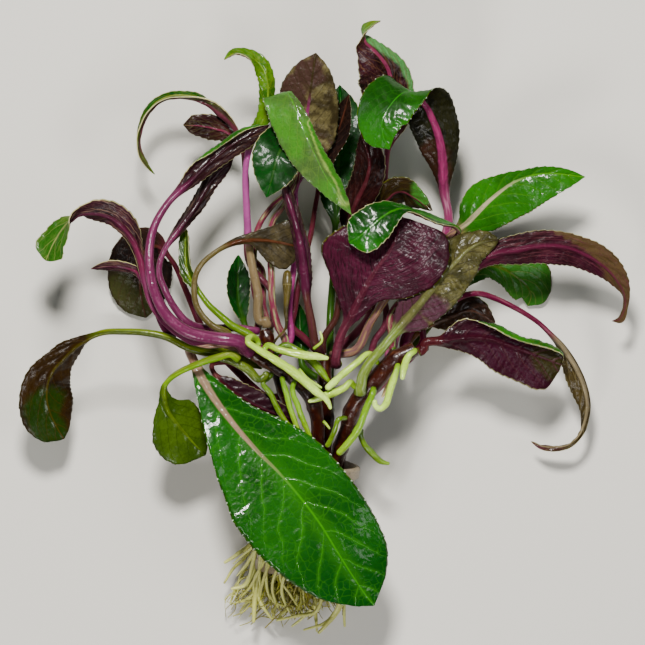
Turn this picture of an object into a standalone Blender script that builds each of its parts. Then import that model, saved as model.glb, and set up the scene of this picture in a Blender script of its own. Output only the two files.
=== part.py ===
"""A bunch of cardinal flower grown for aquariums, lifted out of the tank and laid on its back.

The plant is in its leafy form: wide leaves, green above and wine red below, on long round stalks.
They rise from a few fleshy stems, which root in a small net pot. All sizes are in millimetres until
a mesh is made. Leaf tips point up the Y axis, the pot lies towards -Y and the table is z = 0.
"""

import math

import bmesh
import bpy
import numpy as np
from mathutils import Matrix, Vector

MM = 0.001

LEAF_THICKNESS = 0.8
RING_POINTS = 8
RIB_DEPTH = 1.7
STALK_TO_BLADE = 0.12
EVEN_SPREAD = 0.85

POT_MOUTH = (-6.3, -44.5, 18.9)
POT_LEAN = 6.0
POT_TILT = 6.5
POT_COLUMNS = 16
POT_OUTSIDE = [
    (4.0, 0.0),
    (11.0, 0.0),
    (13.2, 0.3),
    (13.8, 4.0),
    (15.2, 15.0),
    (15.6, 18.5),
    (16.8, 30.0),
    (17.2, 33.6),
    (18.5, 34.2),
    (18.7, 37.2),
    (18.0, 38.0),
]
POT_INSIDE = [
    (4.0, 1.0),
    (11.0, 1.0),
    (12.2, 1.3),
    (12.8, 4.0),
    (14.2, 15.0),
    (14.6, 18.5),
    (15.8, 30.0),
    (16.2, 33.6),
    (16.7, 34.2),
    (17.0, 36.9),
    (17.3, 38.0),
]
POT_SLOT_BANDS = (0, 3, 5)
POT_HEIGHT = POT_OUTSIDE[-1][1]
BALL_PROFILE = [(11.5, 1.4), (12.3, 4.5), (15.3, 30.0), (13.0, 31.5)]

GREEN = (0.10, 0.36, 0.03)
PALE_GREEN = (0.30, 0.50, 0.10)
DARK_GREEN = (0.03, 0.12, 0.03)
OLIVE = (0.17, 0.16, 0.06)
WINE = (0.16, 0.03, 0.10)
STALK_RED = (0.38, 0.07, 0.20)
STEM_BROWN = (0.12, 0.05, 0.04)
ROOT_GREEN = (0.50, 0.62, 0.20)
ROOT_STRAW = (0.60, 0.56, 0.28)
POT_GREY = (0.42, 0.38, 0.36)
BALL_BROWN = (0.16, 0.13, 0.07)

UP = (0, 0, 1)
DOWN = (0, 0, -1)

# Each leaf has a route along its stalk and midrib (x, y, z), the stalk's radius at both ends, the
# half widths of its blade and which way its green face looks. The route starts at a stem, and its
# foot is the hidden share that winds in between the other stalks. Values along the leaf are given as
# (share of the length, values). A half of the blade can fold up from the midrib and curl at its
# margin: right half first, in degrees, as seen on the green face with the tip pointing away.
LEAVES = {
    "leaf_front_large": dict(
        colour=GREEN,
        stations=15,
        stalk=(1.6, 0.5),
        foot=0.188,
        foot_rings=2,
        route=[
            (-20.1, -7.5, 30.3), (-22, -8, 29.2), (-27.8, -8, 29.2), (-33.3, -6.6, 30.6), (-39, -6.4, 30.8),
            (-44.7, -6.7, 32), (-43.4, -11, 36.5), (-41.3, -15.5, 39), (-36.9, -22.9, 40.7),
            (-30.2, -31.8, 42), (-22.4, -40.7, 42.8), (-14.7, -48.4, 43.3), (-8, -56.2, 43.4),
            (-1.3, -65.1, 43), (4.2, -74, 41.7), (9.8, -82.9, 39.3), (14.7, -90, 36.3), (16.8, -92.6, 35),
        ],
        widths=[
            (0.212, 1.8, 1.8), (0.277, 3, 3), (0.342, 5.9, 5.8), (0.423, 11.2, 9.2), (0.513, 17.2, 14.2),
            (0.594, 22.2, 16.7), (0.667, 23, 17), (0.748, 22.2, 17), (0.829, 18.9, 16.7),
            (0.911, 12.8, 13.9), (0.968, 5.5, 8), (1, 1, 1),
        ],
        faces=[
            (0, -0.44, 0.81, 0.4), (0.017, -0.13, 0.83, 0.54), (0.059, 0.17, 0.81, 0.56),
            (0.102, 0.19, 0.81, 0.55), (0.145, 0.06, 0.82, 0.57), (0.188, 0, 0, 1),
            (0.203, 0.006, -0.006, 0.998), (0.218, 0.011, -0.011, 0.996), (1, 0.3, -0.3, 0.9),
        ],
        folds=[(0.188, 18, 18), (0.594, 6, 6), (1, -8, -8)],
    ),
    "leaf_front_purple": dict(
        colour=WINE,
        stations=10,
        stalk=(1.1, 0.4),
        route=[
            (-19.5, -10.7, 31.7), (-21.2, -11.2, 32.4), (-26.9, -11.2, 33.2), (-32.3, -11.3, 34.9),
            (-37.5, -12.5, 37), (-36, -16, 38), (-31, -20.5, 38), (-24, -25, 37.5), (-16, -28.5, 37),
            (-9, -30.5, 36),
        ],
        widths=[(0.384, 1.5), (0.546, 4), (0.741, 5), (0.903, 3.5), (1, 0.5)],
        faces=[(0, 0.1, 0.1, -1)],
    ),
    "leaf_left_great_arch": dict(
        colour=STALK_RED,
        stations=14,
        stalk=(2.3, 0.5),
        foot=0.074,
        route=[
            (-24.4, -8, 43.3), (-26.1, -6.8, 45), (-28.6, -4.4, 50), (-35.8, -3.4, 50.5), (-40.8, -2.6, 51),
            (-45.2, -1.3, 51.3), (-51.8, 3.8, 51.5), (-56.4, 12.7, 51), (-58, 23.8, 49.5),
            (-56.7, 32.7, 47.5), (-52, 41.3, 45.5), (-44, 49.3, 43.5), (-36.7, 56.3, 42.5), (-28, 62.7, 42),
            (-18, 67.7, 41.5),
        ],
        widths=[
            (0.63, 1.6, 1.6), (0.694, 2.6, 2.2), (0.769, 5.5, 3.2), (0.861, 6, 4.2), (0.935, 5.5, 3.8),
            (1, 0.5, 0.5),
        ],
        faces=[
            (0, -0.47, 0.43, -0.77), (0.023, -0.58, 0.51, -0.64), (0.074, 0, 0.2, -1), (0.089, 0, 0.2, -1),
            (0.104, 0, 0.2, -1),
        ],
        curls=[(0.074, 0, 0), (0.694, 0, 0), (0.796, -160, 0), (1, -170, 0)],
    ),
    "leaf_left_inner": dict(
        colour=WINE,
        stations=11,
        stalk=(1.3, 0.4),
        foot=0.313,
        foot_rings=2,
        route=[
            (-21.9, -1, 32.5), (-23.6, -0.8, 33.2), (-29.1, 0, 33.2), (-34.7, 0, 33.8), (-39, 0, 37.4),
            (-42.9, 0.6, 41.3), (-46.5, 2.8, 45), (-49.9, 7.1, 45.3), (-53, 13, 44.8), (-54.8, 18.2, 43.5),
            (-54.5, 22.1, 42.3), (-53.3, 25.4, 41.3), (-48.6, 32.4, 39), (-42.7, 40.4, 37),
            (-36.9, 49.9, 35), (-30.2, 56.5, 33.5),
        ],
        widths=[(0.588, 1.2), (0.725, 2.3), (0.863, 2.9), (0.952, 2.4), (1, 0.4)],
        faces=[(0.313, -0.3, 0.2, -0.9), (1, 0.2, -0.1, -0.95)],
        folds=[(0, 20, 20)],
    ),
    "leaf_left_arch": dict(
        colour=WINE,
        stations=15,
        stalk=(1.3, 0.4),
        foot=0.254,
        foot_rings=2,
        route=[
            (-20.3, -6.7, 32.5), (-22, -7.2, 33.2), (-26.8, -5.3, 34.3), (-30.9, -4.1, 37.3),
            (-34.6, -4, 41), (-38.5, -4.1, 44.5), (-43.5, -4.5, 46), (-47, -2.7, 46), (-50.7, 0, 46),
            (-54.7, 4, 46), (-57.6, 8.7, 45.7), (-59.8, 16, 45), (-61.8, 24.5, 43.5), (-65, 31, 42.3),
            (-68, 34.3, 42), (-71.3, 36.7, 41.5), (-77, 38.2, 41), (-81.3, 38.2, 40.7), (-83.8, 36.7, 40.3),
            (-86.7, 33.5, 39.5), (-90, 28.4, 38.5), (-92.7, 22.4, 37.5),
        ],
        widths=[
            (0.478, 1.3, 1.3), (0.597, 1.5, 2.5), (0.664, 2, 5.2), (0.717, 2.4, 5.8), (0.776, 2.8, 4.8),
            (0.828, 2.6, 3.4), (0.873, 3.8, 3.8), (0.925, 5, 5), (0.97, 5.4, 5.6), (1, 2.5, 3),
        ],
        faces=[
            (0.254, -0.3, 0.3, -0.8), (0.627, -0.3, 0.3, -0.9), (0.776, 0, 0.35, -0.9),
            (0.828, -0.1, 1, -0.25), (0.873, -0.4, 0.6, 0.65), (1, -0.3, 0, 0.95),
        ],
        folds=[(0, 8, 8)],
    ),
    "leaf_left_small": dict(
        colour=WINE,
        stations=7,
        stalk=(1, 0.3),
        foot=0.457,
        foot_rings=2,
        route=[
            (-21.4, -3.6, 31.9), (-22.8, -4, 32.4), (-27.9, -3.2, 31.6), (-33.2, -2.7, 31.6),
            (-38.4, -2, 32.1), (-43.2, -1.6, 34.3), (-47.2, -1.6, 37.6), (-51.3, -2, 41), (-57, 8, 40.5),
            (-60.3, 15, 40), (-62.7, 19, 39.5), (-66.5, 20.3, 39), (-73, 20.6, 38.5), (-77.7, 19.6, 38),
        ],
        widths=[(0.729, 1), (0.826, 1.9), (0.935, 1.8), (1, 0.3)],
        faces=[(0, -0.2, 0.5, -0.8)],
    ),
    "leaf_left_back": dict(
        colour=OLIVE,
        stations=11,
        stalk=(1.3, 0.4),
        foot=0.291,
        foot_rings=2,
        route=[
            (-13.5, -23.6, 27), (-14, -23.2, 25.2), (-19.6, -22.9, 25.2), (-24, -19.5, 25.2),
            (-28, -15.6, 25.2), (-32, -11.6, 25.2), (-36.3, -8, 25), (-41.3, 1, 23.5), (-46.3, 12.7, 20),
            (-51.3, 23, 16), (-56.5, 28, 12.8), (-60.5, 25.5, 10), (-61.9, 19, 7), (-61.6, 11, 4.4),
            (-60, 3.3, 2.2),
        ],
        widths=[(0.645, 2), (0.731, 8), (0.83, 10.9), (0.929, 9), (0.972, 5.5), (1, 1)],
        faces=[
            (0, 0.94, -0.16, -0.3), (0.019, 0.29, 0.09, -0.95), (0.073, 0.04, 0.11, -0.99),
            (0.127, 0.08, 0.1, -0.99), (0.181, 0.09, 0.09, -0.99), (0.236, 0.1, 0.08, -0.99),
            (0.291, 0, 0.3, -0.9), (0.306, 0, 0.311, -0.896), (0.321, 0, 0.324, -0.892),
            (0.716, 0, 0.6, -0.8), (1, 0, 0.1, -1),
        ],
        folds=[(0, 5, 5)],
    ),
    "leaf_left_folded": dict(
        colour=PALE_GREEN,
        stations=10,
        stalk=(1.45, 0.4),
        foot=0.055,
        route=[
            (-22.3, -5.8, 40.8), (-23.6, -3.5, 40), (-30.8, 1, 39.5), (-34.7, 4.3, 39), (-38.6, 7.9, 38.5),
            (-41.3, 11.6, 38), (-43.8, 15.3, 37), (-45.4, 19, 36), (-46.2, 27.1, 34), (-46.1, 33.5, 33),
        ],
        widths=[(0.528, 1.2), (0.641, 2.5), (0.811, 2.4), (0.953, 1.7), (1, 0.5)],
        faces=[(0.055, 0, 0.4, 0.8), (1, -0.6, 0, 0.8)],
        folds=[(0, 30, 30)],
    ),
    "leaf_left_droop": dict(
        colour=OLIVE,
        stations=13,
        stalk=(1.4, 0.5),
        foot=0.187,
        foot_rings=2,
        route=[
            (-20.6, -12.4, 38.7), (-24.4, -11.9, 38.1), (-28.9, -9.7, 38), (-34.3, -8, 38.2),
            (-38.8, -8.1, 41.5), (-45.2, -6.5, 42), (-52.4, -3, 42.5), (-60.8, -1.4, 42),
            (-66.9, -1.2, 41.5), (-72.4, -1.3, 41), (-76.3, -2.1, 40), (-80.2, -3.7, 38.5),
            (-83.6, -6.2, 36.5), (-86.9, -9.6, 34.5), (-90.2, -13.2, 32), (-92.6, -18.5, 29),
            (-93, -22.9, 26.5), (-92, -28, 24), (-89.8, -33, 21.5), (-87.3, -37.3, 19.5),
        ],
        widths=[
            (0.512, 1.4, 1.4), (0.594, 2.8, 2.2), (0.65, 4.8, 4.6), (0.724, 6.6, 6.2), (0.793, 8.8, 8.3),
            (0.862, 9.6, 9.6), (0.927, 8.6, 9), (0.967, 6, 6.5), (1, 2.5, 2.5),
        ],
        faces=[
            (0.187, -0.1, 0.9, 0.3), (0.553, -0.2, 0.7, -0.5), (0.715, -0.3, 0.4, -0.8),
            (1, -0.3, 0, -0.95),
        ],
        folds=[(0, 6, 6)],
    ),
    "leaf_lower_left": dict(
        colour=OLIVE,
        stations=12,
        stalk=(1.3, 0.4),
        foot=0.059,
        route=[
            (-28.4, -10.4, 45), (-31.2, -8.6, 46.2), (-34.7, -9.6, 46), (-39.1, -10.9, 45.5),
            (-43.6, -12.6, 44.8), (-47.4, -14.3, 43.5), (-50.8, -16.5, 41.5), (-53, -19, 39.5),
            (-53.3, -23, 37.5), (-52.4, -27, 35.5), (-49.1, -32, 33), (-46.3, -35.3, 31),
            (-43.7, -38.3, 29.5), (-39.5, -42.5, 27.5),
        ],
        widths=[
            (0.429, 1.3, 1.3), (0.527, 1.5, 1.4), (0.606, 4.4, 2.6), (0.665, 8, 6), (0.724, 9, 9.4),
            (0.803, 8.5, 11), (0.882, 7, 10.6), (0.951, 4, 7), (1, 1, 1),
        ],
        faces=[
            (0.059, 0, 0.8, 0.4), (0.409, -0.4, 0.7, -0.3), (0.557, -0.2, 0.2, -0.9), (1, -0.1, 0.1, -1),
        ],
        folds=[(0, 5, 5)],
    ),
    "leaf_crown_loop": dict(
        colour=OLIVE,
        stations=12,
        stalk=(1.15, 0.6),
        foot=0.148,
        route=[
            (-24.9, -8.5, 39.4), (-27.6, -6.6, 39.8), (-30.2, -4.2, 41.6), (-32, -1.6, 44.5),
            (-36.9, 0.7, 44.5), (-40.2, 3.8, 44), (-42.2, 7.1, 43.5), (-43.2, 13, 43), (-42.2, 18.8, 42.5),
            (-40.2, 21.8, 42), (-37.4, 24.3, 41.7), (-33.6, 26.8, 41.5), (-29.1, 28.7, 41.3),
            (-24.7, 29.3, 41), (-20.2, 29.3, 40), (-15.8, 28.7, 38.7), (-11.3, 27.8, 37.2),
            (-6.4, 26.6, 35.5),
        ],
        widths=[
            (0.6, 1.2, 1.2), (0.702, 1.6, 1.4), (0.762, 2.6, 1.9), (0.804, 3.8, 4.8), (0.847, 5.4, 7.2),
            (0.898, 7.6, 8.6), (0.949, 8.5, 7.8), (1, 1.5, 1.5),
        ],
        faces=[(0.148, 0.3, 0.4, -0.8), (0.659, 0, 0.2, -0.95), (1, 0.2, 0, -1)],
    ),
    "leaf_top_left_arch": dict(
        colour=PALE_GREEN,
        stations=14,
        stalk=(1.1, 0.4),
        foot=0.184,
        foot_rings=2,
        route=[
            (-18.2, 0.2, 30), (-17.2, 1.6, 29.2), (-17.2, 7.1, 29.1), (-17.6, 12.3, 28),
            (-20.8, 16.4, 26.2), (-24.3, 20.5, 26.3), (-25.7, 36, 26.5), (-26.3, 50, 26.8),
            (-27.3, 60, 27.5), (-30, 67, 28.5), (-34.7, 72.1, 29), (-39.7, 76, 29.5), (-45.8, 77.5, 29.3),
            (-51.9, 77.3, 28.7), (-56.9, 74.6, 27.7), (-60.8, 68.5, 26.5), (-62, 62, 25.5), (-61.1, 58, 25),
            (-59.1, 54.6, 24.3), (-56.6, 51.3, 23.7),
        ],
        widths=[
            (0.51, 1.2), (0.592, 2.2), (0.673, 2.6), (0.739, 2), (0.837, 2.2), (0.902, 1.5), (0.951, 1.4),
            (1, 0.3),
        ],
        faces=[
            (0, 0.19, -0.58, -0.79), (0.015, 0.41, -0.18, -0.9), (0.057, 0.42, -0.09, -0.9),
            (0.099, 0.42, -0.12, -0.9), (0.142, 0.34, 0.08, -0.94), (0.184, 0.3, 0.3, -0.9),
            (0.199, 0.306, 0.311, -0.891), (0.214, 0.315, 0.322, -0.888), (0.575, 0.4, 0.6, -0.6),
            (0.714, -0.2, 0.8, 0.45), (0.82, -0.6, 0.5, 0.3), (1, -0.8, -0.2, -0.5),
        ],
        folds=[(0, 20, 20)],
    ),
    "leaf_top_left_small": dict(
        colour=WINE,
        stations=9,
        stalk=(1.1, 0.3),
        foot=0.343,
        foot_rings=3,
        route=[
            (-18.7, -1.6, 29.3), (-18, -1.6, 27.6), (-19, 2.5, 23.6), (-20.4, 7.8, 22), (-20.4, 13.6, 22),
            (-20.8, 19.4, 22), (-24.4, 24, 22), (-25.8, 40, 21.5), (-26, 52, 22), (-28, 60.5, 23.5),
            (-31.5, 65, 25), (-36.9, 66.9, 26), (-42, 67.8, 26.3), (-47.2, 67.9, 26.3),
        ],
        widths=[(0.737, 1.2), (0.816, 3.4), (0.921, 4.3), (0.974, 2.8), (1, 0.5)],
        faces=[
            (0, 0.3, -0.95, 0.12), (0.02, 0.47, -0.7, -0.53), (0.085, 0.41, -0.39, -0.83),
            (0.149, 0.32, -0.1, -0.94), (0.213, 0.3, 0.01, -0.95), (0.278, 0.3, 0.12, -0.95),
            (0.343, 0.3, 0.2, -0.9), (0.358, 0.293, 0.202, -0.902), (0.373, 0.286, 0.205, -0.905),
            (1, 0, 0.3, -1),
        ],
    ),
    "leaf_top_left_long": dict(
        colour=PALE_GREEN,
        stations=14,
        stalk=(1.6, 0.5),
        foot=0.029,
        route=[
            (-19, 0.2, 33), (-19.6, 2.4, 33.2), (-20.3, 2.2, 33), (-22.2, 12.7, 34), (-23.9, 20.4, 34.3),
            (-24.9, 27.1, 34.5), (-25.8, 40, 35), (-26, 54, 35.5), (-24.3, 62, 35.5), (-19.3, 72, 35.5),
            (-18.7, 78.2, 36), (-19, 83, 37), (-20.8, 87, 38.3), (-25.2, 90.7, 40), (-29.8, 91.6, 41.5),
            (-33.3, 89.2, 42.5),
        ],
        widths=[(0.534, 1.4), (0.631, 2.4), (0.757, 3), (0.874, 3), (0.942, 2.4), (1, 0.5)],
        faces=[
            (0.029, -0.2, 0, 1), (0.612, -0.3, 0.1, 0.95), (0.825, -0.3, 0.2, 0.9), (0.922, -0.1, 0.8, 0.6),
            (1, -0.1, 0.8, 0.5),
        ],
        folds=[(0, 15, 15)],
    ),
    "leaf_inner_green": dict(
        colour=DARK_GREEN,
        stations=14,
        stalk=(1.3, 0.4),
        foot=0.062,
        route=[
            (-22.3, -1, 29.2), (-21.9, 1.6, 28.3), (-21.5, 4.5, 27.8), (-23, 12, 28.8), (-23.5, 24, 29.5),
            (-21.8, 34, 31), (-17, 41, 32.5), (-12, 46, 34), (-9, 53, 35.5), (-9.5, 59, 38.5),
            (-12.5, 61.7, 42), (-15, 58, 45), (-17, 51, 46), (-19.1, 43.3, 46),
        ],
        widths=[(0.606, 1.4), (0.719, 5), (0.831, 8.6), (0.925, 6.2), (1, 0.6)],
        faces=[
            (0.062, 0, 0, -1), (0.531, 0.6, 0.5, -0.5), (0.681, 0.2, 0.8, 0.3), (0.794, 0, 0.2, 1),
            (1, 0, 0, 1),
        ],
    ),
    "leaf_centre_glaucous": dict(
        colour=GREEN,
        stations=17,
        stalk=(1.35, 0.35),
        foot=0.028,
        route=[
            (-15.9, -7.4, 32.4), (-14, -7.2, 33.2), (-13, -5.5, 33), (-15.5, 1, 34), (-17.2, 8, 34.5),
            (-17.5, 16, 34), (-17.8, 23, 33), (-18, 30, 32), (-17, 36, 31), (-13, 41.5, 30.5), (-9, 50, 31),
            (-8.3, 62, 33), (-10, 73, 37.5), (-12.3, 78.8, 42), (-10.8, 76, 46), (-8.6, 70.4, 48),
            (-6.3, 64.9, 49), (-3.8, 59.3, 49.7), (-1.3, 53.8, 50), (1.4, 48.8, 49.8), (4.2, 44.9, 49),
            (7, 41, 48), (9.2, 37.5, 47.3),
        ],
        widths=[
            (0.495, 1.4, 1.4), (0.592, 6, 1.5), (0.67, 8.8, 1.6), (0.742, 9.8, 3.2), (0.826, 8.7, 4.2),
            (0.868, 6.9, 5), (0.907, 4.6, 5), (0.941, 3.3, 4), (0.975, 1.6, 2), (1, 0.3, 0.3),
        ],
        faces=[
            (0.028, 0, 0, -1), (0.514, 0.2, 0.3, -0.9), (0.592, -0.1, 0.6, -0.7), (0.66, -0.3, 0.9, 0.3),
            (0.728, -0.35, 0.2, 0.9), (1, -0.2, 0.1, 1),
        ],
        folds=[(0.028, 5, 5), (0.66, 0, -20), (0.806, 0, -50), (1, 0, -50)],
    ),
    "leaf_centre_olive": dict(
        colour=OLIVE,
        stations=11,
        stalk=(1.25, 0.5),
        foot=0.061,
        route=[
            (-15.9, -9.4, 28.6), (-14, -7.2, 30), (-11.8, -5, 30), (-11.7, 5, 29), (-11, 14, 28),
            (-10, 21, 27), (-9.3, 35, 26.3), (-9.5, 50, 27), (-7.8, 62, 28.3), (-5.6, 72, 30.3),
            (-4.3, 81, 32), (-3.3, 88, 33.3), (-2.7, 91.8, 34),
        ],
        widths=[
            (0.53, 1.3, 1.3), (0.643, 6, 7), (0.728, 9, 11.4), (0.812, 10, 11), (0.887, 9.8, 8.8),
            (0.953, 6, 5.4), (1, 0.8, 0.8),
        ],
        faces=[(0.061, 0, 0, -1), (1, 0, 0.2, -0.95)],
        folds=[(0, 10, 10)],
    ),
    "leaf_centre_ribbed": dict(
        colour=WINE,
        stations=9,
        stalk=(1.5, 0.6),
        foot=0.093,
        route=[
            (-0.9, -9.5, 31.8), (-1.2, -8, 33.2), (-2.7, -5.7, 36), (-4.2, 2, 38), (-5.7, 10, 39.8),
            (-6.5, 18, 41), (-8, 29, 41.3), (-10.3, 38, 40.4), (-12.5, 45, 39.5), (-14, 51, 39),
        ],
        widths=[(0.32, 1.9), (0.501, 3.2), (0.728, 3), (0.909, 2), (1, 0.4)],
        faces=[
            (0, -0.21, 0.64, -0.74), (0.032, -0.22, 0.68, -0.7), (0.093, 0, 0, -1), (0.108, 0.003, 0, -1),
            (0.123, 0.007, 0, -1), (1, 0.2, 0, -1),
        ],
        folds=[(0, 35, 35)],
    ),
    "leaf_behind_glaucous": dict(
        colour=PALE_GREEN,
        stations=10,
        stalk=(1.2, 0.4),
        foot=0.168,
        foot_rings=2,
        route=[
            (0.1, -10.1, 26.9), (-0.4, -9.6, 25.2), (-3.8, -6.2, 25.2), (-7.2, -2.8, 25.2),
            (-10.8, 0.5, 25), (-10, 5.5, 24), (-8.8, 13, 23), (-7.2, 20.7, 22), (-4.5, 31, 21),
            (-2.5, 43, 21), (1.3, 59.3, 22.5), (4.7, 66, 24), (7, 73, 25.5), (8.3, 78, 27),
        ],
        widths=[(0.626, 1.2), (0.767, 4.2), (0.917, 4), (1, 0.5)],
        faces=[
            (0, -0.75, 0.54, 0.38), (0.019, -0.28, 0.14, 0.95), (0.068, -0.07, -0.07, 1),
            (0.118, -0.08, -0.05, 1), (0.168, -0.3, 0, 1), (0.183, -0.3, 0, 1), (0.198, -0.3, 0, 1),
        ],
        folds=[(0, 20, 20)],
    ),
    "leaf_centre_dark": dict(
        colour=WINE,
        stations=11,
        stalk=(1.2, 0.5),
        foot=0.05,
        route=[
            (-0.4, -8.5, 28.6), (-0.4, -4.6, 29), (4, 3.5, 29), (5.3, 13, 28.5), (6.3, 25, 28),
            (8.7, 36, 28.8), (11.4, 43.2, 30), (14.2, 49.3, 31.3), (15.3, 54.5, 32.5), (14.3, 60, 35),
            (12.3, 65, 38),
        ],
        widths=[(0.477, 1.2), (0.62, 4.5), (0.791, 5.6), (0.924, 4), (1, 0.4)],
        faces=[(0.05, 0, 0, -1), (0.857, 0.1, 0.2, -1), (1, 0.2, 0.7, -0.4)],
        folds=[(0, 12, 12)],
    ),
    "leaf_centre_purple": dict(
        colour=WINE,
        stations=12,
        stalk=(1.75, 0.5),
        foot=0.041,
        route=[
            (2.6, -11.6, 31.1), (4.4, -12, 31.6), (4.2, -12, 32), (4.8, -5.5, 33.3), (6.4, -0.7, 34.5),
            (8.7, 3.2, 35.7), (10.9, 7.7, 36.8), (13.1, 12.1, 37.7), (15.9, 17.1, 38.5), (19.2, 22.1, 39),
            (22, 26, 39), (24.8, 32.1, 38.3), (26, 37, 37),
        ],
        widths=[
            (0.252, 1.9, 1.9), (0.338, 3.6, 3), (0.415, 7.4, 4.4), (0.501, 13, 6.8), (0.597, 19.5, 13.4),
            (0.703, 18.5, 17.3), (0.799, 15, 19.6), (0.904, 10, 18.5), (0.962, 6, 14.5), (1, 1, 7),
        ],
        faces=[
            (0, 0.31, 0.22, -0.93), (0.033, 0.51, 0.17, -0.84), (0.041, 0, 0, -1), (0.056, 0, 0.003, -1),
            (0.071, 0, 0.006, -1), (1, 0, 0.2, -1),
        ],
        folds=[(0, 5, -3)],
    ),
    "leaf_centre_glossy": dict(
        colour=GREEN,
        stations=15,
        stalk=(1.3, 0.4),
        foot=0.114,
        route=[
            (23.4, -7.7, 27.7), (22.8, -7.2, 26), (22.8, -2.6, 26), (22, 2, 26), (31, 14.5, 25),
            (40.5, 27, 25.5), (45, 32, 29), (43, 34.5, 34), (38.5, 35.8, 37), (34.2, 37.4, 39.2),
            (30.3, 38.9, 41), (26.4, 39.9, 42.8), (23.1, 39.1, 44.3), (19.8, 37.2, 45.4), (15.9, 34, 46.2),
            (12.2, 30.8, 46.5), (8.3, 28.3, 46),
        ],
        widths=[
            (0.513, 1.3), (0.592, 2), (0.663, 2.9), (0.734, 2.3), (0.787, 3.6), (0.849, 5.8), (0.92, 7),
            (0.973, 5.5), (1, 1.5),
        ],
        faces=[
            (0, 0.39, -0.83, -0.38), (0.019, 0, -0.32, -0.95), (0.066, -0.04, 0, -1), (0.114, 0, 0, -1),
            (0.129, 0.037, 0.009, -0.976), (0.144, 0.082, 0.013, -0.958), (0.486, 0.8, 0.3, -0.3),
            (0.557, 0.3, 0.8, 0.4), (0.681, 0, 0.85, 0.5), (0.752, 0, 0.9, 0.4), (0.823, -0.1, 0.4, 0.9),
            (1, -0.1, 0.1, 1),
        ],
    ),
    "leaf_behind_right": dict(
        colour=STEM_BROWN,
        stations=10,
        stalk=(1.2, 0.4),
        foot=0.265,
        foot_rings=2,
        route=[
            (14.6, -20.7, 24.4), (14.8, -20, 22.8), (14.8, -14.7, 22.8), (15.7, -9.5, 22.8),
            (16.9, -4.3, 22.8), (20, 0, 22.8), (18.5, 18, 22.8), (18.5, 32, 23.5), (20.3, 42.5, 25),
            (25, 46, 27.5), (31.5, 43, 31), (36.3, 39, 33.4),
        ],
        widths=[(0.632, 1.2), (0.75, 5.5), (0.89, 5), (1, 0.5)],
        faces=[
            (0, -0.15, -0.9, -0.41), (0.02, -0.01, -0.26, -0.97), (0.081, 0, 0, -1), (0.142, 0, 0, -1),
            (0.203, 0, 0, -1), (0.265, 0, 0, -1), (0.28, -0.011, 0.021, -0.993),
            (0.295, -0.024, 0.043, -0.986), (0.706, -0.3, 0.6, -0.8), (1, 0.3, 0.5, -0.8),
        ],
    ),
    "leaf_top_hood": dict(
        colour=WINE,
        stations=15,
        stalk=(1.4, 0.5),
        foot=0.172,
        foot_rings=2,
        route=[
            (0.3, -14.3, 25.6), (0.4, -13.6, 23.6), (3.8, -9.8, 22.2), (6.9, -5.6, 22), (10.6, -1.8, 22),
            (14, 2, 23), (17, 16, 21), (19, 30, 20), (20, 45, 20.5), (21.3, 60, 23), (22.2, 70, 26),
            (22.6, 78.8, 29), (22.3, 82.7, 30.5), (21.2, 86.6, 32), (18.7, 90.4, 33.5), (15.3, 93.8, 35),
            (12.9, 96.3, 36.5), (13.2, 99, 38.5), (16.4, 101.2, 40), (18.9, 102.3, 41),
        ],
        widths=[
            (0.586, 1.5, 1.5), (0.669, 7, 6), (0.752, 11, 7.5), (0.801, 11, 7), (0.834, 10, 5.5),
            (0.868, 8.5, 4), (0.901, 5, 3), (0.925, 3, 2.5), (0.959, 2.6, 2.4), (1, 0.3, 0.3),
        ],
        faces=[
            (0, -0.41, -0.85, -0.32), (0.016, -0.28, -0.43, -0.86), (0.055, -0.06, -0.15, -0.99),
            (0.094, 0.02, -0.04, -1), (0.133, 0.09, 0.04, -0.99), (0.172, 0, 0, -1),
            (0.187, 0.002, 0.001, -1.001), (0.202, 0.006, 0.001, -1.003), (0.793, 0, 0.1, -1),
            (0.876, -0.4, 0.4, -0.8), (0.942, -0.5, 0.6, 0.5), (1, 0, 0.8, 0.6),
        ],
        folds=[(0, 10, 10)],
    ),
    "leaf_top_right_arch": dict(
        colour=STALK_RED,
        stations=17,
        stalk=(2, 0.6),
        foot=0.203,
        foot_rings=3,
        route=[
            (11.9, -25.3, 22.1), (12.4, -24.8, 19.6), (16.3, -20.9, 18.8), (20.2, -16.9, 18.8),
            (22, -11.8, 18.8), (22.6, -6.3, 18.9), (24, -1, 19.5), (31, 12, 18), (38, 24, 18.5),
            (41.7, 36.6, 22), (40.3, 44.9, 25), (39.9, 51.6, 27.5), (39.5, 58.2, 29.5), (38.1, 64.9, 31.5),
            (36.2, 69.9, 33), (33.7, 74.9, 35), (30.9, 78.2, 37.5), (28, 78.9, 40.5), (25.3, 77.6, 43.3),
            (22, 74, 45.3), (19.3, 69, 46.3), (19.6, 64, 46.5), (21.8, 59.2, 46),
        ],
        widths=[
            (0.506, 1.9, 1.9), (0.578, 3, 2.8), (0.633, 6.4, 5), (0.681, 8.2, 7.1), (0.729, 8.3, 8.3),
            (0.769, 7.5, 8.8), (0.809, 7, 8.5), (0.857, 9, 8), (0.904, 9.9, 8.3), (0.944, 7.8, 7),
            (0.976, 5, 3.9), (1, 0.5, 0.5),
        ],
        faces=[
            (0, -0.7, -0.66, -0.27), (0.017, -0.35, -0.32, -0.88), (0.055, -0.07, -0.04, -1),
            (0.092, -0.02, 0.01, -1), (0.129, -0.02, 0.01, -1), (0.166, -0.01, 0.07, -1), (0.203, 0, 0, -1),
            (0.218, 0.004, 0, -1.002), (0.233, 0.01, -0.005, -1.008), (0.681, 0.1, 0.1, -1),
            (0.761, -0.1, 0.7, -0.6), (0.801, -0.2, 1, 0.1), (0.841, -0.1, 0.5, 0.85), (0.888, 0, 0.1, 1),
            (1, 0, 0.1, 1),
        ],
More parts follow.
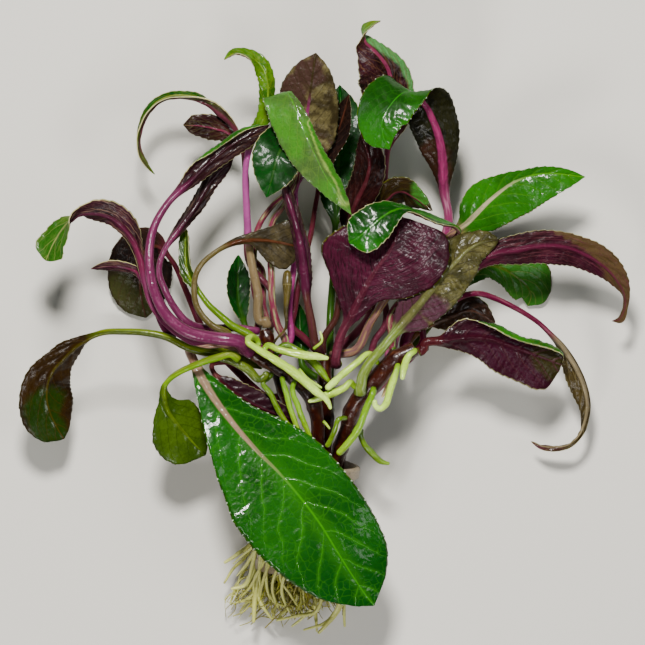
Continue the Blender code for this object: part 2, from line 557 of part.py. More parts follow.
        folds=[(0.203, 10, 10), (1, 5, 5)],
    ),
    "leaf_right_green": dict(
        colour=GREEN,
        stations=14,
        stalk=(1.5, 0.6),
        foot=0.065,
        route=[
            (2.6, -9.2, 28), (4.4, -8.8, 26.8), (9.5, -8, 27), (16, 2.7, 30), (20.3, 9.3, 29.5),
            (27, 17.7, 26), (35.3, 25.8, 22.7), (43.7, 32, 23), (47.6, 34.9, 24.5), (50.9, 38.2, 26.3),
            (54.8, 42.1, 28), (58.7, 45.4, 29), (63.1, 48.5, 29.7), (67.6, 50.4, 30), (72, 51.4, 30),
            (77, 51.6, 30), (82, 51.1, 29.5), (87.3, 50.4, 28.7),
        ],
        widths=[
            (0.514, 1.9, 1.9), (0.589, 5, 4), (0.635, 8, 6.8), (0.686, 9.8, 8), (0.732, 10.8, 6.6),
            (0.779, 11.5, 4.4), (0.823, 11, 2.8), (0.863, 10, 2.6), (0.907, 8, 2.4), (0.952, 4.6, 1.8),
            (1, 0.3, 0.3),
        ],
        faces=[(0, 0, 0, 1)],
        folds=[(0, 4, 15)],
    ),
    "leaf_right_arch": dict(
        colour=WINE,
        stations=14,
        stalk=(1.8, 0.4),
        foot=0.042,
        route=[
            (25.2, -8.5, 31.8), (26.8, -7.2, 33.2), (27, -5, 33), (38, 9, 30), (47, 17.5, 28.5),
            (56.4, 24.6, 29), (64.2, 26.3, 29.7), (73.1, 27.6, 30), (82, 26.8, 29), (86.4, 25.2, 28),
            (90.9, 22.7, 26.8), (95.3, 19.3, 25), (98.7, 15.4, 23), (100.7, 11.6, 21.3), (101.1, 8.5, 20),
            (100.5, 5.3, 19), (99.3, 2.9, 18.3), (96.4, 2.3, 17.7),
        ],
        widths=[
            (0.31, 1.9, 1.9), (0.425, 4, 4), (0.492, 5, 5.3), (0.574, 5.3, 6.5), (0.655, 5, 6.5),
            (0.741, 5.6, 5.2), (0.799, 5, 4), (0.847, 3.7, 2.8), (0.895, 1.7, 1.2), (0.933, 1, 1),
            (0.971, 1.4, 1.2), (1, 0.3, 0.3),
        ],
        faces=[(0.042, 0, 0, -1), (0.856, 0.3, 0.2, -0.95), (1, 0.6, 0, -0.6)],
    ),
    "leaf_right_olive": dict(
        colour=OLIVE,
        stations=13,
        stalk=(1.85, 0.5),
        foot=0.041,
        route=[
            (12.8, -20.9, 39), (11.6, -20.8, 41.2), (11.9, -20.4, 41), (12.8, -16.2, 42),
            (14.8, -12.2, 42.7), (19.8, -6.2, 43), (25.3, 0.4, 42), (30.9, 6.6, 39), (36.4, 13.2, 36.3),
            (41.4, 19.3, 34.5), (44.2, 22.1, 34.2), (47.6, 25.6, 33.5), (52, 28.2, 32.8), (58.5, 29.6, 32),
        ],
        widths=[
            (0.309, 1.9, 1.9), (0.376, 4, 3.5), (0.444, 5.8, 6.5), (0.52, 8.4, 7.9), (0.616, 9.5, 9),
            (0.712, 10, 9), (0.808, 8.5, 7.5), (0.885, 5.5, 5.5), (0.952, 3.5, 4), (1, 0.8, 0.8),
        ],
        faces=[
            (0, -0.56, 0.76, -0.34), (0.033, -0.51, 0.75, -0.42), (0.041, 0.1, 0, -1),
            (0.056, 0.102, 0.002, -1), (0.071, 0.103, 0.003, -1), (1, 0.2, 0.1, -1),
        ],
        folds=[(0.041, 5, 5), (0.376, 14, 8), (0.52, 24, 8), (1, 8, 5)],
    ),
    "leaf_lower_right": dict(
        colour=WINE,
        stations=11,
        stalk=(1.6, 0.5),
        foot=0.067,
        route=[
            (31.6, -7.9, 37.4), (33.2, -7.2, 37.2), (33.5, -5.5, 37.5), (39.8, -4.3, 36.5),
            (45.3, -3.4, 35.5), (50.9, -3.2, 34.3), (55.3, -3.7, 33.2), (59.8, -5.1, 32),
            (64.2, -6.8, 30.8), (68.7, -8.4, 29.5), (74, -10.3, 28), (79.4, -12.3, 26.5),
        ],
        widths=[
            (0.123, 1.7, 1.7), (0.254, 4.5, 3.7), (0.347, 8, 5.5), (0.459, 9, 7.8), (0.58, 8.8, 9.8),
            (0.701, 8.8, 10.4), (0.813, 9, 10.7), (0.907, 8.5, 10.8), (0.972, 6.5, 9), (1, 3, 7),
        ],
        faces=[(0.067, 0, 0.1, -1), (1, 0.1, 0, -1)],
        curls=[(0.067, 0, 0), (0.254, -20, 0), (0.487, -170, 0), (0.813, -180, 0), (1, -150, 0)],
    ),
    "leaf_right_curl": dict(
        colour=STALK_RED,
        stations=17,
        stalk=(1.15, 0.4),
        foot=0.129,
        foot_rings=2,
        route=[
            (25.3, -10.2, 29.6), (26.8, -11.2, 29.2), (30.5, -8.2, 29.2), (33, -4.3, 29.2), (33, 0.5, 29),
            (40, 6.3, 27.5), (44.5, 9.8, 27), (48.1, 11.2, 26.8), (52.6, 11.4, 26.5), (56.4, 10.2, 26),
            (62, 7.7, 25), (67.6, 4.6, 24), (72, 1.6, 23), (75.9, -2.1, 22), (79.8, -6.2, 20.7),
            (83.1, -10.9, 19.5), (85.9, -16.2, 18.3), (87.8, -21.8, 17), (88.4, -26.2, 16),
            (87.8, -30.7, 15), (86.7, -34.6, 14), (84.8, -37.6, 13.2), (82, -39.8, 12.4),
            (78.7, -40.4, 11.6), (74, -40.2, 10.6), (69.5, -38.2, 9.7),
        ],
        widths=[
            (0.495, 1.1, 1.1), (0.582, 1.1, 2.2), (0.651, 1.2, 4.8), (0.73, 1.2, 4.6), (0.8, 1.1, 2),
            (0.861, 1.2, 1.4), (0.948, 1.6, 1.8), (1, 0.3, 0.3),
        ],
        faces=[
            (0, -0.04, 0.31, -0.95), (0.015, -0.23, 0.43, -0.87), (0.053, -0.4, 0.36, -0.84),
            (0.09, -0.56, 0.14, -0.81), (0.129, 0.2, 0.6, -0.6), (0.144, 0.196, 0.586, -0.611),
            (0.159, 0.193, 0.572, -0.622), (0.564, 0.1, 0.2, -0.9), (0.782, 0.1, 0, -0.9),
            (0.869, 0.5, -0.6, -0.4), (1, 0.1, -0.8, -0.5),
        ],
        folds=[(0, 10, 10)],
    ),
    "leaf_right_dark": dict(
        colour=DARK_GREEN,
        stations=10,
        stalk=(1.3, 0.4),
        foot=0.135,
        route=[
            (19.8, -14.5, 27.1), (20.4, -14.4, 25.2), (23.8, -11.8, 25.2), (27, -9, 25), (38, 4, 19),
            (47, 14, 14.5), (55.3, 21, 10.5), (60.9, 19.6, 8), (64.8, 17.1, 6), (68.1, 14.3, 4.5),
            (69.8, 11, 3), (68.7, 7.3, 2),
        ],
        widths=[
            (0.524, 1.5, 1.5), (0.654, 4, 3), (0.775, 5.5, 4), (0.836, 6.5, 8), (0.896, 6.5, 10),
            (0.948, 5, 6.5), (1, 0.6, 0.6),
        ],
        faces=[
            (0, 0.83, 0.48, 0.29), (0.025, 0.27, 0.25, 0.93), (0.08, -0.02, 0.06, 1), (0.135, 0, 0, 1),
            (0.15, 0.003, 0.002, 1), (0.165, 0.007, 0.003, 1), (1, 0.2, 0.1, 1),
        ],
        folds=[(0, 8, 8)],
    ),
    "leaf_right_shaded": dict(
        colour=STEM_BROWN,
        stations=8,
        stalk=(1.1, 0.4),
        foot=0.166,
        route=[
            (25.5, -8.4, 28.6), (26.8, -7.2, 28.4), (29.5, -3.3, 28), (36, 1.5, 25), (42.5, 4, 22.5),
            (49, 6, 21), (57.5, 1.8, 18),
        ],
        widths=[(0.333, 1.2), (0.583, 5), (0.833, 4.2), (1, 0.4)],
        faces=[(0.166, 0, 0, -1), (1, 0.2, 0.4, -0.8)],
    ),
    "leaf_back_top": dict(
        colour=DARK_GREEN,
        stations=10,
        stalk=(1.3, 0.4),
        foot=0.273,
        foot_rings=2,
        route=[
            (1.3, -30.1, 19.7), (2, -29.6, 18), (2, -23.7, 18), (2, -17.8, 18), (2, -11.8, 18),
            (2, -5.9, 18), (2, 0, 18), (3, 18, 12.5), (4, 38, 7), (5, 58, 4), (5.7, 72, 2.5),
            (5.3, 82, 1.8),
        ],
        widths=[(0.564, 1.4), (0.709, 7), (0.855, 7.5), (0.949, 5), (1, 0.5)],
        faces=[
            (0, 0.53, 0.73, 0.43), (0.016, 0.04, 0.25, 0.97), (0.068, 0.01, 0, 1), (0.119, 0.01, 0, 1),
            (0.171, 0.01, 0, 1), (0.222, 0.01, 0, 1), (0.273, 0, 0, 1), (0.288, 0, 0, 1), (0.303, 0, 0, 1),
        ],
        folds=[(0, 6, 6)],
    ),
    "leaf_back_left_green": dict(
        colour=DARK_GREEN,
        stations=8,
        stalk=(1.2, 0.3),
        foot=0.073,
        route=[
            (-21.6, -4.6, 29.2), (-24, -4, 29), (-27, 2.7, 27), (-28.7, 9.3, 24), (-28.9, 16.7, 21),
            (-28.7, 24.5, 18),
        ],
        widths=[(0.259, 1.3), (0.537, 4), (0.815, 3.6), (1, 0.4)],
        faces=[(0, 0.3, 0, 1)],
        folds=[(0, 15, 15)],
    ),
    "leaf_crown_green": dict(
        colour=DARK_GREEN,
        stations=7,
        stalk=(1.2, 0.3),
        foot=0.271,
        route=[
            (-1, -17.4, 25), (-2, -16.8, 23.6), (-7, -13, 23.5), (-7.6, -6, 22), (-8, 0, 20), (-8.3, 8, 18),
        ],
        widths=[(0.381, 1.5), (0.599, 4.2), (0.818, 3), (1, 0.3)],
        faces=[
            (0, -0.55, 0.55, 0.63), (0.061, -0.08, 0.22, 0.97), (0.271, 0, 0, 1), (0.286, 0, 0, 1),
            (0.301, 0, 0, 1),
        ],
        folds=[(0, 20, 20)],
    ),
    "leaf_dry_sliver": dict(
        colour=ROOT_STRAW,
        stations=5,
        stalk=(0.5, 0.3),
        route=[(23.4, -15.2, 35.5), (21.8, -18.9, 34.8), (19.2, -23.2, 34)],
        widths=[(0, 0.6), (0.5, 1.2), (1, 0.3)],
        faces=[(0, 0.4, 0, 1)],
    ),
}

STEMS = {
    "stem_right": dict(
        stations=9,
        route=[(30.3, -6.8, 39), (22.7, -11.5, 38.5), (18, -16.7, 37.3), (10, -26.3, 34), (7.7, -34, 30),
               (5.6, -40, 27), (3.5, -46, 25), (2.5, -50.5, 23.5)],
        radii=[(0, 2.5), (0.1, 2.9), (0.5, 2.8), (1, 2.4)],
    ),
    "stem_left": dict(
        stations=9,
        route=[(-23.6, -8.6, 43), (-16.5, -12.7, 41.3), (-9.3, -17.5, 38.5), (-4, -24.3, 35), (-2.2, -31, 31.5),
               (-2.2, -38, 28), (-2.7, -45, 25), (-3.3, -50.5, 23)],
        radii=[(0, 2.1), (0.5, 2.35), (1, 2.1)],
    ),
    "stem_back_left": dict(
        stations=7,
        route=[(-19.8, -0.5, 31.5), (-18.5, -5.5, 31.5), (-16.5, -14, 31), (-12, -27, 28), (-8.5, -39, 23),
               (-8, -50, 19)],
        radii=[(0, 2.0), (0.06, 2.3), (0.15, 1.9), (1, 2.1)],
    ),
    "stem_centre": dict(
        stations=7,
        route=[(0.5, -9.5, 30), (0.2, -16, 28), (0.8, -24, 25), (1, -34, 21), (0, -43, 17), (-1, -50, 15.5)],
        radii=[(0, 2.4), (1, 2.1)],
    ),
    "stem_back_right": dict(
        stations=8,
        route=[(24, -8, 30), (19, -15, 29.5), (13.5, -22, 26.5), (9, -31, 21.5), (6, -41, 17), (4.5, -50, 16)],
        radii=[(0, 2.0), (1, 1.9)],
    ),
}
STALKS = {
    "stalk_short_green": dict(
        stations=6,
        route=[
            (-35, -9.8, 42), (-30.5, -11, 42), (-25, -14, 41.8), (-21.4, -17, 41.5), (-19.6, -16, 41.2),
            (-18.8, -14.4, 41.4),
        ],
        radii=[(0, 1.2), (0.721, 1.35), (0.801, 1.2)],
    ),
    "stalk_short_pale": dict(
        stations=6,
        foot=0.296,
        route=[
            (-17.6, -6.2, 33.8), (-15.3, -3, 36.8), (-13, -0.5, 37.3), (-12.7, 6, 38), (-12.3, 13, 38),
            (-12.2, 19.3, 37),
        ],
        radii=[(0.296, 0.4), (0.648, 1), (0.894, 1.6), (1, 1.2)],
    ),
}
ROOTS = {
    "root_front_long": dict(
        stations=10,
        route=[
            (-21.7, -6.3, 43.3), (-21.9, -4.7, 43.6), (-23.9, -2.8, 46.9), (-25.4, -4.4, 49.8), (-21.9, -7, 50),
            (-14.2, -11.8, 48.5), (-8, -16.4, 46.5), (-2.7, -21, 45), (1, -24, 44), (2.3, -27, 43),
        ],
        radii=[(0, 0.9), (0.25, 1.1), (0.882, 1.15), (1, 0.6)],
    ),
    "root_front_upper": dict(
        stations=5,
        foot=0.112,
        route=[
            (-20.4, -8.1, 44.1), (-18.9, -5.9, 44.2), (-15.5, -7, 45), (-10.4, -8.3, 45.3),
            (-4.1, -9.3, 45.3), (1.6, -10, 45),
        ],
        radii=[(0.112, 1), (0.867, 1.1), (1, 0.6)],
    ),
    "root_under_green": dict(
        stations=6,
        route=[
            (-16.1, -9.6, 39.9), (-15.2, -7.2, 39.3), (-12.6, -5.6, 39.2), (-9.7, -7, 40),
            (-2.7, -12.3, 40.8), (1.7, -18, 40),
        ],
        radii=[(0, 0.9), (0.25, 1), (0.889, 1.1), (1, 0.6)],
    ),
    "root_cut_pale": dict(
        stations=6,
        foot=0.213,
        route=[(18.1, -12, 38.3), (15, -8.5, 40.5), (11, -11.5, 42.3), (5.5, -16, 42.7), (0.6, -20.5, 42)],
        radii=[(0.213, 0.9), (0.606, 1.15), (1, 1.1)],
    ),
    "root_cross_pale": dict(
        stations=5,
        foot=0.201,
        route=[
            (11.2, -20, 37.4), (10, -19.2, 38), (8.8, -18, 39.7), (6.8, -19.9, 40.3), (2.3, -21.8, 40),
            (-3.7, -24, 39.6), (-5.3, -24.5, 39.6),
        ],
        radii=[(0.201, 1), (0.84, 1.1), (1, 0.5)],
    ),
    "root_lime_long": dict(
        stations=8,
        foot=0.091,
        route=[
            (16.2, -20.2, 39.7), (16.4, -20.8, 41.2), (16.2, -21.6, 41.6), (14.9, -25, 40.8),
            (13.3, -29, 39.5), (11.7, -33, 37.5), (9.2, -37, 35.7), (6.3, -40.3, 34.6), (4.5, -42.3, 34),
        ],
        radii=[(0.091, 1.1), (0.546, 1.3), (1, 1.1)],
    ),
    "root_right_upper": dict(
        stations=5,
        foot=0.104,
        route=[(29.9, -7.2, 42), (30.2, -7.6, 43.2), (28.3, -9, 44.2), (26.7, -13, 44), (26, -17.2, 43)],
        radii=[(0.104, 0.9), (0.731, 1.15), (1, 0.7)],
    ),
    "root_right_hook": dict(
        stations=10,
        route=[
            (24.6, -11.9, 41.4), (24.4, -13, 42.5), (23.6, -15.6, 43), (22.4, -19, 43), (21.3, -23, 43),
            (20.1, -25.8, 43), (18.7, -26.9, 43), (17.2, -26, 43.2), (16.9, -23.8, 43.6),
        ],
        radii=[(0, 0.9), (0.531, 1.25), (0.75, 1.05), (0.906, 0.95), (1, 0.7)],
    ),
    "root_left_outer": dict(
        stations=6,
        foot=0.209,
        route=[
            (-17, -14.8, 39.3), (-18, -16, 38.8), (-20.3, -18.4, 40.7), (-18, -21.6, 40.3),
            (-15.7, -26.3, 39.8), (-12.7, -31.3, 39.3), (-9, -35.5, 38.3),
        ],
        radii=[(0.209, 0.9), (0.604, 1), (1, 0.8)],
    ),
    "root_left_twin_a": dict(
        stations=6,
        foot=0.055,
        route=[
            (-13.9, -16.3, 42.2), (-13.8, -17, 43), (-12.6, -21.3, 42.3), (-11.3, -26.3, 41.5),
            (-9.8, -30.7, 40.8), (-8.6, -34.3, 39.8),
        ],
        radii=[(0.055, 0.85), (0.527, 0.95), (1, 0.8)],
    ),
    "root_left_twin_b": dict(
        stations=6,
        foot=0.109,
        route=[
            (-9.9, -17.7, 41.4), (-10, -18.4, 42.8), (-10.4, -19.3, 42.5), (-8.8, -25.7, 41.7),
            (-6.8, -31, 40.4), (-4.6, -37, 38.3), (-4.2, -39, 37.8),
        ],
        radii=[(0.109, 0.85), (0.644, 1), (1, 0.6)],
    ),
    "root_middle_thin": dict(
        stations=5,
        foot=0.277,
        route=[(7.6, -30.1, 35.3), (5, -30.3, 38.5), (3.3, -34.7, 37), (0.8, -39.8, 35.6)],
        radii=[(0.277, 0.8), (1, 0.9)],
    ),
    "root_low_right": dict(
        stations=7,
        foot=0.14,
        route=[
            (10.9, -33.9, 31.2), (12.4, -34.4, 31.6), (12.2, -35.2, 31.5), (13.2, -38.3, 31.2),
            (16.2, -42, 30.5), (19.3, -44.7, 29.5), (22, -45.4, 29),
        ],
        radii=[(0.14, 0.9), (0.828, 0.95), (1, 0.5)],
    ),
}

# The roots that hang out of the pot: one lump, drawn out to the tips of its main strands.
ROOT_LUMP_CENTRE = (-14.0, -88.5, 8.0)
ROOT_LUMP_HALF = (11.0, 4.8, 7.0)
ROOT_TIPS = [
    (-33.7, -79, 9), (-33.8, -86, 5), (-31.7, -93, 7), (-31.4, -87.5, 12), (-28.5, -95.8, 3),
    (-23.7, -99, 8), (-20, -97.8, 3.5), (-17.3, -98, 11), (-13.3, -95.8, 5), (-11, -100.7, 8),
    (-7, -101.6, 4), (-2.3, -103, 7), (-2.3, -102.2, 3), (3, -98, 10), (7, -100.7, 5),
]
STRAND_PULL = 0.25


def clear_scene():
    for item in list(bpy.data.objects):
        bpy.data.objects.remove(item)


def make_material(name, colour, roughness):
    """A plain Principled material in one colour."""
    material = bpy.data.materials.get(name)
    if material is None:
        material = bpy.data.materials.new(name)
        material.use_nodes = True
        shader = material.node_tree.nodes["Principled BSDF"]
        shader.inputs["Base Color"].default_value = (*colour, 1)
        shader.inputs["Roughness"].default_value = roughness
        shader.inputs["Metallic"].default_value = 0.0
        material.diffuse_color = (*colour, 1)
    return material


def add_object(name, mesh_builder, colour, roughness=0.35):
    """Turns a bmesh in millimetres into a named, smooth object in metres."""
    bmesh.ops.recalc_face_normals(mesh_builder, faces=mesh_builder.faces)
    bmesh.ops.scale(mesh_builder, vec=(MM, MM, MM), verts=mesh_builder.verts)
    mesh = bpy.data.meshes.new(name)
    mesh_builder.to_mesh(mesh)
    mesh_builder.free()
    mesh.shade_smooth()
    item = bpy.data.objects.new(name, mesh)
    item.data.materials.append(make_material(name, colour, roughness))
    bpy.context.scene.collection.objects.link(item)
    return item


def read_curve(keys, places):
    """Values of a smooth curve through keys, rows of (place, number, ...), at the given places."""
    table = np.array(keys, float)
    places = np.atleast_1d(places)
    if len(table) == 1:
        return np.repeat(table[:, 1:], len(places), axis=0)
    at, values = table[:, 0], table[:, 1:]
    slopes = np.gradient(values, at, axis=0)
    places = np.clip(places, at[0], at[-1])
    left = np.clip(np.searchsorted(at, places, side="right") - 1, 0, len(at) - 2)
    span = (at[left + 1] - at[left])[:, None]
    u = (places - at[left])[:, None] / span
    rise = u * u * (3 - 2 * u)
    lead = u * (1 - u) ** 2 * span * slopes[left]
    trail = u * u * (u - 1) * span * slopes[left + 1]
    return values[left] * (1 - rise) + values[left + 1] * rise + lead + trail


def route_keys(route):
    """The route's points with their share of its length in front."""
    points = np.array(route, float)
    steps = np.linalg.norm(np.diff(points, axis=0), axis=1)
    shares = np.concatenate([[0], np.cumsum(steps)]) / steps.sum()
    return np.column_stack([shares, points])


def unit(rows):
    return rows / np.linalg.norm(rows, axis=1)[:, None]


def directions(keys, places):
    """Which way the route runs at the given places."""
    step = 0.01
    ahead = read_curve(keys, np.minimum(places + step, 1))
    behind = read_curve(keys, np.maximum(places - step, 0))
    return unit(ahead - behind)


def half_blade(width, fold, curl, shares):
    """How far out and how high the points of a half blade lie, at these shares of its width."""
    middles = (shares[1:] + shares[:-1]) / 2
    angles = np.radians(fold + curl * middles**2)
    lengths = np.diff(shares) * width
    out = np.concatenate([[0], np.cumsum(np.cos(angles) * lengths)])
    high = np.concatenate([[0], np.cumsum(np.sin(angles) * lengths)])
    return out, high


def leaf_ring(radius, share, width, fold, curl):
    """Eight (out, high) points round a leaf: a round stalk at share 0 and a thin blade at share 1."""
    corners = np.arange(RING_POINTS) * 2 * math.pi / RING_POINTS
    stalk = radius * np.column_stack([np.cos(corners), np.sin(corners)])
    cuts = np.array([0, 0.5, 1.0])
    halves = []
    for side in (0, 1):
        out, high = half_blade(width[side], fold[side], curl[side], cuts)
        turn = math.radians(fold[side] + curl[side] * cuts[1] ** 2)
        under = (out[1] + LEAF_THICKNESS * math.sin(turn), high[1] - LEAF_THICKNESS * math.cos(turn))
        halves.append([(out[2], high[2]), (out[1], high[1]), under])
    right = np.array(halves[0])
    left = np.array(halves[1]) * (-1, 1)
    rib = (0, -max(LEAF_THICKNESS, RIB_DEPTH * radius))
    blade = np.array([right[0], right[1], (0, 0), left[1], left[0], left[2], rib, right[2]])
    return stalk * (1 - share) + blade * share


def both_halves(keys, places):
    """Values for the right and left half; a single value stands for both."""
    values = read_curve(keys, places)
    return values if values.shape[1] == 2 else np.repeat(values, 2, axis=1)


def leaf_rings(leaf):
    """The rings of points that a leaf's skin runs through, and the point at its tip."""
    keys = route_keys(leaf["route"])
    start = leaf["widths"][0][0]
    foot = leaf.get("foot", 0)
    places = foot + (1 - foot) * np.linspace(0, 1, leaf["stations"] + 1) ** EVEN_SPREAD
    places[-2] = 1 - 0.35 * (1 - foot) / leaf["stations"]
    on_foot = np.linspace(0, foot, leaf.get("foot_rings", 1), endpoint=False)
    places = np.concatenate([on_foot, places[1:]])
    tip = read_curve(keys, places[-1])[0]
    places = places[:-1]
    centres = read_curve(keys, places)
    ahead = directions(keys, places)
    faces = read_curve(leaf["faces"], places)
    faces = unit(faces - ahead * np.sum(faces * ahead, axis=1)[:, None])
    sides = np.cross(ahead, faces)
    radii = np.interp(places, [foot, 1], leaf["stalk"])
    widths = np.maximum(both_halves(leaf["widths"], places), radii[:, None])
    folds = both_halves(leaf.get("folds", [(0, 0, 0)]), places)
    curls = both_halves(leaf.get("curls", [(0, 0, 0)]), places)
    shares = np.clip((places - start) / STALK_TO_BLADE / (1 - foot), 0, 1)
    rings = []
    for i in range(len(places)):
        flat = leaf_ring(radii[i], shares[i], widths[i], folds[i], curls[i])
        rings.append(centres[i] + flat[:, :1] * sides[i] + flat[:, 1:] * faces[i])
    return rings, tip


def skin(rings, tip=None):
    """A closed skin through rings of points, drawn to a point at the tip or closed flat."""
    shape = bmesh.new()
    loops = [[shape.verts.new(point) for point in ring] for ring in rings]
    count = len(loops[0])
    for near, far in zip(loops, loops[1:]):
        for i in range(count):
            j = (i + 1) % count
            shape.faces.new((near[i], near[j], far[j], far[i]))
    shape.faces.new(loops[0])
    if tip is None:
        shape.faces.new(loops[-1])
    else:
        point = shape.verts.new(tip)
        for i in range(count):
            shape.faces.new((loops[-1][i], loops[-1][(i + 1) % count], point))
    bmesh.ops.triangulate(shape, faces=shape.faces)
    return shape


def tube_rings(tube, sides):
    """Round rings along a route, turned as little as they can be from one to the next."""
    keys = route_keys(tube["route"])
    places = np.linspace(tube.get("foot", 0), 1, tube["stations"])
    places[0] = 0
    centres = read_curve(keys, places)
    ahead = directions(keys, places)
    radii = read_curve(tube["radii"], places)[:, 0]
    across = np.cross(ahead[0], UP)
    rings = []
    for centre, way, radius in zip(centres, ahead, radii):
        across = across - way * np.dot(across, way)
        across = across / np.linalg.norm(across)
        over = np.cross(way, across)
        turns = np.arange(sides) * 2 * math.pi / sides
        rings.append(centre + radius * (np.outer(np.cos(turns), across) + np.outer(np.sin(turns), over)))
    return rings


def add_leaves():
    for name, leaf in LEAVES.items():
        rings, tip = leaf_rings(leaf)
        add_object(name, skin(rings, tip), leaf["colour"])


def add_tubes():
    for name, tube in STEMS.items():
        add_object(name, skin(tube_rings(tube, 8)), STEM_BROWN)
    for name, tube in STALKS.items():
        add_object(name, skin(tube_rings(tube, 8)), PALE_GREEN)
    for name, tube in ROOTS.items():
        add_object(name, skin(tube_rings(tube, 6)), ROOT_GREEN)


def lay_down(item):
    """Lays a piece of the pot on its side, mouth towards +Y, leaning like the plant."""
    turn = Matrix.Rotation(math.radians(POT_LEAN), 4, "Z")
    tip_over = Matrix.Rotation(math.radians(POT_TILT - 90), 4, "X")
    drop = Matrix.Translation((0, 0, -POT_HEIGHT * MM))
    mouth = Matrix.Translation(Vector(POT_MOUTH) * MM)
    item.matrix_world = mouth @ turn.inverted() @ tip_over @ drop


def add_net_pot():
    """A tapered cup whose wall and floor are open in rows of slots, between ribs of equal width."""
    shape = bmesh.new()
    turns = [2 * math.pi * i / POT_COLUMNS for i in range(POT_COLUMNS)]
    grids = []
    for profile in (POT_OUTSIDE, POT_INSIDE):
        grids.append([[shape.verts.new((r * math.cos(a), r * math.sin(a), h)) for a in turns] for r, h in profile])
    outside, inside = grids
    bands = len(POT_OUTSIDE) - 1

    def is_wall(band, column):
        if not 0 <= band < bands:
            return False
        return not (band in POT_SLOT_BANDS and column % 2 == 0)

    for band in range(bands):
        for column in range(POT_COLUMNS):
            if not is_wall(band, column):
                continue
            after = (column + 1) % POT_COLUMNS
            corners = [(band, column), (band, after), (band + 1, after), (band + 1, column)]
            shape.faces.new([outside[i][j] for i, j in corners])
            shape.faces.new([inside[i][j] for i, j in reversed(corners)])
            neighbours = [(band - 1, column), (band, after), (band + 1, column), (band, column - 1)]
            for side, (near_band, near_column) in enumerate(neighbours):
                if is_wall(near_band, near_column % POT_COLUMNS):
                    continue
                a, b = corners[side], corners[(side + 1) % 4]
                shape.faces.new([outside[b[0]][b[1]], outside[a[0]][a[1]], inside[a[0]][a[1]], inside[b[0]][b[1]]])
    bmesh.ops.triangulate(shape, faces=shape.faces)
    lay_down(add_object("net_pot", shape, POT_GREY, 0.5))


def add_root_ball():
    """Rock wool and packed roots that fill the pot."""
    turns = [2 * math.pi * i / POT_COLUMNS for i in range(POT_COLUMNS)]
    rings = [[(r * math.cos(a), r * math.sin(a), h) for a in turns] for r, h in BALL_PROFILE]
    lay_down(add_object("root_ball", skin(rings), BALL_BROWN, 0.9))


def add_root_mass():
    """The lump of roots below the pot, drawn out into a point at the tip of each main strand."""
    shape = bmesh.new()
    bmesh.ops.create_uvsphere(shape, u_segments=22, v_segments=10, radius=1.0)
    for vert in shape.verts:
        vert.co = Vector(c + h * v for c, h, v in zip(ROOT_LUMP_CENTRE, ROOT_LUMP_HALF, vert.co))
    free = list(shape.verts)
    for tip in ROOT_TIPS:
        goal = Vector(tip)
        peak = min(free, key=lambda vert: (vert.co - goal).length)
        around = [edge.other_vert(peak) for edge in peak.link_edges]
        free = [vert for vert in free if vert != peak and vert not in around]
        for vert in around:
            vert.co = vert.co.lerp(goal, STRAND_PULL)
        peak.co = goal
    bmesh.ops.triangulate(shape, faces=shape.faces)
    add_object("root_mass", shape, ROOT_STRAW, 0.6)


def main():
    clear_scene()
    add_leaves()
    add_tubes()
    add_net_pot()
    add_root_ball()
    add_root_mass()


main()
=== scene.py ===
# %% [markdown]
# # A bunch of cardinal flower, lifted out of the water and laid on its back
#
# In its leafy form this plant has wide leaves on long round stalks, green on the upper face and wine
# red below. They rise from a few fleshy stems that root in a small net pot. The solids of all these
# pieces are already made, at their real size, and this script loads them as a frame. It then grows a
# finer skin over each one: thin blades with toothed margins, raised veins and rolled edges, stems
# with leaf scars, and the tangle of fine roots under the pot. A solid stays hidden once its finer
# piece stands for it. Lengths are in millimetres in the lists below and become metres in the meshes.

# %% Load the frame
import math
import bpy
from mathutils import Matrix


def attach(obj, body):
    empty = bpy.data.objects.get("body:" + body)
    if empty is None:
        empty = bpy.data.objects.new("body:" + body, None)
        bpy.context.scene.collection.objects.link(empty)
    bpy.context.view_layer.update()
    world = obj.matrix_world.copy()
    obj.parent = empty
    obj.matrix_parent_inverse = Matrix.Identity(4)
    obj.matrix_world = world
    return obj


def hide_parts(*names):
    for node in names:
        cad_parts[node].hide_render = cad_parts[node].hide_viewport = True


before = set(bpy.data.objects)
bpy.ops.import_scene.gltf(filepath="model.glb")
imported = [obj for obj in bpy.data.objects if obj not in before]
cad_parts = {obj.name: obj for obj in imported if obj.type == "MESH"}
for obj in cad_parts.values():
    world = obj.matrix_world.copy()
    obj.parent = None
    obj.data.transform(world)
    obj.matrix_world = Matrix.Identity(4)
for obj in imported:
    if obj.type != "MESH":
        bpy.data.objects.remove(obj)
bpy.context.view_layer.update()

from types import SimpleNamespace

import bpy
import numpy as np
from mathutils import Matrix, Vector, noise

MM = 0.001
UP = (0, 0, 1)
print("nodes in the frame:", len(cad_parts))

# %% [markdown]
# ## Looking down on the plant
#
# The plant lies on a table and the camera hangs over it. A lens with a wide angle would make the
# nearest leaf look too large, so the camera is far away with a very long lens. A pixel of the picture
# is then a third of a millimetre anywhere on the plant, which makes it easy to place things.

# %% The camera
PICTURE_SIDE = 645
MM_PER_PIXEL = 1 / 3
PLANT_CENTRE_PIXEL = (324, 328)
CAMERA_HEIGHT = 3.0
MIDDLE_OF_LEAVES = 0.035
SENSOR = 36.0

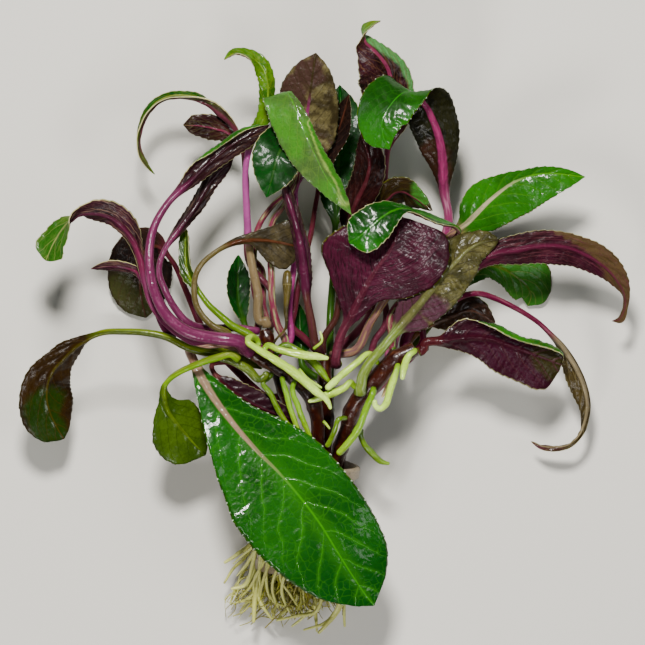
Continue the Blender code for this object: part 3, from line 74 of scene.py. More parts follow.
camera_data = bpy.data.cameras.new("camera")
camera_data.sensor_width = SENSOR
camera_data.lens = SENSOR / (PICTURE_SIDE * MM_PER_PIXEL * MM) * (CAMERA_HEIGHT - MIDDLE_OF_LEAVES)
camera = bpy.data.objects.new("camera", camera_data)
camera.location = (
    (PICTURE_SIDE / 2 - PLANT_CENTRE_PIXEL[0]) * MM_PER_PIXEL * MM,
    (PLANT_CENTRE_PIXEL[1] - PICTURE_SIDE / 2) * MM_PER_PIXEL * MM,
    CAMERA_HEIGHT,
)
bpy.context.scene.collection.objects.link(camera)
bpy.context.scene.camera = camera
print("lens", round(camera_data.lens, 1), "mm")

# %% [markdown]
# ## Reading smooth curves
#
# Everything that grows here follows a route through a few points. A route could be a Blender curve
# object, but a leaf also needs its width, its fold and the way it faces at each point, so plain
# number tables are simpler. One small function reads a smooth value between the rows of any table.

# %% Curves through a few points
def read_curve(keys, places):
    """Values of a smooth curve through keys, rows of (place, number, ...), at the given places."""
    table = np.array(keys, float)
    places = np.atleast_1d(places)
    if len(table) == 1:
        return np.repeat(table[:, 1:], len(places), axis=0)
    at, values = table[:, 0], table[:, 1:]
    slopes = np.gradient(values, at, axis=0)
    places = np.clip(places, at[0], at[-1])
    left = np.clip(np.searchsorted(at, places, side="right") - 1, 0, len(at) - 2)
    span = (at[left + 1] - at[left])[:, None]
    u = (places - at[left])[:, None] / span
    rise = u * u * (3 - 2 * u)
    lead = u * (1 - u) ** 2 * span * slopes[left]
    trail = u * u * (u - 1) * span * slopes[left + 1]
    return values[left] * (1 - rise) + values[left + 1] * rise + lead + trail


def unit(rows):
    return rows / np.linalg.norm(rows, axis=1)[:, None]


def measure_route(route):
    """The route's points with their share of its length in front, and that length."""
    points = np.array(route, float)
    steps = np.linalg.norm(np.diff(points, axis=0), axis=1)
    shares = np.concatenate([[0], np.cumsum(steps)]) / steps.sum()
    return np.column_stack([shares, points]), steps.sum()


def directions(keys, places, step=0.01):
    """Which way the route runs at the given places."""
    ahead = read_curve(keys, np.minimum(places + step, 1))
    behind = read_curve(keys, np.maximum(places - step, 0))
    return unit(ahead - behind)


def smooth_step(values, low, high):
    u = np.clip((values - low) / (high - low), 0, 1)
    return u * u * (3 - 2 * u)


print("curve check:", read_curve([(0, 0), (1, 10)], [0.5])[0])

# %% [markdown]
# ## Wiring a material by hand
#
# A material in Blender is a small network of nodes. Written out in full, each link is a line, and a
# leaf needs about a hundred of them. These helpers make a node and plug it in at once, so that a
# finish reads like a recipe: mix this over that, where this mask says so. Colours are given as the
# numbers from 0 to 255 that a colour picker shows, and turned into the light values that shaders use.

# %% Helpers for finishes
def shade(red, green, blue):
    """A colour picker's numbers as the light values that a shader wants."""
    return tuple(((c / 255 + 0.055) / 1.055) ** 2.4 for c in (red, green, blue))


def plug(tree, socket, value):
    if isinstance(value, bpy.types.NodeSocket):
        tree.links.new(value, socket)
    elif hasattr(value, "__len__") and len(socket.default_value) == 4:
        socket.default_value = (*value, 1)
    else:
        socket.default_value = value


def work(tree, operation, *values):
    """A Math node."""
    node = tree.nodes.new("ShaderNodeMath")
    node.operation = operation
    for socket, value in zip(node.inputs, values):
        plug(tree, socket, value)
    return node.outputs[0]


def times(tree, one, other):
    return work(tree, "MULTIPLY", one, other)


def plus(tree, one, other):
    return work(tree, "ADD", one, other)


def minus(tree, one, other):
    return work(tree, "SUBTRACT", one, other)


def sway(tree, value, size):
    """A value about 0.5 becomes one that swings by half of size to either side of 0."""
    return times(tree, minus(tree, value, 0.5), size)


def between(tree, value, low, high):
    """0 below low, 1 above high and a smooth rise between. High may be the lower one."""
    node = tree.nodes.new("ShaderNodeMapRange")
    node.interpolation_type = "SMOOTHSTEP"
    for socket, number in zip(node.inputs, (value, low, high, 0.0, 1.0)):
        plug(tree, socket, number)
    return node.outputs[0]


def mix(tree, amount, under, over):
    """Colour over painted on colour under, where amount is 1."""
    node = tree.nodes.new("ShaderNodeMix")
    node.data_type = "RGBA"
    plug(tree, node.inputs[0], amount)
    plug(tree, node.inputs[6], under)
    plug(tree, node.inputs[7], over)
    return node.outputs[2]


print("pale green as light values:", [round(c, 3) for c in shade(160, 194, 54)])

# %% Helpers for textures
def stretch(tree, vector, sizes):
    """The vector scaled by sizes along each axis."""
    node = tree.nodes.new("ShaderNodeVectorMath")
    node.operation = "MULTIPLY"
    plug(tree, node.inputs[0], vector)
    plug(tree, node.inputs[1], sizes)
    return node.outputs[0]


def grain(tree, vector, scale, detail=3.0):
    """A Noise texture, about 0.5 on average."""
    node = tree.nodes.new("ShaderNodeTexNoise")
    plug(tree, node.inputs["Vector"], vector)
    plug(tree, node.inputs["Scale"], scale)
    plug(tree, node.inputs["Detail"], detail)
    return node.outputs[0]


def net(tree, vector, scale):
    """How far a point is from the threads of an uneven net."""
    node = tree.nodes.new("ShaderNodeTexVoronoi")
    node.feature = "DISTANCE_TO_EDGE"
    plug(tree, node.inputs["Vector"], vector)
    plug(tree, node.inputs["Scale"], scale)
    return node.outputs["Distance"]


def mesh_values(tree, name):
    """The three numbers that a mesh carries under this name."""
    attribute = tree.nodes.new("ShaderNodeAttribute")
    attribute.attribute_name = name
    split = tree.nodes.new("ShaderNodeSeparateXYZ")
    tree.links.new(attribute.outputs["Vector"], split.inputs[0])
    return attribute.outputs["Vector"], split.outputs


def start_finish(name, roughness, coat=0.0, coat_roughness=0.15, specular=0.5):
    """A material with one Principled shader: its tree, the shader and where a point is on the plant."""
    material = bpy.data.materials.new(name)
    material.use_nodes = True
    tree = material.node_tree
    shader = tree.nodes["Principled BSDF"]
    shader.inputs["Roughness"].default_value = roughness
    shader.inputs["Coat Weight"].default_value = coat
    shader.inputs["Coat Roughness"].default_value = coat_roughness
    shader.inputs["Specular IOR Level"].default_value = specular
    where = tree.nodes.new("ShaderNodeTexCoord").outputs["Object"]
    return material, tree, shader, where


def raise_surface(tree, shader, height, depth, coat_share=0.35):
    """Bump: height is 0 to 1, and depth is what 1 stands for, in metres. A film of water evens it out."""
    for socket, share in (("Normal", 1.0), ("Coat Normal", coat_share)):
        bump = tree.nodes.new("ShaderNodeBump")
        bump.inputs["Strength"].default_value = 1.0
        bump.inputs["Distance"].default_value = depth * share
        plug(tree, bump.inputs["Height"], height)
        plug(tree, shader.inputs[socket], bump.outputs[0])


print("texture helpers ready")

# %% [markdown]
# ## The finish of a leaf
#
# Each face of a leaf has a finish of its own, because the upper one is green and the lower one is
# wine red or olive. Real leaves are never one colour: the blade is mottled, a net of small veins
# shows paler, the side veins and the midrib are paler still, and the margin carries a thin dry line
# with a white dot on each tooth. The mesh tells the shader where it is on the leaf, so that all this
# follows the blade when it curls. `plan` holds millimetres across and along and a number that grows
# by one at each side vein. `zones` holds the share out to the margin, how much of the stalk is left
# and a listed patch. `marks` holds the share along, the teeth's dots and the midrib's place.

# %% The mottled blade
CREAM = (188, 182, 125)
DOT_WHITE = (202, 212, 189)
SHADOW = 0.4


def darker(colour, share):
    return tuple(c * share for c in colour)


def mottled_blade(tree, where, along, patched, look):
    """The blade's own colours: blotches, then the tip and the patch with a ragged border."""
    blotches = grain(tree, where, 1000 / look.mottle_size / 3, 4.0)
    colour = mix(tree, between(tree, blotches, 0.38, 0.64), look.base, look.mottle)
    if look.tip is not None:
        reach = plus(tree, along, sway(tree, blotches, 0.35))
        colour = mix(tree, between(tree, reach, look.tip_from, 1.0), colour, look.tip)
    if look.patch is not None:
        ragged = plus(tree, patched, sway(tree, blotches, 0.9))
        if look.patch_rim is not None:
            colour = mix(tree, between(tree, ragged, 0.15, 0.35), colour, look.patch_rim)
        colour = mix(tree, between(tree, ragged, 0.3, 0.65), colour, look.patch)
    return colour


print("blade colours ready")

# %% [markdown]
# ## Veins without a picture
#
# The smallest veins close into a net, which is what a Voronoi texture's cell borders look like once
# they are bent a little. The side veins can't be a texture of their own, because they have to meet
# the midrib. So the mesh counts them, and wherever the count's fraction is a half there is a vein.

# %% The net and the side veins
THREAD = 0.17
BEND = 1.4


def vein_masks(tree, where, plan, vein_count, edge, look):
    """Distance to the net's threads, the threads, distance to a side vein and the side veins."""
    warp = sway(tree, grain(tree, where, 160.0, 2.0), BEND)
    bent = tree.nodes.new("ShaderNodeVectorMath")
    plug(tree, bent.inputs[0], stretch(tree, plan, (1.0, 1.0, 0.0)))
    tree.links.new(warp, bent.inputs[1])
    from_thread = net(tree, bent.outputs[0], 1 / look.net_size)
    threads = between(tree, from_thread, THREAD / look.net_size, 0.0)
    threads = times(tree, threads, between(tree, grain(tree, where, 110.0, 2.0), 0.3, 0.6))
    counted = plus(tree, vein_count, times(tree, warp, 0.16))
    off = work(tree, "ABSOLUTE", minus(tree, work(tree, "FRACT", counted), 0.5))
    slim = times(tree, look.vein_width, between(tree, edge, 1.6, 0.2))
    side_veins = between(tree, minus(tree, off, slim), 0.02, 0.0)
    side_veins = times(tree, side_veins, between(tree, edge, 1.0, 0.8))
    return from_thread, threads, off, side_veins


def streaked_stalk(tree, plan, along, patched, stalk_left, look):
    """Colours of the midrib and of the stalk, and the mask that says where the stalk is."""
    stalk_grain = grain(tree, stretch(tree, plan, (1.5, 0.12, 0.0)), 1.0, 4.0)
    dark_streaks = times(tree, between(tree, stalk_grain, 0.62, 0.4), look.streaky_rib)
    rib_colour = mix(tree, dark_streaks, look.rib, darker(look.rib, 0.45))
    rib_end = look.rib_end_colour or look.vein
    rib_colour = mix(tree, between(tree, along, *look.rib_fades), rib_colour, rib_end)
    # Lengthwise streaks of a second colour run along the stalk: its own lines, and where that colour is
    # paler than the stalk, also a painted highlight along it.
    streak = look.stalk_streak or look.rib
    stalk_colour = mix(tree, between(tree, stalk_grain, 0.45, 0.7), look.stalk or look.rib, streak)
    if look.painted_stalk:
        stalk_colour = mix(tree, between(tree, patched, 0.25, 0.6), stalk_colour, look.patch)
    return rib_colour, stalk_colour, between(tree, stalk_left, 0.15, 0.85)


print("vein masks ready")

# %% [markdown]
# ## One recipe for every leaf face
#
# The leaves share 36 finishes, which differ only in colours and amounts. So there is one recipe with
# a list of usual values, and a finish names what is special about it. Height goes the same way as
# colour: the blade swells between the threads of the net and sinks at the side veins.

# %% The leaf recipe
USUAL_LOOK = {
    "rib_end_colour": None, "stalk": None, "stalk_streak": None, "patch": None, "patch_rim": None,
    "painted_stalk": False, "tip": None, "tip_from": 0.8, "margin": CREAM, "margin_width": 0.05,
    "mottle_size": 3.0, "veins": 0.6, "vein_width": 0.035, "nets": 0.35, "net_size": 2.2, "glow": 0.0,
    "ridges": 0.0, "wrinkles": 0.0, "crinkle": 1.0, "gloss": 0.35, "wet": 0.5, "rib_width": 1.0,
    "rib_fades": (0.8, 1.0), "streaky_rib": 0.5,
}
COLOURS = (
    "base", "mottle", "vein", "rib", "rib_end_colour", "stalk", "stalk_streak", "patch", "patch_rim",
    "tip", "margin",
)
LEAF_RELIEF = 0.0002
LEAF_SPECULAR = 0.06


def leaf_finish(name, **special):
    """A leaf face. Colours are a picker's numbers, sizes are in millimetres, widths are shares, and
    the other amounts lie mostly between 0 and 1."""
    look = SimpleNamespace(**{**USUAL_LOOK, **special})
    for label in COLOURS:
        if getattr(look, label) is not None:
            setattr(look, label, shade(*getattr(look, label)))
    material, tree, shader, where = start_finish(
        name, look.gloss, coat=0.4 * look.wet, coat_roughness=0.15 - 0.1 * look.wet, specular=LEAF_SPECULAR
    )
    plan, (_, _, vein_count) = mesh_values(tree, "plan")
    _, (edge, stalk_left, patched) = mesh_values(tree, "zones")
    _, (along, dots, rib_place) = mesh_values(tree, "marks")

    colour = mottled_blade(tree, where, along, patched, look)
    shadow = darker(look.mottle, SHADOW)
    fine = grain(tree, where, 1600.0, 3.0)
    colour = mix(tree, times(tree, between(tree, fine, 0.45, 0.75), 0.35), colour, shadow)
    from_thread, threads, off, side_veins = vein_masks(tree, where, plan, vein_count, edge, look)
    if look.glow:
        beside = work(tree, "MAXIMUM", between(tree, off, 0.2, 0.0), between(tree, edge, 0.3, 0.0))
        beside = times(tree, beside, between(tree, edge, 0.95, 0.4))
        colour = mix(tree, times(tree, beside, look.glow), colour, look.vein)
    streaks = grain(tree, stretch(tree, plan, (2.6, 0.10, 0.0)), 1.0, 3.0)
    # The valleys between the ridges and the creases of the wrinkles get the shadow colour: painted shade.
    valleys = times(tree, between(tree, streaks, 0.46, 0.32), look.ridges)
    wrinkle = grain(tree, stretch(tree, plan, (0.45, 0.05, 9.0)), 1.0, 3.0)
    if look.wrinkles:
        creases = times(tree, between(tree, wrinkle, 0.48, 0.34), look.wrinkles)
        valleys = work(tree, "MAXIMUM", valleys, creases)
    colour = mix(tree, times(tree, valleys, 0.8), colour, shadow)
    pale = work(tree, "MAXIMUM", times(tree, side_veins, look.veins), times(tree, threads, look.nets))
    pale = work(tree, "MAXIMUM", pale, times(tree, between(tree, streaks, 0.52, 0.66), look.ridges))
    colour = mix(tree, pale, colour, look.vein)

    rib_colour, stalk_colour, keep = streaked_stalk(tree, plan, along, patched, stalk_left, look)
    beside_rib = work(tree, "ABSOLUTE", rib_place)
    rib_mask = between(tree, beside_rib, 1.15 * look.rib_width, 0.7 * look.rib_width)
    colour = mix(tree, rib_mask, colour, rib_colour)
    colour = mix(tree, keep, colour, stalk_colour)
    on_blade = minus(tree, 1.0, keep)
    rim = between(tree, edge, 1 - look.margin_width, 1 - look.margin_width * 0.3)
    colour = mix(tree, times(tree, times(tree, rim, on_blade), 0.75), colour, look.margin)
    colour = mix(tree, times(tree, between(tree, dots, 0.45, 0.8), on_blade), colour, shade(*DOT_WHITE))
    plug(tree, shader.inputs["Base Color"], colour)

    height = times(tree, grain(tree, where, 620.0, 4.0), 0.9 * look.crinkle)
    swollen = between(tree, from_thread, 0.0, 0.35)
    height = plus(tree, height, times(tree, swollen, 0.35 * look.crinkle))
    height = minus(tree, height, times(tree, side_veins, 0.35))
    height = plus(tree, height, times(tree, streaks, 1.2 * look.ridges + 0.25))
    if look.wrinkles:
        height = plus(tree, height, times(tree, wrinkle, 1.6 * look.wrinkles))
    raise_surface(tree, shader, height, LEAF_RELIEF, 0.5)
    plug(tree, shader.inputs["Roughness"], plus(tree, times(tree, fine, 0.25), look.gloss - 0.12))
    print("finish", name)
    return material


print("colours that a leaf finish can name:", len(COLOURS))

# %% [markdown]
# ## From rings to a piece
#
# The rings become a mesh in one step, with the first ring closed flat, the last one drawn to a
# point, and the two finishes on their own faces. Then the piece is tied to the plant: it rides on the
# plant's body and stands for the solid of the same name, which is hidden.

# %% Skins and pieces
def make_skin(name, shells, finishes):
    """One mesh of closed shells. A shell has rings of points, a tip, the number of the ring's face from
    which the second finish starts, and tables of values for its points."""
    vertices, faces, kinds = [], [], []
    labels = list(shells[0]["values"])
    tables = {label: [] for label in labels}
    base = 0
    for shell in shells:
        points, split = shell["points"], shell["split"]
        rows, count = points.shape[:2]
        index = base + np.arange(rows * count).reshape(rows, count)
        after = np.roll(index, -1, axis=1)
        quads = np.stack([index[:-1], index[1:], after[1:], after[:-1]], axis=-1).reshape(-1, 4)
        tip_index = base + rows * count
        faces += [tuple(q) for q in quads.tolist()]
        faces += [(a, tip_index, b) for a, b in zip(index[-1].tolist(), after[-1].tolist())]
        faces.append(tuple(index[0].tolist()))
        below = (np.arange(count) >= split).astype(int)
        kinds += np.tile(below, rows).tolist() + [0]
        vertices += [points.reshape(-1, 3), [shell["tip"]]]
        for label in labels:
            table = shell["values"][label]
            tables[label] += [table.reshape(-1, 3), table[-1:, count // 4]]
        base += rows * count + 1
    mesh = bpy.data.meshes.new(f"{name}_skin")
    mesh.from_pydata((np.vstack(vertices) * MM).tolist(), [], faces)
    for finish in finishes:
        mesh.materials.append(finish)
    mesh.polygons.foreach_set("material_index", np.array(kinds, np.int32))
    for label in labels:
        attribute = mesh.attributes.new(label, "FLOAT_VECTOR", "POINT")
        attribute.data.foreach_set("vector", np.vstack(tables[label]).astype(np.float32).ravel())
    mesh.shade_smooth()
    piece = bpy.data.objects.new(f"{name}_skin", mesh)
    bpy.context.scene.collection.objects.link(piece)
    return piece


def settle(piece, nodes):
    """Ties a piece to the plant's body, in place of its solids."""
    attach(piece, "root")
    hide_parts(*nodes)
    print(f"{piece.name}: {len(piece.data.polygons)} faces")
    return piece


print("skins ready")

# %% [markdown]
# ## The section of a blade
#
# A leaf could be a flat plane bent by a modifier, but its stalk is round and its blade is thin, and
# the two flow into each other. So the skin is lofted: at each place along the route there is a ring
# of points, which is a circle on the stalk and a long flat loop on the blade. Each half of the loop
# starts at the midrib, can fold up and can roll over at the margin.

# %% The half of a section
SHARES = np.array([0, 0.06, 0.13, 0.22, 0.33, 0.45, 0.58, 0.71, 0.83, 0.93, 1])
CUTS = len(SHARES) - 1
LEAF_THICKNESS = 0.65
STALK_TO_BLADE = 0.12


def half_blade(width, fold, curl):
    """How far out and how high the points of a half blade lie, and which way its skin turns there."""
    middles = (SHARES[1:] + SHARES[:-1]) / 2
    angles = np.radians(fold[:, None] + curl[:, None] * middles**2)
    steps = np.diff(SHARES) * width[:, None]
    zero = np.zeros((len(width), 1))
    out = np.hstack([zero, np.cumsum(np.cos(angles) * steps, axis=1)])
    high = np.hstack([zero, np.cumsum(np.sin(angles) * steps, axis=1)])
    padded = np.hstack([-angles[:, :1], angles, angles[:, -1:]])
    return out, high, (padded[:, 1:] + padded[:, :-1]) / 2


def both_halves(keys, places):
    """Values for the right and left half; a single value stands for both."""
    values = read_curve(keys, places)
    return values if values.shape[1] == 2 else np.repeat(values, 2, axis=1)


def wobble(across, along, size, seed):
    """Smooth noise over a face, one value for each point of two equal tables."""
    spots = zip(across.ravel(), along.ravel())
    flat = [noise.noise(Vector((a / size, b / size, seed))) for a, b in spots]
    return np.array(flat).reshape(across.shape)


print("points round a leaf:", 4 * CUTS)

# %% [markdown]
# ## What makes a blade look alive
#
# A smooth loft looks like plastic. On the real leaf, teeth stand along the margin, side veins press
# into the upper face and stand out below, the blade swells between them, and slow waves lift the
# margin. All of it is worked out here, for one half of the blade at a time, as heights over the
# smooth section, and with it what the shader has to know about each point.

# %% Teeth, veins and waves
TOOTH_DEPTH = 0.4
VEIN_LINE = 0.45
USUAL_LEAF = {
    "vein_gap": 5.0, "vein_slope": 1.0, "vein_bow": 0.6, "vein_relief": 0.16, "tooth_gap": 2.6,
    "wave": 0.5, "wave_length": 15.0, "pucker": 0.35, "pucker_size": 5.0, "rib_depth": 1.5,
    "rib_end": 1.0, "patches": (), "seed": 1,
}


def half_relief(side, spine, width, fold, curl, detail):
    """The upper and lower skin of one half, (out, high) tables, and its notes for the shader."""
    places, length, foot, blade, rib_size = spine
    sign = 1 if side == 0 else -1
    along_mm = np.repeat(places[:, None] * length, CUTS + 1, axis=1)
    tooth = np.mod(places * length / detail.tooth_gap + 0.5 * side, 1)
    toothed = width + TOOTH_DEPTH * (tooth**1.3 - 0.5) * blade * smooth_step(width, 1.0, 3.0)
    out, high, turn = half_blade(toothed, fold, curl)
    across = SHARES * width[:, None]
    room = np.maximum(width, 1)[:, None]

    count = along_mm - detail.vein_slope * across - detail.vein_bow * across**2 / room
    count = count / detail.vein_gap + 0.13 * sign * SHARES
    count = count + 0.22 * wobble(sign * across, along_mm, 9.0, detail.seed + 40)
    spread = math.hypot(1, detail.vein_slope)
    line = np.exp(-(((np.mod(count, 1) - 0.5) * detail.vein_gap / spread / VEIN_LINE) ** 2))
    line = line * smooth_step(SHARES, 1.0, 0.7) * blade[:, None]

    phase = 2 * math.pi * along_mm / detail.wave_length + 2.1 * side + detail.seed
    swell = np.sin(phase) * detail.wave * SHARES**2 * smooth_step(width, 2.0, 7.0)[:, None]
    crumple = wobble(sign * across, along_mm, detail.pucker_size, detail.seed)
    crumple = crumple * detail.pucker * np.minimum(SHARES * 4, 1)
    quilt = detail.vein_relief * 0.6 * (1 - 2 * line) * np.minimum(SHARES * 5, 1)
    lift = (swell + crumple + quilt) * blade[:, None]

    rib = np.exp(-((across / (1.1 * rib_size[:, None])) ** 2))
    thick = LEAF_THICKNESS * (1 - 0.65 * SHARES**3) * np.minimum(width / 2.5, 1)[:, None]
    deep = thick + detail.rib_depth * rib_size[:, None] * rib + detail.vein_relief * line
    top = lift - detail.vein_relief * 0.35 * line - 0.18 * rib
    under = lift - deep
    skins = [(out - np.sin(turn) * h, high + np.cos(turn) * h) for h in (top, under)]

    patch = np.zeros_like(across)
    for at, aside, reach in detail.patches:
        past = (places[:, None] - foot - at * (1 - foot)) * length
        away = np.hypot((sign * SHARES - aside) * room, past)
        patch = np.maximum(patch, np.exp(-((away / reach) ** 2)))
    dots = np.exp(-(((tooth - 0.85) / 0.16) ** 2))[:, None] * (SHARES > 0.95)
    dots = dots * smooth_step(width, 1.2, 2.5)[:, None]
    return skins, (sign * across, along_mm, count, patch, dots, sign * across / (1.2 * rib_size[:, None]))


print("usual millimetres between side veins:", USUAL_LEAF["vein_gap"])

# %% [markdown]
# ## Growing a leaf
#
# One call grows a whole leaf with its stalk. Its tables say where the midrib runs, how wide the two
# halves are, which way the upper face looks, how the halves fold and how their margins curl. The
# stalk's hidden foot winds in to the stem it grew from, and the tip closes in a round point.

# %% Places and rings
TIP_END = 0.997


def leaf_places(start, length, step):
    """Places along a leaf: wide apart on the stalk and close together on the blade."""
    on_stalk = max(4, int(start * length / (2.2 * step)))
    on_blade = max(12, int((1 - start) * length / step))
    stalk_places = np.linspace(0, start, on_stalk, endpoint=False)
    return np.concatenate([stalk_places, np.linspace(start, TIP_END, on_blade)])


def leaf_ring(halves, radii, blade):
    """The rings of all places, top from right to left and back below, as (out, high, side, cut)."""
    turns = np.radians(np.linspace(0, 90, CUTS + 1))
    share = blade[:, None]
    ring = []
    for face, side, cuts in (
        (0, 0, range(CUTS, -1, -1)), (0, 1, range(1, CUTS + 1)),
        (1, 1, range(CUTS - 1, -1, -1)), (1, 0, range(1, CUTS)),
    ):
        out, high = halves[side][0][face]
        sign = 1 if side == 0 else -1
        up = 1 if face == 0 else -1
        out = sign * (out * share + np.sin(turns) * radii[:, None] * (1 - share))
        high = high * share + up * np.cos(turns) * radii[:, None] * (1 - share)
        ring += [(out[:, cut], high[:, cut], side, cut) for cut in cuts]
    return ring


print("rings on a leaf of 100 mm:", len(leaf_places(0.5, 100, 0.5)))

# %% Grow one leaf
TIP_ROUND = 0.03


def grow_leaf(name, face, back, slot, stalk, route, widths, faces, folds=((0, 0),), curls=((0, 0),),
              foot=0.0, step=0.5, **special):
    """A leaf with its stalk: face is the upper finish and back the lower one. Its foot is the hidden
    share that winds in to the stem, and the stalk's numbers are its radius at the foot and at the tip.
    Patches are (share past the foot, share out, radius)."""
    detail = SimpleNamespace(**{**USUAL_LEAF, **special})
    keys, length = measure_route(route)
    start = widths[0][0]
    places = leaf_places(start, length, step)
    centres = read_curve(keys, places)
    ahead = directions(keys, places)
    normals = read_curve(faces, places)
    normals = unit(normals - ahead * np.sum(normals * ahead, axis=1)[:, None])
    sides = np.cross(ahead, normals)
    radii = np.interp(places, [foot, 1], stalk)
    blade = smooth_step(places, start, start + STALK_TO_BLADE * (1 - foot))
    rib_size = radii * np.interp((places - start) / (1 - start), [0, detail.rib_end, 1], [1, 0.35, 0.3])
    half_widths = np.maximum(both_halves(widths, places), radii[:, None])
    past_round = np.clip(places - (1 - TIP_ROUND), 0, 1) / TIP_ROUND
    half_widths = half_widths * np.sqrt(np.clip(1 - past_round**2, 0.01, 1))[:, None]
    fold = both_halves(folds, places)
    curl = both_halves(curls, places)
    spine = (places, length, foot, blade, rib_size)
    halves = [
        half_relief(side, spine, half_widths[:, side], fold[:, side], curl[:, side], detail)
        for side in (0, 1)
    ]

    ring = leaf_ring(halves, radii, blade)
    out = np.stack([part[0] for part in ring], axis=1)
    high = np.stack([part[1] for part in ring], axis=1)
    points = centres[:, None] + out[:, :, None] * sides[:, None] + high[:, :, None] * normals[:, None]
    rows, round_count = out.shape

    def gather(index):
        return np.stack([halves[side][1][index][:, cut] for _, _, side, cut in ring], axis=1)

    edge = np.repeat(np.array([SHARES[cut] for _, _, _, cut in ring])[None], rows, axis=0)
    stalk_left = np.repeat(1 - blade[:, None], round_count, axis=1)
    along = np.repeat(((places - start) / (1 - start))[:, None], round_count, axis=1)
    values = {
        "plan": np.stack([gather(0), gather(1), gather(2)], axis=2),
        "zones": np.stack([edge, stalk_left, gather(3)], axis=2),
        "marks": np.stack([along, gather(4), gather(5)], axis=2),
    }
    shell = {"points": points, "tip": read_curve(keys, 1.0)[0], "split": 2 * CUTS, "values": values}
    return settle(make_skin(name, [shell], [face, back]), [name])


print("leaf grower ready")

# %% [markdown]
# ## Stems and roots
#
# Stems and roots are round, so a tube round a route would do, and a curve object with a bevel makes
# one. A tube of its own points can also swell where a leaf has dropped, end in a blunt round tip and
# be a little uneven, as every grown thing is.

# %% Grow a tube
CAP_STEPS = np.array([0.02, 0.12, 0.3, 0.55, 0.8])


def tube_shell(
    route, radii, sides=14, step=1.0, uneven=0.05, uneven_size=3.0, swellings=(), blunt=(0, 1), seed=1
):
    """A closed round shell along a route. Swellings are (share along, height, length in millimetres)."""
    keys, length = measure_route(route)
    reach = read_curve(radii, [0.0, 1.0])[:, 0]
    rounding = [blunt[0] * reach[0] / length, blunt[1] * reach[1] / length]
    places = np.linspace(0, 1, max(5, int(length / step)))
    places = np.concatenate([CAP_STEPS * rounding[0], places, 1 - CAP_STEPS * rounding[1]])
    places = np.unique(np.round(places, 6))
    if blunt[0]:
        places = places[1:]
    if blunt[1]:
        places = places[:-1]
    centres = read_curve(keys, places)
    ahead = directions(keys, places, 0.02)
    radius = read_curve(radii, places)[:, 0]
    for at, height, reach_mm in swellings:
        radius = radius + height * np.exp(-(((places - at) * length / reach_mm) ** 2))
    for part, inward in ((rounding[0], places), (rounding[1], 1 - places)):
        if part > 0:
            radius = radius * np.sqrt(np.clip(1 - np.clip(1 - inward / part, 0, 1) ** 2, 0.01, 1))
    turns = np.arange(sides) * 2 * math.pi / sides
    across = np.cross(ahead[0], UP if abs(ahead[0][2]) < 0.9 else (1, 0, 0))
    rings = []
    for centre, way, size, place in zip(centres, ahead, radius, places):
        across = across - way * np.dot(across, way)
        across = across / np.linalg.norm(across)
        over = np.cross(way, across)
        skin = np.outer(np.cos(turns), across) + np.outer(np.sin(turns), over)
        if uneven:
            shift = np.array((seed, 0, place * length / uneven_size))
            bumps = [noise.noise(Vector(1.3 * spoke + shift)) for spoke in skin]
            skin = skin * (1 + uneven * 2 * np.array(bumps))[:, None]
        rings.append(centre + size * skin)
    points = np.array(rings)[:, ::-1]
    around = np.repeat((turns[::-1] / (2 * math.pi))[None], len(places), axis=0)
    shares = np.repeat(places[:, None], sides, axis=1)
    marks = np.stack([shares, around, np.repeat((places * length)[:, None], sides, axis=1)], axis=2)
    tip = read_curve(keys, 1.0)[0]
    return {"points": points, "tip": tip, "split": sides + 1, "values": {"marks": marks}}


THIN_RADII = [(0, 0.55), (1, 0.35)]


def grow_tube(name, finish, slot, thin=(), **shape):
    """One tube, and thin side roots along the routes in thin."""
    shells = [tube_shell(**shape)]
    shells += [tube_shell(route, THIN_RADII, sides=8, step=0.6, uneven=0.1) for route in thin]
    return settle(make_skin(name, shells, [finish]), [name])


print("tube grower ready")

# %% [markdown]
# ## The big leaf in front
#
# The largest leaf hangs over the pot with its green face up. It is still wet, so it has a thin clear
# coat over a softly crinkled skin, which breaks the light into small white glints. Its midrib is a
# flat, pinkish beige band that turns green towards the tip, with a wide net of paler veins beside it.
# A smaller leaf, wine red below, comes out from behind its base.

# %% Finishes: the big front leaf
FRONT_GREEN = leaf_finish(
    "front_green", base=(15, 71, 2), mottle=(10, 54, 2), vein=(40, 108, 4), rib=(128, 106, 84),
    stalk=(132, 100, 82), stalk_streak=(92, 58, 48), tip=(4, 54, 3), margin=(58, 97, 17), tip_from=0.55,
    nets=0.32, net_size=2.8, veins=0.5, vein_width=0.018, mottle_size=6.0, gloss=0.3, wet=1.0,
    crinkle=1.1, margin_width=0.03, rib_fades=(0.3, 0.58), glow=0.3,
)
WINE_BACK = leaf_finish(
    "wine_back", base=(49, 18, 21), mottle=(26, 4, 9), vein=(75, 72, 39), rib=(98, 33, 53),
    stalk_streak=(146, 164, 103), ridges=0.35, mottle_size=4.0, wet=0.3,
)
DARK_WINE_BACK = leaf_finish(
    "dark_wine_back", base=(34, 9, 18), mottle=(22, 5, 11), vein=(39, 4, 16), rib=(50, 3, 18),
    stalk=(78, 32, 35), stalk_streak=(109, 73, 65), nets=0.5, net_size=1.8, crinkle=0.5, wet=0.15,
    gloss=0.45,
)
GREEN_FACE = leaf_finish(
    "green_face", base=(30, 94, 4), mottle=(18, 66, 4), vein=(72, 81, 3), rib=(104, 105, 32),
    stalk=(81, 99, 3), stalk_streak=(105, 117, 4), mottle_size=4.0,
)

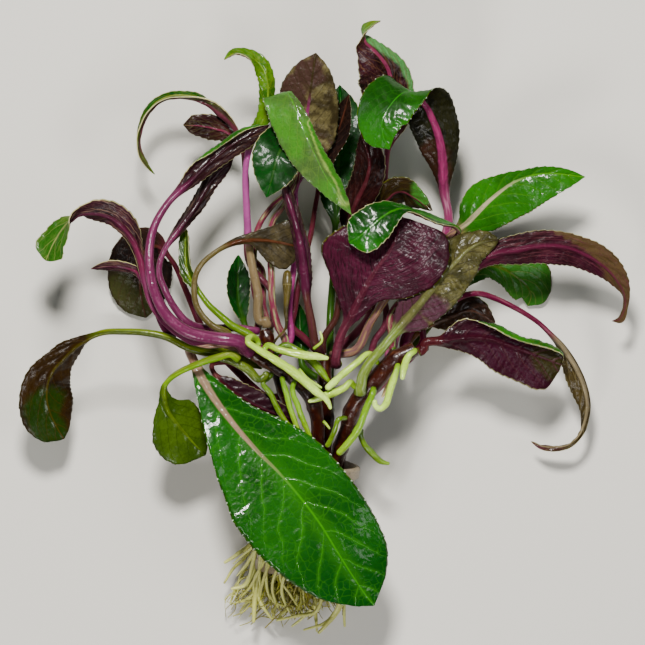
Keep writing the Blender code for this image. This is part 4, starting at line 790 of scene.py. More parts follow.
# %% The large leaf in front
grow_leaf(
    "leaf_front_large", FRONT_GREEN, DARK_WINE_BACK, "leaf_green",
    stalk=(1.6, 0.5), foot=0.188, step=0.45,
    route=[
        (-20.1, -7.5, 30.3), (-22, -8, 29.2), (-27.8, -8, 29.2), (-33.3, -6.6, 30.6), (-39, -6.4, 30.8),
        (-44.7, -6.7, 32), (-43.4, -11, 36.5), (-41.3, -15.5, 39), (-36.9, -22.9, 40.7),
        (-30.2, -31.8, 42), (-22.4, -40.7, 42.8), (-14.7, -48.4, 43.3), (-8, -56.2, 43.4),
        (-1.3, -65.1, 43), (4.2, -74, 41.7), (9.8, -82.9, 39.3), (14.7, -90, 36.3), (16.8, -92.6, 35),
    ],
    widths=[
        (0.212, 1.8, 1.8), (0.277, 3, 3), (0.342, 5.9, 5.8), (0.423, 11.2, 9.2), (0.513, 17.2, 14.2),
        (0.594, 22.2, 16.7), (0.667, 23, 17), (0.748, 22.2, 17), (0.829, 18.9, 16.7),
        (0.911, 12.8, 13.9), (0.968, 5.5, 8), (1, 1, 1),
    ],
    faces=[
        (0, -0.44, 0.81, 0.4), (0.017, -0.13, 0.83, 0.54), (0.059, 0.17, 0.81, 0.56),
        (0.102, 0.19, 0.81, 0.55), (0.145, 0.06, 0.82, 0.57), (0.188, 0, 0, 1),
        (0.203, 0.006, -0.006, 0.998), (0.218, 0.011, -0.011, 0.996), (1, 0.3, -0.3, 0.9),
    ],
    folds=[(0.188, 18), (0.594, 6), (1, -8)],
    vein_gap=11.0, vein_slope=0.8, vein_bow=0.75, vein_relief=0.2, tooth_gap=3.4, wave_length=22.0,
    pucker=0.45, pucker_size=7.0, rib_end=0.5, rib_depth=1.0, seed=3,
)

# %% The small purple leaf behind it
grow_leaf(
    "leaf_front_purple", GREEN_FACE, DARK_WINE_BACK, "leaf_wine",
    stalk=(1.1, 0.4),
    route=[
        (-19.5, -10.7, 31.7), (-21.2, -11.2, 32.4), (-26.9, -11.2, 33.2), (-32.3, -11.3, 34.9),
        (-37.5, -12.5, 37), (-36, -16, 38), (-31, -20.5, 38), (-24, -25, 37.5), (-16, -28.5, 37),
        (-9, -30.5, 36),
    ],
    widths=[(0.384, 1.5), (0.546, 4), (0.741, 5), (0.903, 3.5), (1, 0.5)],
    faces=[(0, 0.1, 0.1, -1)],
    vein_gap=4.5, pucker=0.2, pucker_size=3.5, seed=5,
)

# %% [markdown]
# ## The arching leaves on the left
#
# Four leaves bow out to the left, seen from below, so the wine red underside shows. On these narrow
# blades the veins run nearly along the midrib and stand up in pale tan ridges. The thickest stalk is
# magenta and shines. The margin of the great arch rolls right over and shows its green face as a
# strip, which a strong curl on one half of the section gives.

# %% Finishes: the arching leaves on the left
ARCH_BACK = leaf_finish(
    "arch_back", base=(30, 8, 14), mottle=(18, 5, 7), vein=(74, 54, 42), rib=(95, 25, 62),
    rib_end_colour=(36, 10, 18), stalk=(82, 25, 56), stalk_streak=(108, 50, 80), ridges=0.65, veins=0.2,
    nets=0.1, mottle_size=4.0, rib_width=0.9, wet=0.4, margin_width=0.08, rib_fades=(0.05, 0.35),
)
CREAM_VEIN_BACK = leaf_finish(
    "cream_vein_back", base=(42, 8, 22), mottle=(18, 3, 8), vein=(98, 74, 60), rib=(95, 25, 55),
    rib_end_colour=(52, 12, 30), stalk=(82, 24, 54), stalk_streak=(108, 52, 80), gloss=0.5, crinkle=0.5,
    ridges=0.8, veins=0.25, nets=0.1, margin_width=0.1, rib_fades=(0.1, 0.5), wet=0.05,
)
YELLOW_GREEN_FACE = leaf_finish(
    "yellow_green_face", base=(64, 88, 22), mottle=(28, 74, 8), vein=(104, 114, 54), rib=(114, 120, 66),
    stalk=(101, 107, 3), ridges=0.35, veins=0.45, vein_width=0.05, nets=0.15, mottle_size=5.0,
)

# %% The great arch
grow_leaf(
    "leaf_left_great_arch", GREEN_FACE, ARCH_BACK, "leaf_wine",
    stalk=(2.3, 0.5), foot=0.074,
    route=[
        (-24.4, -8, 43.3), (-26.1, -6.8, 45), (-28.6, -4.4, 50), (-35.8, -3.4, 50.5), (-40.8, -2.6, 51),
        (-45.2, -1.3, 51.3), (-51.8, 3.8, 51.5), (-56.4, 12.7, 51), (-58, 23.8, 49.5),
        (-56.7, 32.7, 47.5), (-52, 41.3, 45.5), (-44, 49.3, 43.5), (-36.7, 56.3, 42.5), (-28, 62.7, 42),
        (-18, 67.7, 41.5),
    ],
    widths=[
        (0.63, 1.6, 1.6), (0.694, 2.6, 2.2), (0.769, 5.5, 3.2), (0.861, 6, 4.2), (0.935, 5.5, 3.8),
        (1, 0.5, 0.5),
    ],
    faces=[
        (0, -0.47, 0.43, -0.77), (0.023, -0.58, 0.51, -0.64), (0.074, 0, 0.2, -1), (0.089, 0, 0.2, -1),
        (0.104, 0, 0.2, -1),
    ],
    curls=[(0.074, 0, 0), (0.694, 0, 0), (0.796, -160, 0), (1, -170, 0)],
    vein_gap=9.0, vein_slope=3.0, tooth_gap=2.4, wave=0.3, pucker=0.25, seed=7,
)

# %% The arch with a yellow tip
grow_leaf(
    "leaf_left_arch", YELLOW_GREEN_FACE, CREAM_VEIN_BACK, "leaf_wine",
    stalk=(1.3, 0.4), foot=0.254,
    route=[
        (-20.3, -6.7, 32.5), (-22, -7.2, 33.2), (-26.8, -5.3, 34.3), (-30.9, -4.1, 37.3),
        (-34.6, -4, 41), (-38.5, -4.1, 44.5), (-43.5, -4.5, 46), (-47, -2.7, 46), (-50.7, 0, 46),
        (-54.7, 4, 46), (-57.6, 8.7, 45.7), (-59.8, 16, 45), (-61.8, 24.5, 43.5), (-65, 31, 42.3),
        (-68, 34.3, 42), (-71.3, 36.7, 41.5), (-77, 38.2, 41), (-81.3, 38.2, 40.7), (-83.8, 36.7, 40.3),
        (-86.7, 33.5, 39.5), (-90, 28.4, 38.5), (-92.7, 22.4, 37.5),
    ],
    widths=[
        (0.478, 1.3, 1.3), (0.597, 1.5, 2.5), (0.664, 2, 5.2), (0.717, 2.4, 5.8), (0.776, 2.8, 4.8),
        (0.828, 2.6, 3.4), (0.873, 3.8, 3.8), (0.925, 5, 5), (0.97, 5.4, 5.6), (1, 2.5, 3),
    ],
    faces=[
        (0.254, -0.3, 0.3, -0.8), (0.627, -0.3, 0.3, -0.9), (0.776, 0, 0.35, -0.9),
        (0.828, -0.1, 1, -0.25), (0.873, -0.4, 0.6, 0.65), (1, -0.3, 0, 0.95),
    ],
    folds=[(0, 8)],
    vein_gap=7.0, vein_slope=2.2, wave_length=11.0, pucker_size=3.0, seed=9,
)

# %% The arch inside it
grow_leaf(
    "leaf_left_inner", GREEN_FACE, ARCH_BACK, "leaf_wine",
    stalk=(1.3, 0.4), foot=0.313,
    route=[
        (-21.9, -1, 32.5), (-23.6, -0.8, 33.2), (-29.1, 0, 33.2), (-34.7, 0, 33.8), (-39, 0, 37.4),
        (-42.9, 0.6, 41.3), (-46.5, 2.8, 45), (-49.9, 7.1, 45.3), (-53, 13, 44.8), (-54.8, 18.2, 43.5),
        (-54.5, 22.1, 42.3), (-53.3, 25.4, 41.3), (-48.6, 32.4, 39), (-42.7, 40.4, 37),
        (-36.9, 49.9, 35), (-30.2, 56.5, 33.5),
    ],
    widths=[(0.588, 1.2), (0.725, 2.3), (0.863, 2.9), (0.952, 2.4), (1, 0.4)],
    faces=[(0.313, -0.3, 0.2, -0.9), (1, 0.2, -0.1, -0.95)],
    folds=[(0, 20)],
    vein_gap=8.0, vein_slope=3.0, wave=0.4, wave_length=10.0, seed=11,
)

# %% The small leaf on the left
grow_leaf(
    "leaf_left_small", GREEN_FACE, CREAM_VEIN_BACK, "leaf_wine",
    stalk=(1, 0.3), foot=0.457,
    route=[
        (-21.4, -3.6, 31.9), (-22.8, -4, 32.4), (-27.9, -3.2, 31.6), (-33.2, -2.7, 31.6),
        (-38.4, -2, 32.1), (-43.2, -1.6, 34.3), (-47.2, -1.6, 37.6), (-51.3, -2, 41), (-57, 8, 40.5),
        (-60.3, 15, 40), (-62.7, 19, 39.5), (-66.5, 20.3, 39), (-73, 20.6, 38.5), (-77.7, 19.6, 38),
    ],
    widths=[(0.729, 1), (0.826, 1.9), (0.935, 1.8), (1, 0.3)],
    faces=[(0, -0.2, 0.5, -0.8)],
    vein_gap=6.0, vein_slope=2.5, seed=13,
)

# %% [markdown]
# ## The low leaves on the left
#
# Two leaves droop on thin green stalks. Their undersides are olive, and the further one is burnt
# brown towards the margin with green left in the middle: a patch placed on the blade, with a ragged
# edge from noise, gives that. Behind the arches hangs a round leaf that is going brown.

# %% Finishes: the low leaves on the left
DROOP_BACK = leaf_finish(
    "droop_back", base=(37, 22, 3), mottle=(23, 12, 3), vein=(54, 38, 3), rib=(57, 49, 3),
    stalk=(51, 63, 3), stalk_streak=(74, 81, 3), patch=(20, 41, 3), margin=(57, 48, 10), nets=0.2,
    veins=0.5, ridges=0.25, mottle_size=4.0, wet=0.25, crinkle=0.7, rib_width=0.6,
)
OLIVE_BACK = leaf_finish(
    "olive_back", base=(51, 74, 3), mottle=(34, 55, 4), vein=(29, 50, 3), rib=(70, 91, 3),
    stalk=(85, 122, 3), stalk_streak=(114, 144, 3), margin=(64, 81, 3), net_size=2.6, veins=0.5, wet=0.3,
    gloss=0.45,
)
WITHERED_BACK = leaf_finish(
    "withered_back", base=(29, 14, 5), mottle=(13, 4, 3), vein=(54, 32, 21), rib=(61, 29, 17),
    stalk=(73, 16, 34), patch=(44, 46, 18), margin=(63, 38, 21), nets=0.25, veins=0.5, ridges=0.2,
    mottle_size=5.0, crinkle=0.9, wet=0.1, gloss=0.6,
)
LEAF_GREEN_FACE = leaf_finish(
    "leaf_green_face", base=(11, 72, 3), mottle=(3, 49, 3), vein=(89, 98, 14), rib=(115, 124, 48),
    stalk=(82, 104, 4), tip=(76, 44, 3), ridges=0.4, margin_width=0.12,
)
LIME_FACE = leaf_finish(
    "lime_face", base=(37, 62, 3), mottle=(19, 47, 3), vein=(63, 77, 3), rib=(85, 108, 3),
    stalk=(72, 104, 3), stalk_streak=(97, 117, 3), ridges=0.3, nets=0.2, mottle_size=4.0,
)

# %% The drooping leaf
grow_leaf(
    "leaf_left_droop", GREEN_FACE, DROOP_BACK, "leaf_olive",
    stalk=(1.4, 0.5), foot=0.187,
    route=[
        (-20.6, -12.4, 38.7), (-24.4, -11.9, 38.1), (-28.9, -9.7, 38), (-34.3, -8, 38.2),
        (-38.8, -8.1, 41.5), (-45.2, -6.5, 42), (-52.4, -3, 42.5), (-60.8, -1.4, 42),
        (-66.9, -1.2, 41.5), (-72.4, -1.3, 41), (-76.3, -2.1, 40), (-80.2, -3.7, 38.5),
        (-83.6, -6.2, 36.5), (-86.9, -9.6, 34.5), (-90.2, -13.2, 32), (-92.6, -18.5, 29),
        (-93, -22.9, 26.5), (-92, -28, 24), (-89.8, -33, 21.5), (-87.3, -37.3, 19.5),
    ],
    widths=[
        (0.512, 1.4, 1.4), (0.594, 2.8, 2.2), (0.65, 4.8, 4.6), (0.724, 6.6, 6.2), (0.793, 8.8, 8.3),
        (0.862, 9.6, 9.6), (0.927, 8.6, 9), (0.967, 6, 6.5), (1, 2.5, 2.5),
    ],
    faces=[
        (0.187, -0.1, 0.9, 0.3), (0.553, -0.2, 0.7, -0.5), (0.715, -0.3, 0.4, -0.8), (1, -0.3, 0, -0.95),
    ],
    folds=[(0, 6)],
    vein_gap=6.5, vein_slope=1.5, vein_relief=0.22, seed=15,
    patches=[(0.84, -0.1, 8), (0.93, -0.3, 7)],
)

# %% The round leaf below it
grow_leaf(
    "leaf_lower_left", LEAF_GREEN_FACE, OLIVE_BACK, "leaf_olive",
    stalk=(1.3, 0.4), foot=0.059,
    route=[
        (-28.4, -10.4, 45), (-31.2, -8.6, 46.2), (-34.7, -9.6, 46), (-39.1, -10.9, 45.5),
        (-43.6, -12.6, 44.8), (-47.4, -14.3, 43.5), (-50.8, -16.5, 41.5), (-53, -19, 39.5),
        (-53.3, -23, 37.5), (-52.4, -27, 35.5), (-49.1, -32, 33), (-46.3, -35.3, 31),
        (-43.7, -38.3, 29.5), (-39.5, -42.5, 27.5),
    ],
    widths=[
        (0.429, 1.3, 1.3), (0.527, 1.5, 1.4), (0.606, 4.4, 2.6), (0.665, 8, 6), (0.724, 9, 9.4),
        (0.803, 8.5, 11), (0.882, 7, 10.6), (0.951, 4, 7), (1, 1, 1),
    ],
    faces=[(0.059, 0, 0.8, 0.4), (0.409, -0.4, 0.7, -0.3), (0.557, -0.2, 0.2, -0.9), (1, -0.1, 0.1, -1)],
    folds=[(0, 5)],
    vein_gap=6.0, vein_slope=1.2, pucker=0.4, seed=17,
)

# %% The withered leaf behind the arches
grow_leaf(
    "leaf_left_back", GREEN_FACE, WITHERED_BACK, "leaf_olive",
    stalk=(1.3, 0.4), foot=0.291,
    route=[
        (-13.5, -23.6, 27), (-14, -23.2, 25.2), (-19.6, -22.9, 25.2), (-24, -19.5, 25.2),
        (-28, -15.6, 25.2), (-32, -11.6, 25.2), (-36.3, -8, 25), (-41.3, 1, 23.5), (-46.3, 12.7, 20),
        (-51.3, 23, 16), (-56.5, 28, 12.8), (-60.5, 25.5, 10), (-61.9, 19, 7), (-61.6, 11, 4.4),
        (-60, 3.3, 2.2),
    ],
    widths=[(0.645, 2), (0.731, 8), (0.83, 10.9), (0.929, 9), (0.972, 5.5), (1, 1)],
    faces=[
        (0, 0.94, -0.16, -0.3), (0.019, 0.29, 0.09, -0.95), (0.073, 0.04, 0.11, -0.99),
        (0.127, 0.08, 0.1, -0.99), (0.181, 0.09, 0.09, -0.99), (0.236, 0.1, 0.08, -0.99),
        (0.291, 0, 0.3, -0.9), (0.306, 0, 0.311, -0.896), (0.321, 0, 0.324, -0.892),
        (0.716, 0, 0.6, -0.8), (1, 0, 0.1, -1),
    ],
    folds=[(0, 5)],
    vein_gap=6.0, vein_slope=1.2, pucker=0.45, pucker_size=6.0, seed=19,
    patches=[(0.95, -0.2, 8), (0.85, -0.6, 6)],
)

# %% A folded lime leaf
grow_leaf(
    "leaf_left_folded", LIME_FACE, LIME_FACE, "leaf_green",
    stalk=(1.45, 0.4), foot=0.055,
    route=[
        (-22.3, -5.8, 40.8), (-23.6, -3.5, 40), (-30.8, 1, 39.5), (-34.7, 4.3, 39), (-38.6, 7.9, 38.5),
        (-41.3, 11.6, 38), (-43.8, 15.3, 37), (-45.4, 19, 36), (-46.2, 27.1, 34), (-46.1, 33.5, 33),
    ],
    widths=[(0.528, 1.2), (0.641, 2.5), (0.811, 2.4), (0.953, 1.7), (1, 0.5)],
    faces=[(0.055, 0, 0.4, 0.8), (1, -0.6, 0, 0.8)],
    folds=[(0, 30)],
    vein_slope=2.5, seed=21,
)

# %% [markdown]
# ## The leaves that stand up on the left
#
# One stalk loops round and carries a mottled grey olive leaf. Behind it long stalks rise, and three
# of them bend over at the top: one ends in a thin brown curl, one in a bright lime hook, and one
# brings its wet, deep green face forward with a white dot on each tooth.

# %% Finishes: the leaves that stand up on the left
LOOP_BACK = leaf_finish(
    "loop_back", base=(60, 52, 32), mottle=(38, 32, 20), vein=(23, 17, 6), rib=(68, 36, 17),
    stalk=(73, 63, 29), stalk_streak=(94, 85, 60), margin=(51, 47, 16), nets=0.6, net_size=2.0,
    mottle_size=1.6, gloss=0.4, wrinkles=0.3, wet=0.25,
)
TAN_RIB_BACK = leaf_finish(
    "tan_rib_back", base=(50, 36, 26), mottle=(36, 20, 16), vein=(65, 88, 19), rib=(76, 31, 42),
    tip=(53, 62, 3), tip_from=0.75, ridges=0.8, veins=0.1, nets=0.05, margin_width=0.14,
)
HOOK_FACE = leaf_finish(
    "hook_face", base=(70, 108, 3), mottle=(33, 70, 3), vein=(110, 121, 3), rib=(88, 118, 20),
    stalk=(98, 82, 56), stalk_streak=(122, 106, 76), patch=(126, 54, 104), margin=(128, 125, 108),
    nets=0.3, veins=0.3, rib_width=0.5, painted_stalk=True,
)
PINK_STALK_BACK = leaf_finish(
    "pink_stalk_back", base=(67, 49, 9), mottle=(49, 34, 11), vein=(114, 88, 10), rib=(105, 79, 23),
    stalk=(98, 82, 56), stalk_streak=(122, 106, 76), patch=(126, 54, 104), painted_stalk=True,
)
DEEP_GREEN_FACE = leaf_finish(
    "deep_green_face", base=(3, 47, 3), mottle=(4, 23, 3), vein=(3, 68, 3), rib=(23, 59, 3),
    stalk=(34, 64, 3), nets=0.3, net_size=3.0, veins=0.3, mottle_size=5.0, wet=0.2, gloss=0.42,
    crinkle=0.6, margin_width=0.04,
)

# %% The leaf that loops
grow_leaf(
    "leaf_crown_loop", GREEN_FACE, LOOP_BACK, "leaf_olive",
    stalk=(1.15, 0.6), foot=0.148,
    route=[
        (-24.9, -8.5, 39.4), (-27.6, -6.6, 39.8), (-30.2, -4.2, 41.6), (-32, -1.6, 44.5),
        (-36.9, 0.7, 44.5), (-40.2, 3.8, 44), (-42.2, 7.1, 43.5), (-43.2, 13, 43), (-42.2, 18.8, 42.5),
        (-40.2, 21.8, 42), (-37.4, 24.3, 41.7), (-33.6, 26.8, 41.5), (-29.1, 28.7, 41.3),
        (-24.7, 29.3, 41), (-20.2, 29.3, 40), (-15.8, 28.7, 38.7), (-11.3, 27.8, 37.2),
        (-6.4, 26.6, 35.5),
    ],
    widths=[
        (0.6, 1.2, 1.2), (0.702, 1.6, 1.4), (0.762, 2.6, 1.9), (0.804, 3.8, 4.8), (0.847, 5.4, 7.2),
        (0.898, 7.6, 8.6), (0.949, 8.5, 7.8), (1, 1.5, 1.5),
    ],
    faces=[(0.148, 0.3, 0.4, -0.8), (0.659, 0, 0.2, -0.95), (1, 0.2, 0, -1)],
    vein_slope=1.2, pucker=0.6, pucker_size=3.5, seed=23,
)

# %% The arch at the top left
grow_leaf(
    "leaf_top_left_arch", LEAF_GREEN_FACE, TAN_RIB_BACK, "leaf_green",
    stalk=(1.1, 0.4), foot=0.184,
    route=[
        (-18.2, 0.2, 30), (-17.2, 1.6, 29.2), (-17.2, 7.1, 29.1), (-17.6, 12.3, 28), (-20.8, 16.4, 26.2),
        (-24.3, 20.5, 26.3), (-25.7, 36, 26.5), (-26.3, 50, 26.8), (-27.3, 60, 27.5), (-30, 67, 28.5),
        (-34.7, 72.1, 29), (-39.7, 76, 29.5), (-45.8, 77.5, 29.3), (-51.9, 77.3, 28.7),
        (-56.9, 74.6, 27.7), (-60.8, 68.5, 26.5), (-62, 62, 25.5), (-61.1, 58, 25), (-59.1, 54.6, 24.3),
        (-56.6, 51.3, 23.7),
    ],
    widths=[
        (0.51, 1.2), (0.592, 2.2), (0.673, 2.6), (0.739, 2), (0.837, 2.2), (0.902, 1.5), (0.951, 1.4),
        (1, 0.3),
    ],
    faces=[
        (0, 0.19, -0.58, -0.79), (0.015, 0.41, -0.18, -0.9), (0.057, 0.42, -0.09, -0.9),
        (0.099, 0.42, -0.12, -0.9), (0.142, 0.34, 0.08, -0.94), (0.184, 0.3, 0.3, -0.9),
        (0.199, 0.306, 0.311, -0.891), (0.214, 0.315, 0.322, -0.888), (0.575, 0.4, 0.6, -0.6),
        (0.714, -0.2, 0.8, 0.45), (0.82, -0.6, 0.5, 0.3), (1, -0.8, -0.2, -0.5),
    ],
    folds=[(0, 20)],
    vein_gap=9.0, vein_slope=3.5, wave=0.3, pucker=0.2, seed=25,
)

# %% A small wine leaf
grow_leaf(
    "leaf_top_left_small", GREEN_FACE, WINE_BACK, "leaf_wine",
    stalk=(1.1, 0.3), foot=0.343,
    route=[
        (-18.7, -1.6, 29.3), (-18, -1.6, 27.6), (-19, 2.5, 23.6), (-20.4, 7.8, 22), (-20.4, 13.6, 22),
        (-20.8, 19.4, 22), (-24.4, 24, 22), (-25.8, 40, 21.5), (-26, 52, 22), (-28, 60.5, 23.5),
        (-31.5, 65, 25), (-36.9, 66.9, 26), (-42, 67.8, 26.3), (-47.2, 67.9, 26.3),
    ],
    widths=[(0.737, 1.2), (0.816, 3.4), (0.921, 4.3), (0.974, 2.8), (1, 0.5)],
    faces=[
        (0, 0.3, -0.95, 0.12), (0.02, 0.47, -0.7, -0.53), (0.085, 0.41, -0.39, -0.83),
        (0.149, 0.32, -0.1, -0.94), (0.213, 0.3, 0.01, -0.95), (0.278, 0.3, 0.12, -0.95),
        (0.343, 0.3, 0.2, -0.9), (0.358, 0.293, 0.202, -0.902), (0.373, 0.286, 0.205, -0.905),
        (1, 0, 0.3, -1),
    ],
    vein_gap=4.0, vein_slope=1.6, wave_length=7.0, seed=27,
)

# %% The long hook
grow_leaf(
    "leaf_top_left_long", HOOK_FACE, PINK_STALK_BACK, "leaf_green",
    stalk=(1.6, 0.5), foot=0.029,
    route=[
        (-19, 0.2, 33), (-19.6, 2.4, 33.2), (-20.3, 2.2, 33), (-22.2, 12.7, 34), (-23.9, 20.4, 34.3),
        (-24.9, 27.1, 34.5), (-25.8, 40, 35), (-26, 54, 35.5), (-24.3, 62, 35.5), (-19.3, 72, 35.5),
        (-18.7, 78.2, 36), (-19, 83, 37), (-20.8, 87, 38.3), (-25.2, 90.7, 40), (-29.8, 91.6, 41.5),
        (-33.3, 89.2, 42.5),
    ],
    widths=[(0.534, 1.4), (0.631, 2.4), (0.757, 3), (0.874, 3), (0.942, 2.4), (1, 0.5)],
    faces=[
        (0.029, -0.2, 0, 1), (0.612, -0.3, 0.1, 0.95), (0.825, -0.3, 0.2, 0.9), (0.922, -0.1, 0.8, 0.6),
        (1, -0.1, 0.8, 0.5),
    ],
    folds=[(0, 15)],
    vein_slope=1.5, wave=0.4, wave_length=9.0, pucker=0.3, seed=29,
    patches=[(0.31, 0, 6), (0.36, 0, 7), (0.41, 0, 7), (0.46, 0, 7), (0.51, 0, 6)],
)

# %% The deep green leaf
grow_leaf(
    "leaf_inner_green", DEEP_GREEN_FACE, WINE_BACK, "leaf_dark_green",
    stalk=(1.3, 0.4), foot=0.062,
    route=[
        (-22.3, -1, 29.2), (-21.9, 1.6, 28.3), (-21.5, 4.5, 27.8), (-23, 12, 28.8), (-23.5, 24, 29.5),
        (-21.8, 34, 31), (-17, 41, 32.5), (-12, 46, 34), (-9, 53, 35.5), (-9.5, 59, 38.5),
        (-12.5, 61.7, 42), (-15, 58, 45), (-17, 51, 46), (-19.1, 43.3, 46),
    ],
    widths=[(0.606, 1.4), (0.719, 5), (0.831, 8.6), (0.925, 6.2), (1, 0.6)],
    faces=[
        (0.062, 0, 0, -1), (0.531, 0.6, 0.5, -0.5), (0.681, 0.2, 0.8, 0.3), (0.794, 0, 0.2, 1),
        (1, 0, 0, 1),
    ],
    vein_slope=1.1, tooth_gap=2.2, wave=0.6, wave_length=8.0, pucker=0.2, seed=31,
)

# %% [markdown]
# ## The leaves in the middle
#
# The crown is the densest place. The pale leaf in front bends over forward, so its whitish green
# face shows; behind it stands a leathery leaf, olive and purple with a magenta midrib. The broad
# wine red one is quilted by its net of veins, and every swelling between the veins catches the
# light. A small leaf flops over it, dark green and dripping.

# %% Finishes: the leaves in the middle
GLAUCOUS_FACE = leaf_finish(
    "glaucous_face", base=(52, 104, 24), mottle=(54, 78, 34), vein=(85, 117, 34), rib=(60, 115, 20),
    stalk=(65, 103, 3), patch=(38, 92, 16), patch_rim=(112, 136, 62), margin=(106, 124, 75), nets=0.25,
    net_size=2.6, veins=0.3, mottle_size=4.0, wet=0.8, crinkle=0.9, rib_width=0.5, streaky_rib=0.2,
)
LEATHER_BACK = leaf_finish(
    "leather_back", base=(90, 82, 50), mottle=(44, 37, 20), vein=(44, 35, 17), rib=(118, 36, 84),
    stalk=(128, 41, 93), patch=(56, 38, 32), margin=(82, 82, 47), nets=0.55, net_size=1.8,
    mottle_size=1.5, crinkle=1.1, gloss=0.38, rib_fades=(0.55, 0.75), wet=0.3,
)
RIBBED_BACK = leaf_finish(
    "ribbed_back", base=(52, 20, 36), mottle=(32, 12, 18), vein=(62, 48, 36), rib=(63, 16, 39),
    stalk=(63, 34, 28), margin=(110, 135, 30), ridges=0.9, crinkle=0.8, margin_width=0.12, wet=0.2,
)
SHADED_BACK = leaf_finish(
    "shaded_back", base=(30, 7, 8), mottle=(15, 4, 3), vein=(47, 22, 16), rib=(58, 19, 24),
    stalk=(54, 28, 22), ridges=0.4, mottle_size=4.0, wet=0.3,
)
QUILTED_BACK = leaf_finish(
    "quilted_back", base=(57, 10, 31), mottle=(40, 8, 20), vein=(28, 4, 13), rib=(66, 20, 34),
    stalk_streak=(96, 40, 54), margin=(108, 111, 7), nets=0.25, net_size=2.4, veins=0.7, mottle_size=4.0,
    crinkle=1.3, gloss=0.42, wet=0.35, margin_width=0.03, wrinkles=1.2, vein_width=0.03,
)
GLOSSY_FACE = leaf_finish(
    "glossy_face", base=(18, 80, 4), mottle=(8, 44, 3), vein=(23, 87, 3), rib=(35, 98, 3),
    stalk=(57, 100, 11), stalk_streak=(77, 121, 26), nets=0.2, veins=0.2, mottle_size=5.0, wet=0.6,
    gloss=0.28, crinkle=0.7,
)

# %% The bluish green leaf
grow_leaf(
    "leaf_centre_glaucous", GLAUCOUS_FACE, WINE_BACK, "leaf_green",
    stalk=(1.35, 0.35), foot=0.028,
    route=[
        (-15.9, -7.4, 32.4), (-14, -7.2, 33.2), (-13, -5.5, 33), (-15.5, 1, 34), (-17.2, 8, 34.5),
        (-17.5, 16, 34), (-17.8, 23, 33), (-18, 30, 32), (-17, 36, 31), (-13, 41.5, 30.5), (-9, 50, 31),
        (-8.3, 62, 33), (-10, 73, 37.5), (-12.3, 78.8, 42), (-10.8, 76, 46), (-8.6, 70.4, 48),
        (-6.3, 64.9, 49), (-3.8, 59.3, 49.7), (-1.3, 53.8, 50), (1.4, 48.8, 49.8), (4.2, 44.9, 49),
        (7, 41, 48), (9.2, 37.5, 47.3),
    ],
    widths=[
        (0.495, 1.4, 1.4), (0.592, 6, 1.5), (0.67, 8.8, 1.6), (0.742, 9.8, 3.2), (0.826, 8.7, 4.2),
        (0.868, 6.9, 5), (0.907, 4.6, 5), (0.941, 3.3, 4), (0.975, 1.6, 2), (1, 0.3, 0.3),
    ],
    faces=[
        (0.028, 0, 0, -1), (0.514, 0.2, 0.3, -0.9), (0.592, -0.1, 0.6, -0.7), (0.66, -0.3, 0.9, 0.3),
        (0.728, -0.35, 0.2, 0.9), (1, -0.2, 0.1, 1),
    ],
    folds=[(0.028, 5, 5), (0.66, 0, -20), (0.806, 0, -50), (1, 0, -50)],
    vein_gap=5.5, vein_slope=1.4, tooth_gap=2.2, wave=0.45, wave_length=8.0, pucker=0.4, seed=33,
    patches=[(0.76 + 0.012 * k, -1, 1.6 + 0.09 * k) for k in range(17)],
)

# %% The leathery olive leaf
grow_leaf(
    "leaf_centre_olive", GREEN_FACE, LEATHER_BACK, "leaf_olive",
    stalk=(1.25, 0.5), foot=0.061,
    route=[
        (-15.9, -9.4, 28.6), (-14, -7.2, 30), (-11.8, -5, 30), (-11.7, 5, 29), (-11, 14, 28),
        (-10, 21, 27), (-9.3, 35, 26.3), (-9.5, 50, 27), (-7.8, 62, 28.3), (-5.6, 72, 30.3),
        (-4.3, 81, 32), (-3.3, 88, 33.3), (-2.7, 91.8, 34),
    ],
    widths=[
        (0.53, 1.3, 1.3), (0.643, 6, 7), (0.728, 9, 11.4), (0.812, 10, 11), (0.887, 9.8, 8.8),
        (0.953, 6, 5.4), (1, 0.8, 0.8),
    ],
    faces=[(0.061, 0, 0, -1), (1, 0, 0.2, -0.95)],
    folds=[(0, 10)],
    vein_slope=1.1, vein_relief=0.22, pucker=0.45, pucker_size=4.0, seed=35,
    patches=[(0.86, 0.7, 8), (0.93, 0.2, 6), (0.7, 0.3, 7), (0.62, -0.5, 9)],
)

# %% The ribbed leaf
grow_leaf(
    "leaf_centre_ribbed", GREEN_FACE, RIBBED_BACK, "leaf_wine",
    stalk=(1.5, 0.6), foot=0.093,
    route=[
        (-0.9, -9.5, 31.8), (-1.2, -8, 33.2), (-2.7, -5.7, 36), (-4.2, 2, 38), (-5.7, 10, 39.8),
        (-6.5, 18, 41), (-8, 29, 41.3), (-10.3, 38, 40.4), (-12.5, 45, 39.5), (-14, 51, 39),
    ],
    widths=[(0.32, 1.9), (0.501, 3.2), (0.728, 3), (0.909, 2), (1, 0.4)],
    faces=[
        (0, -0.21, 0.64, -0.74), (0.032, -0.22, 0.68, -0.7), (0.093, 0, 0, -1), (0.108, 0.003, 0, -1),
        (0.123, 0.007, 0, -1), (1, 0.2, 0, -1),
    ],
    folds=[(0, 35)],
    vein_gap=7.0, vein_slope=3.0, tooth_gap=2.0, seed=37,
)

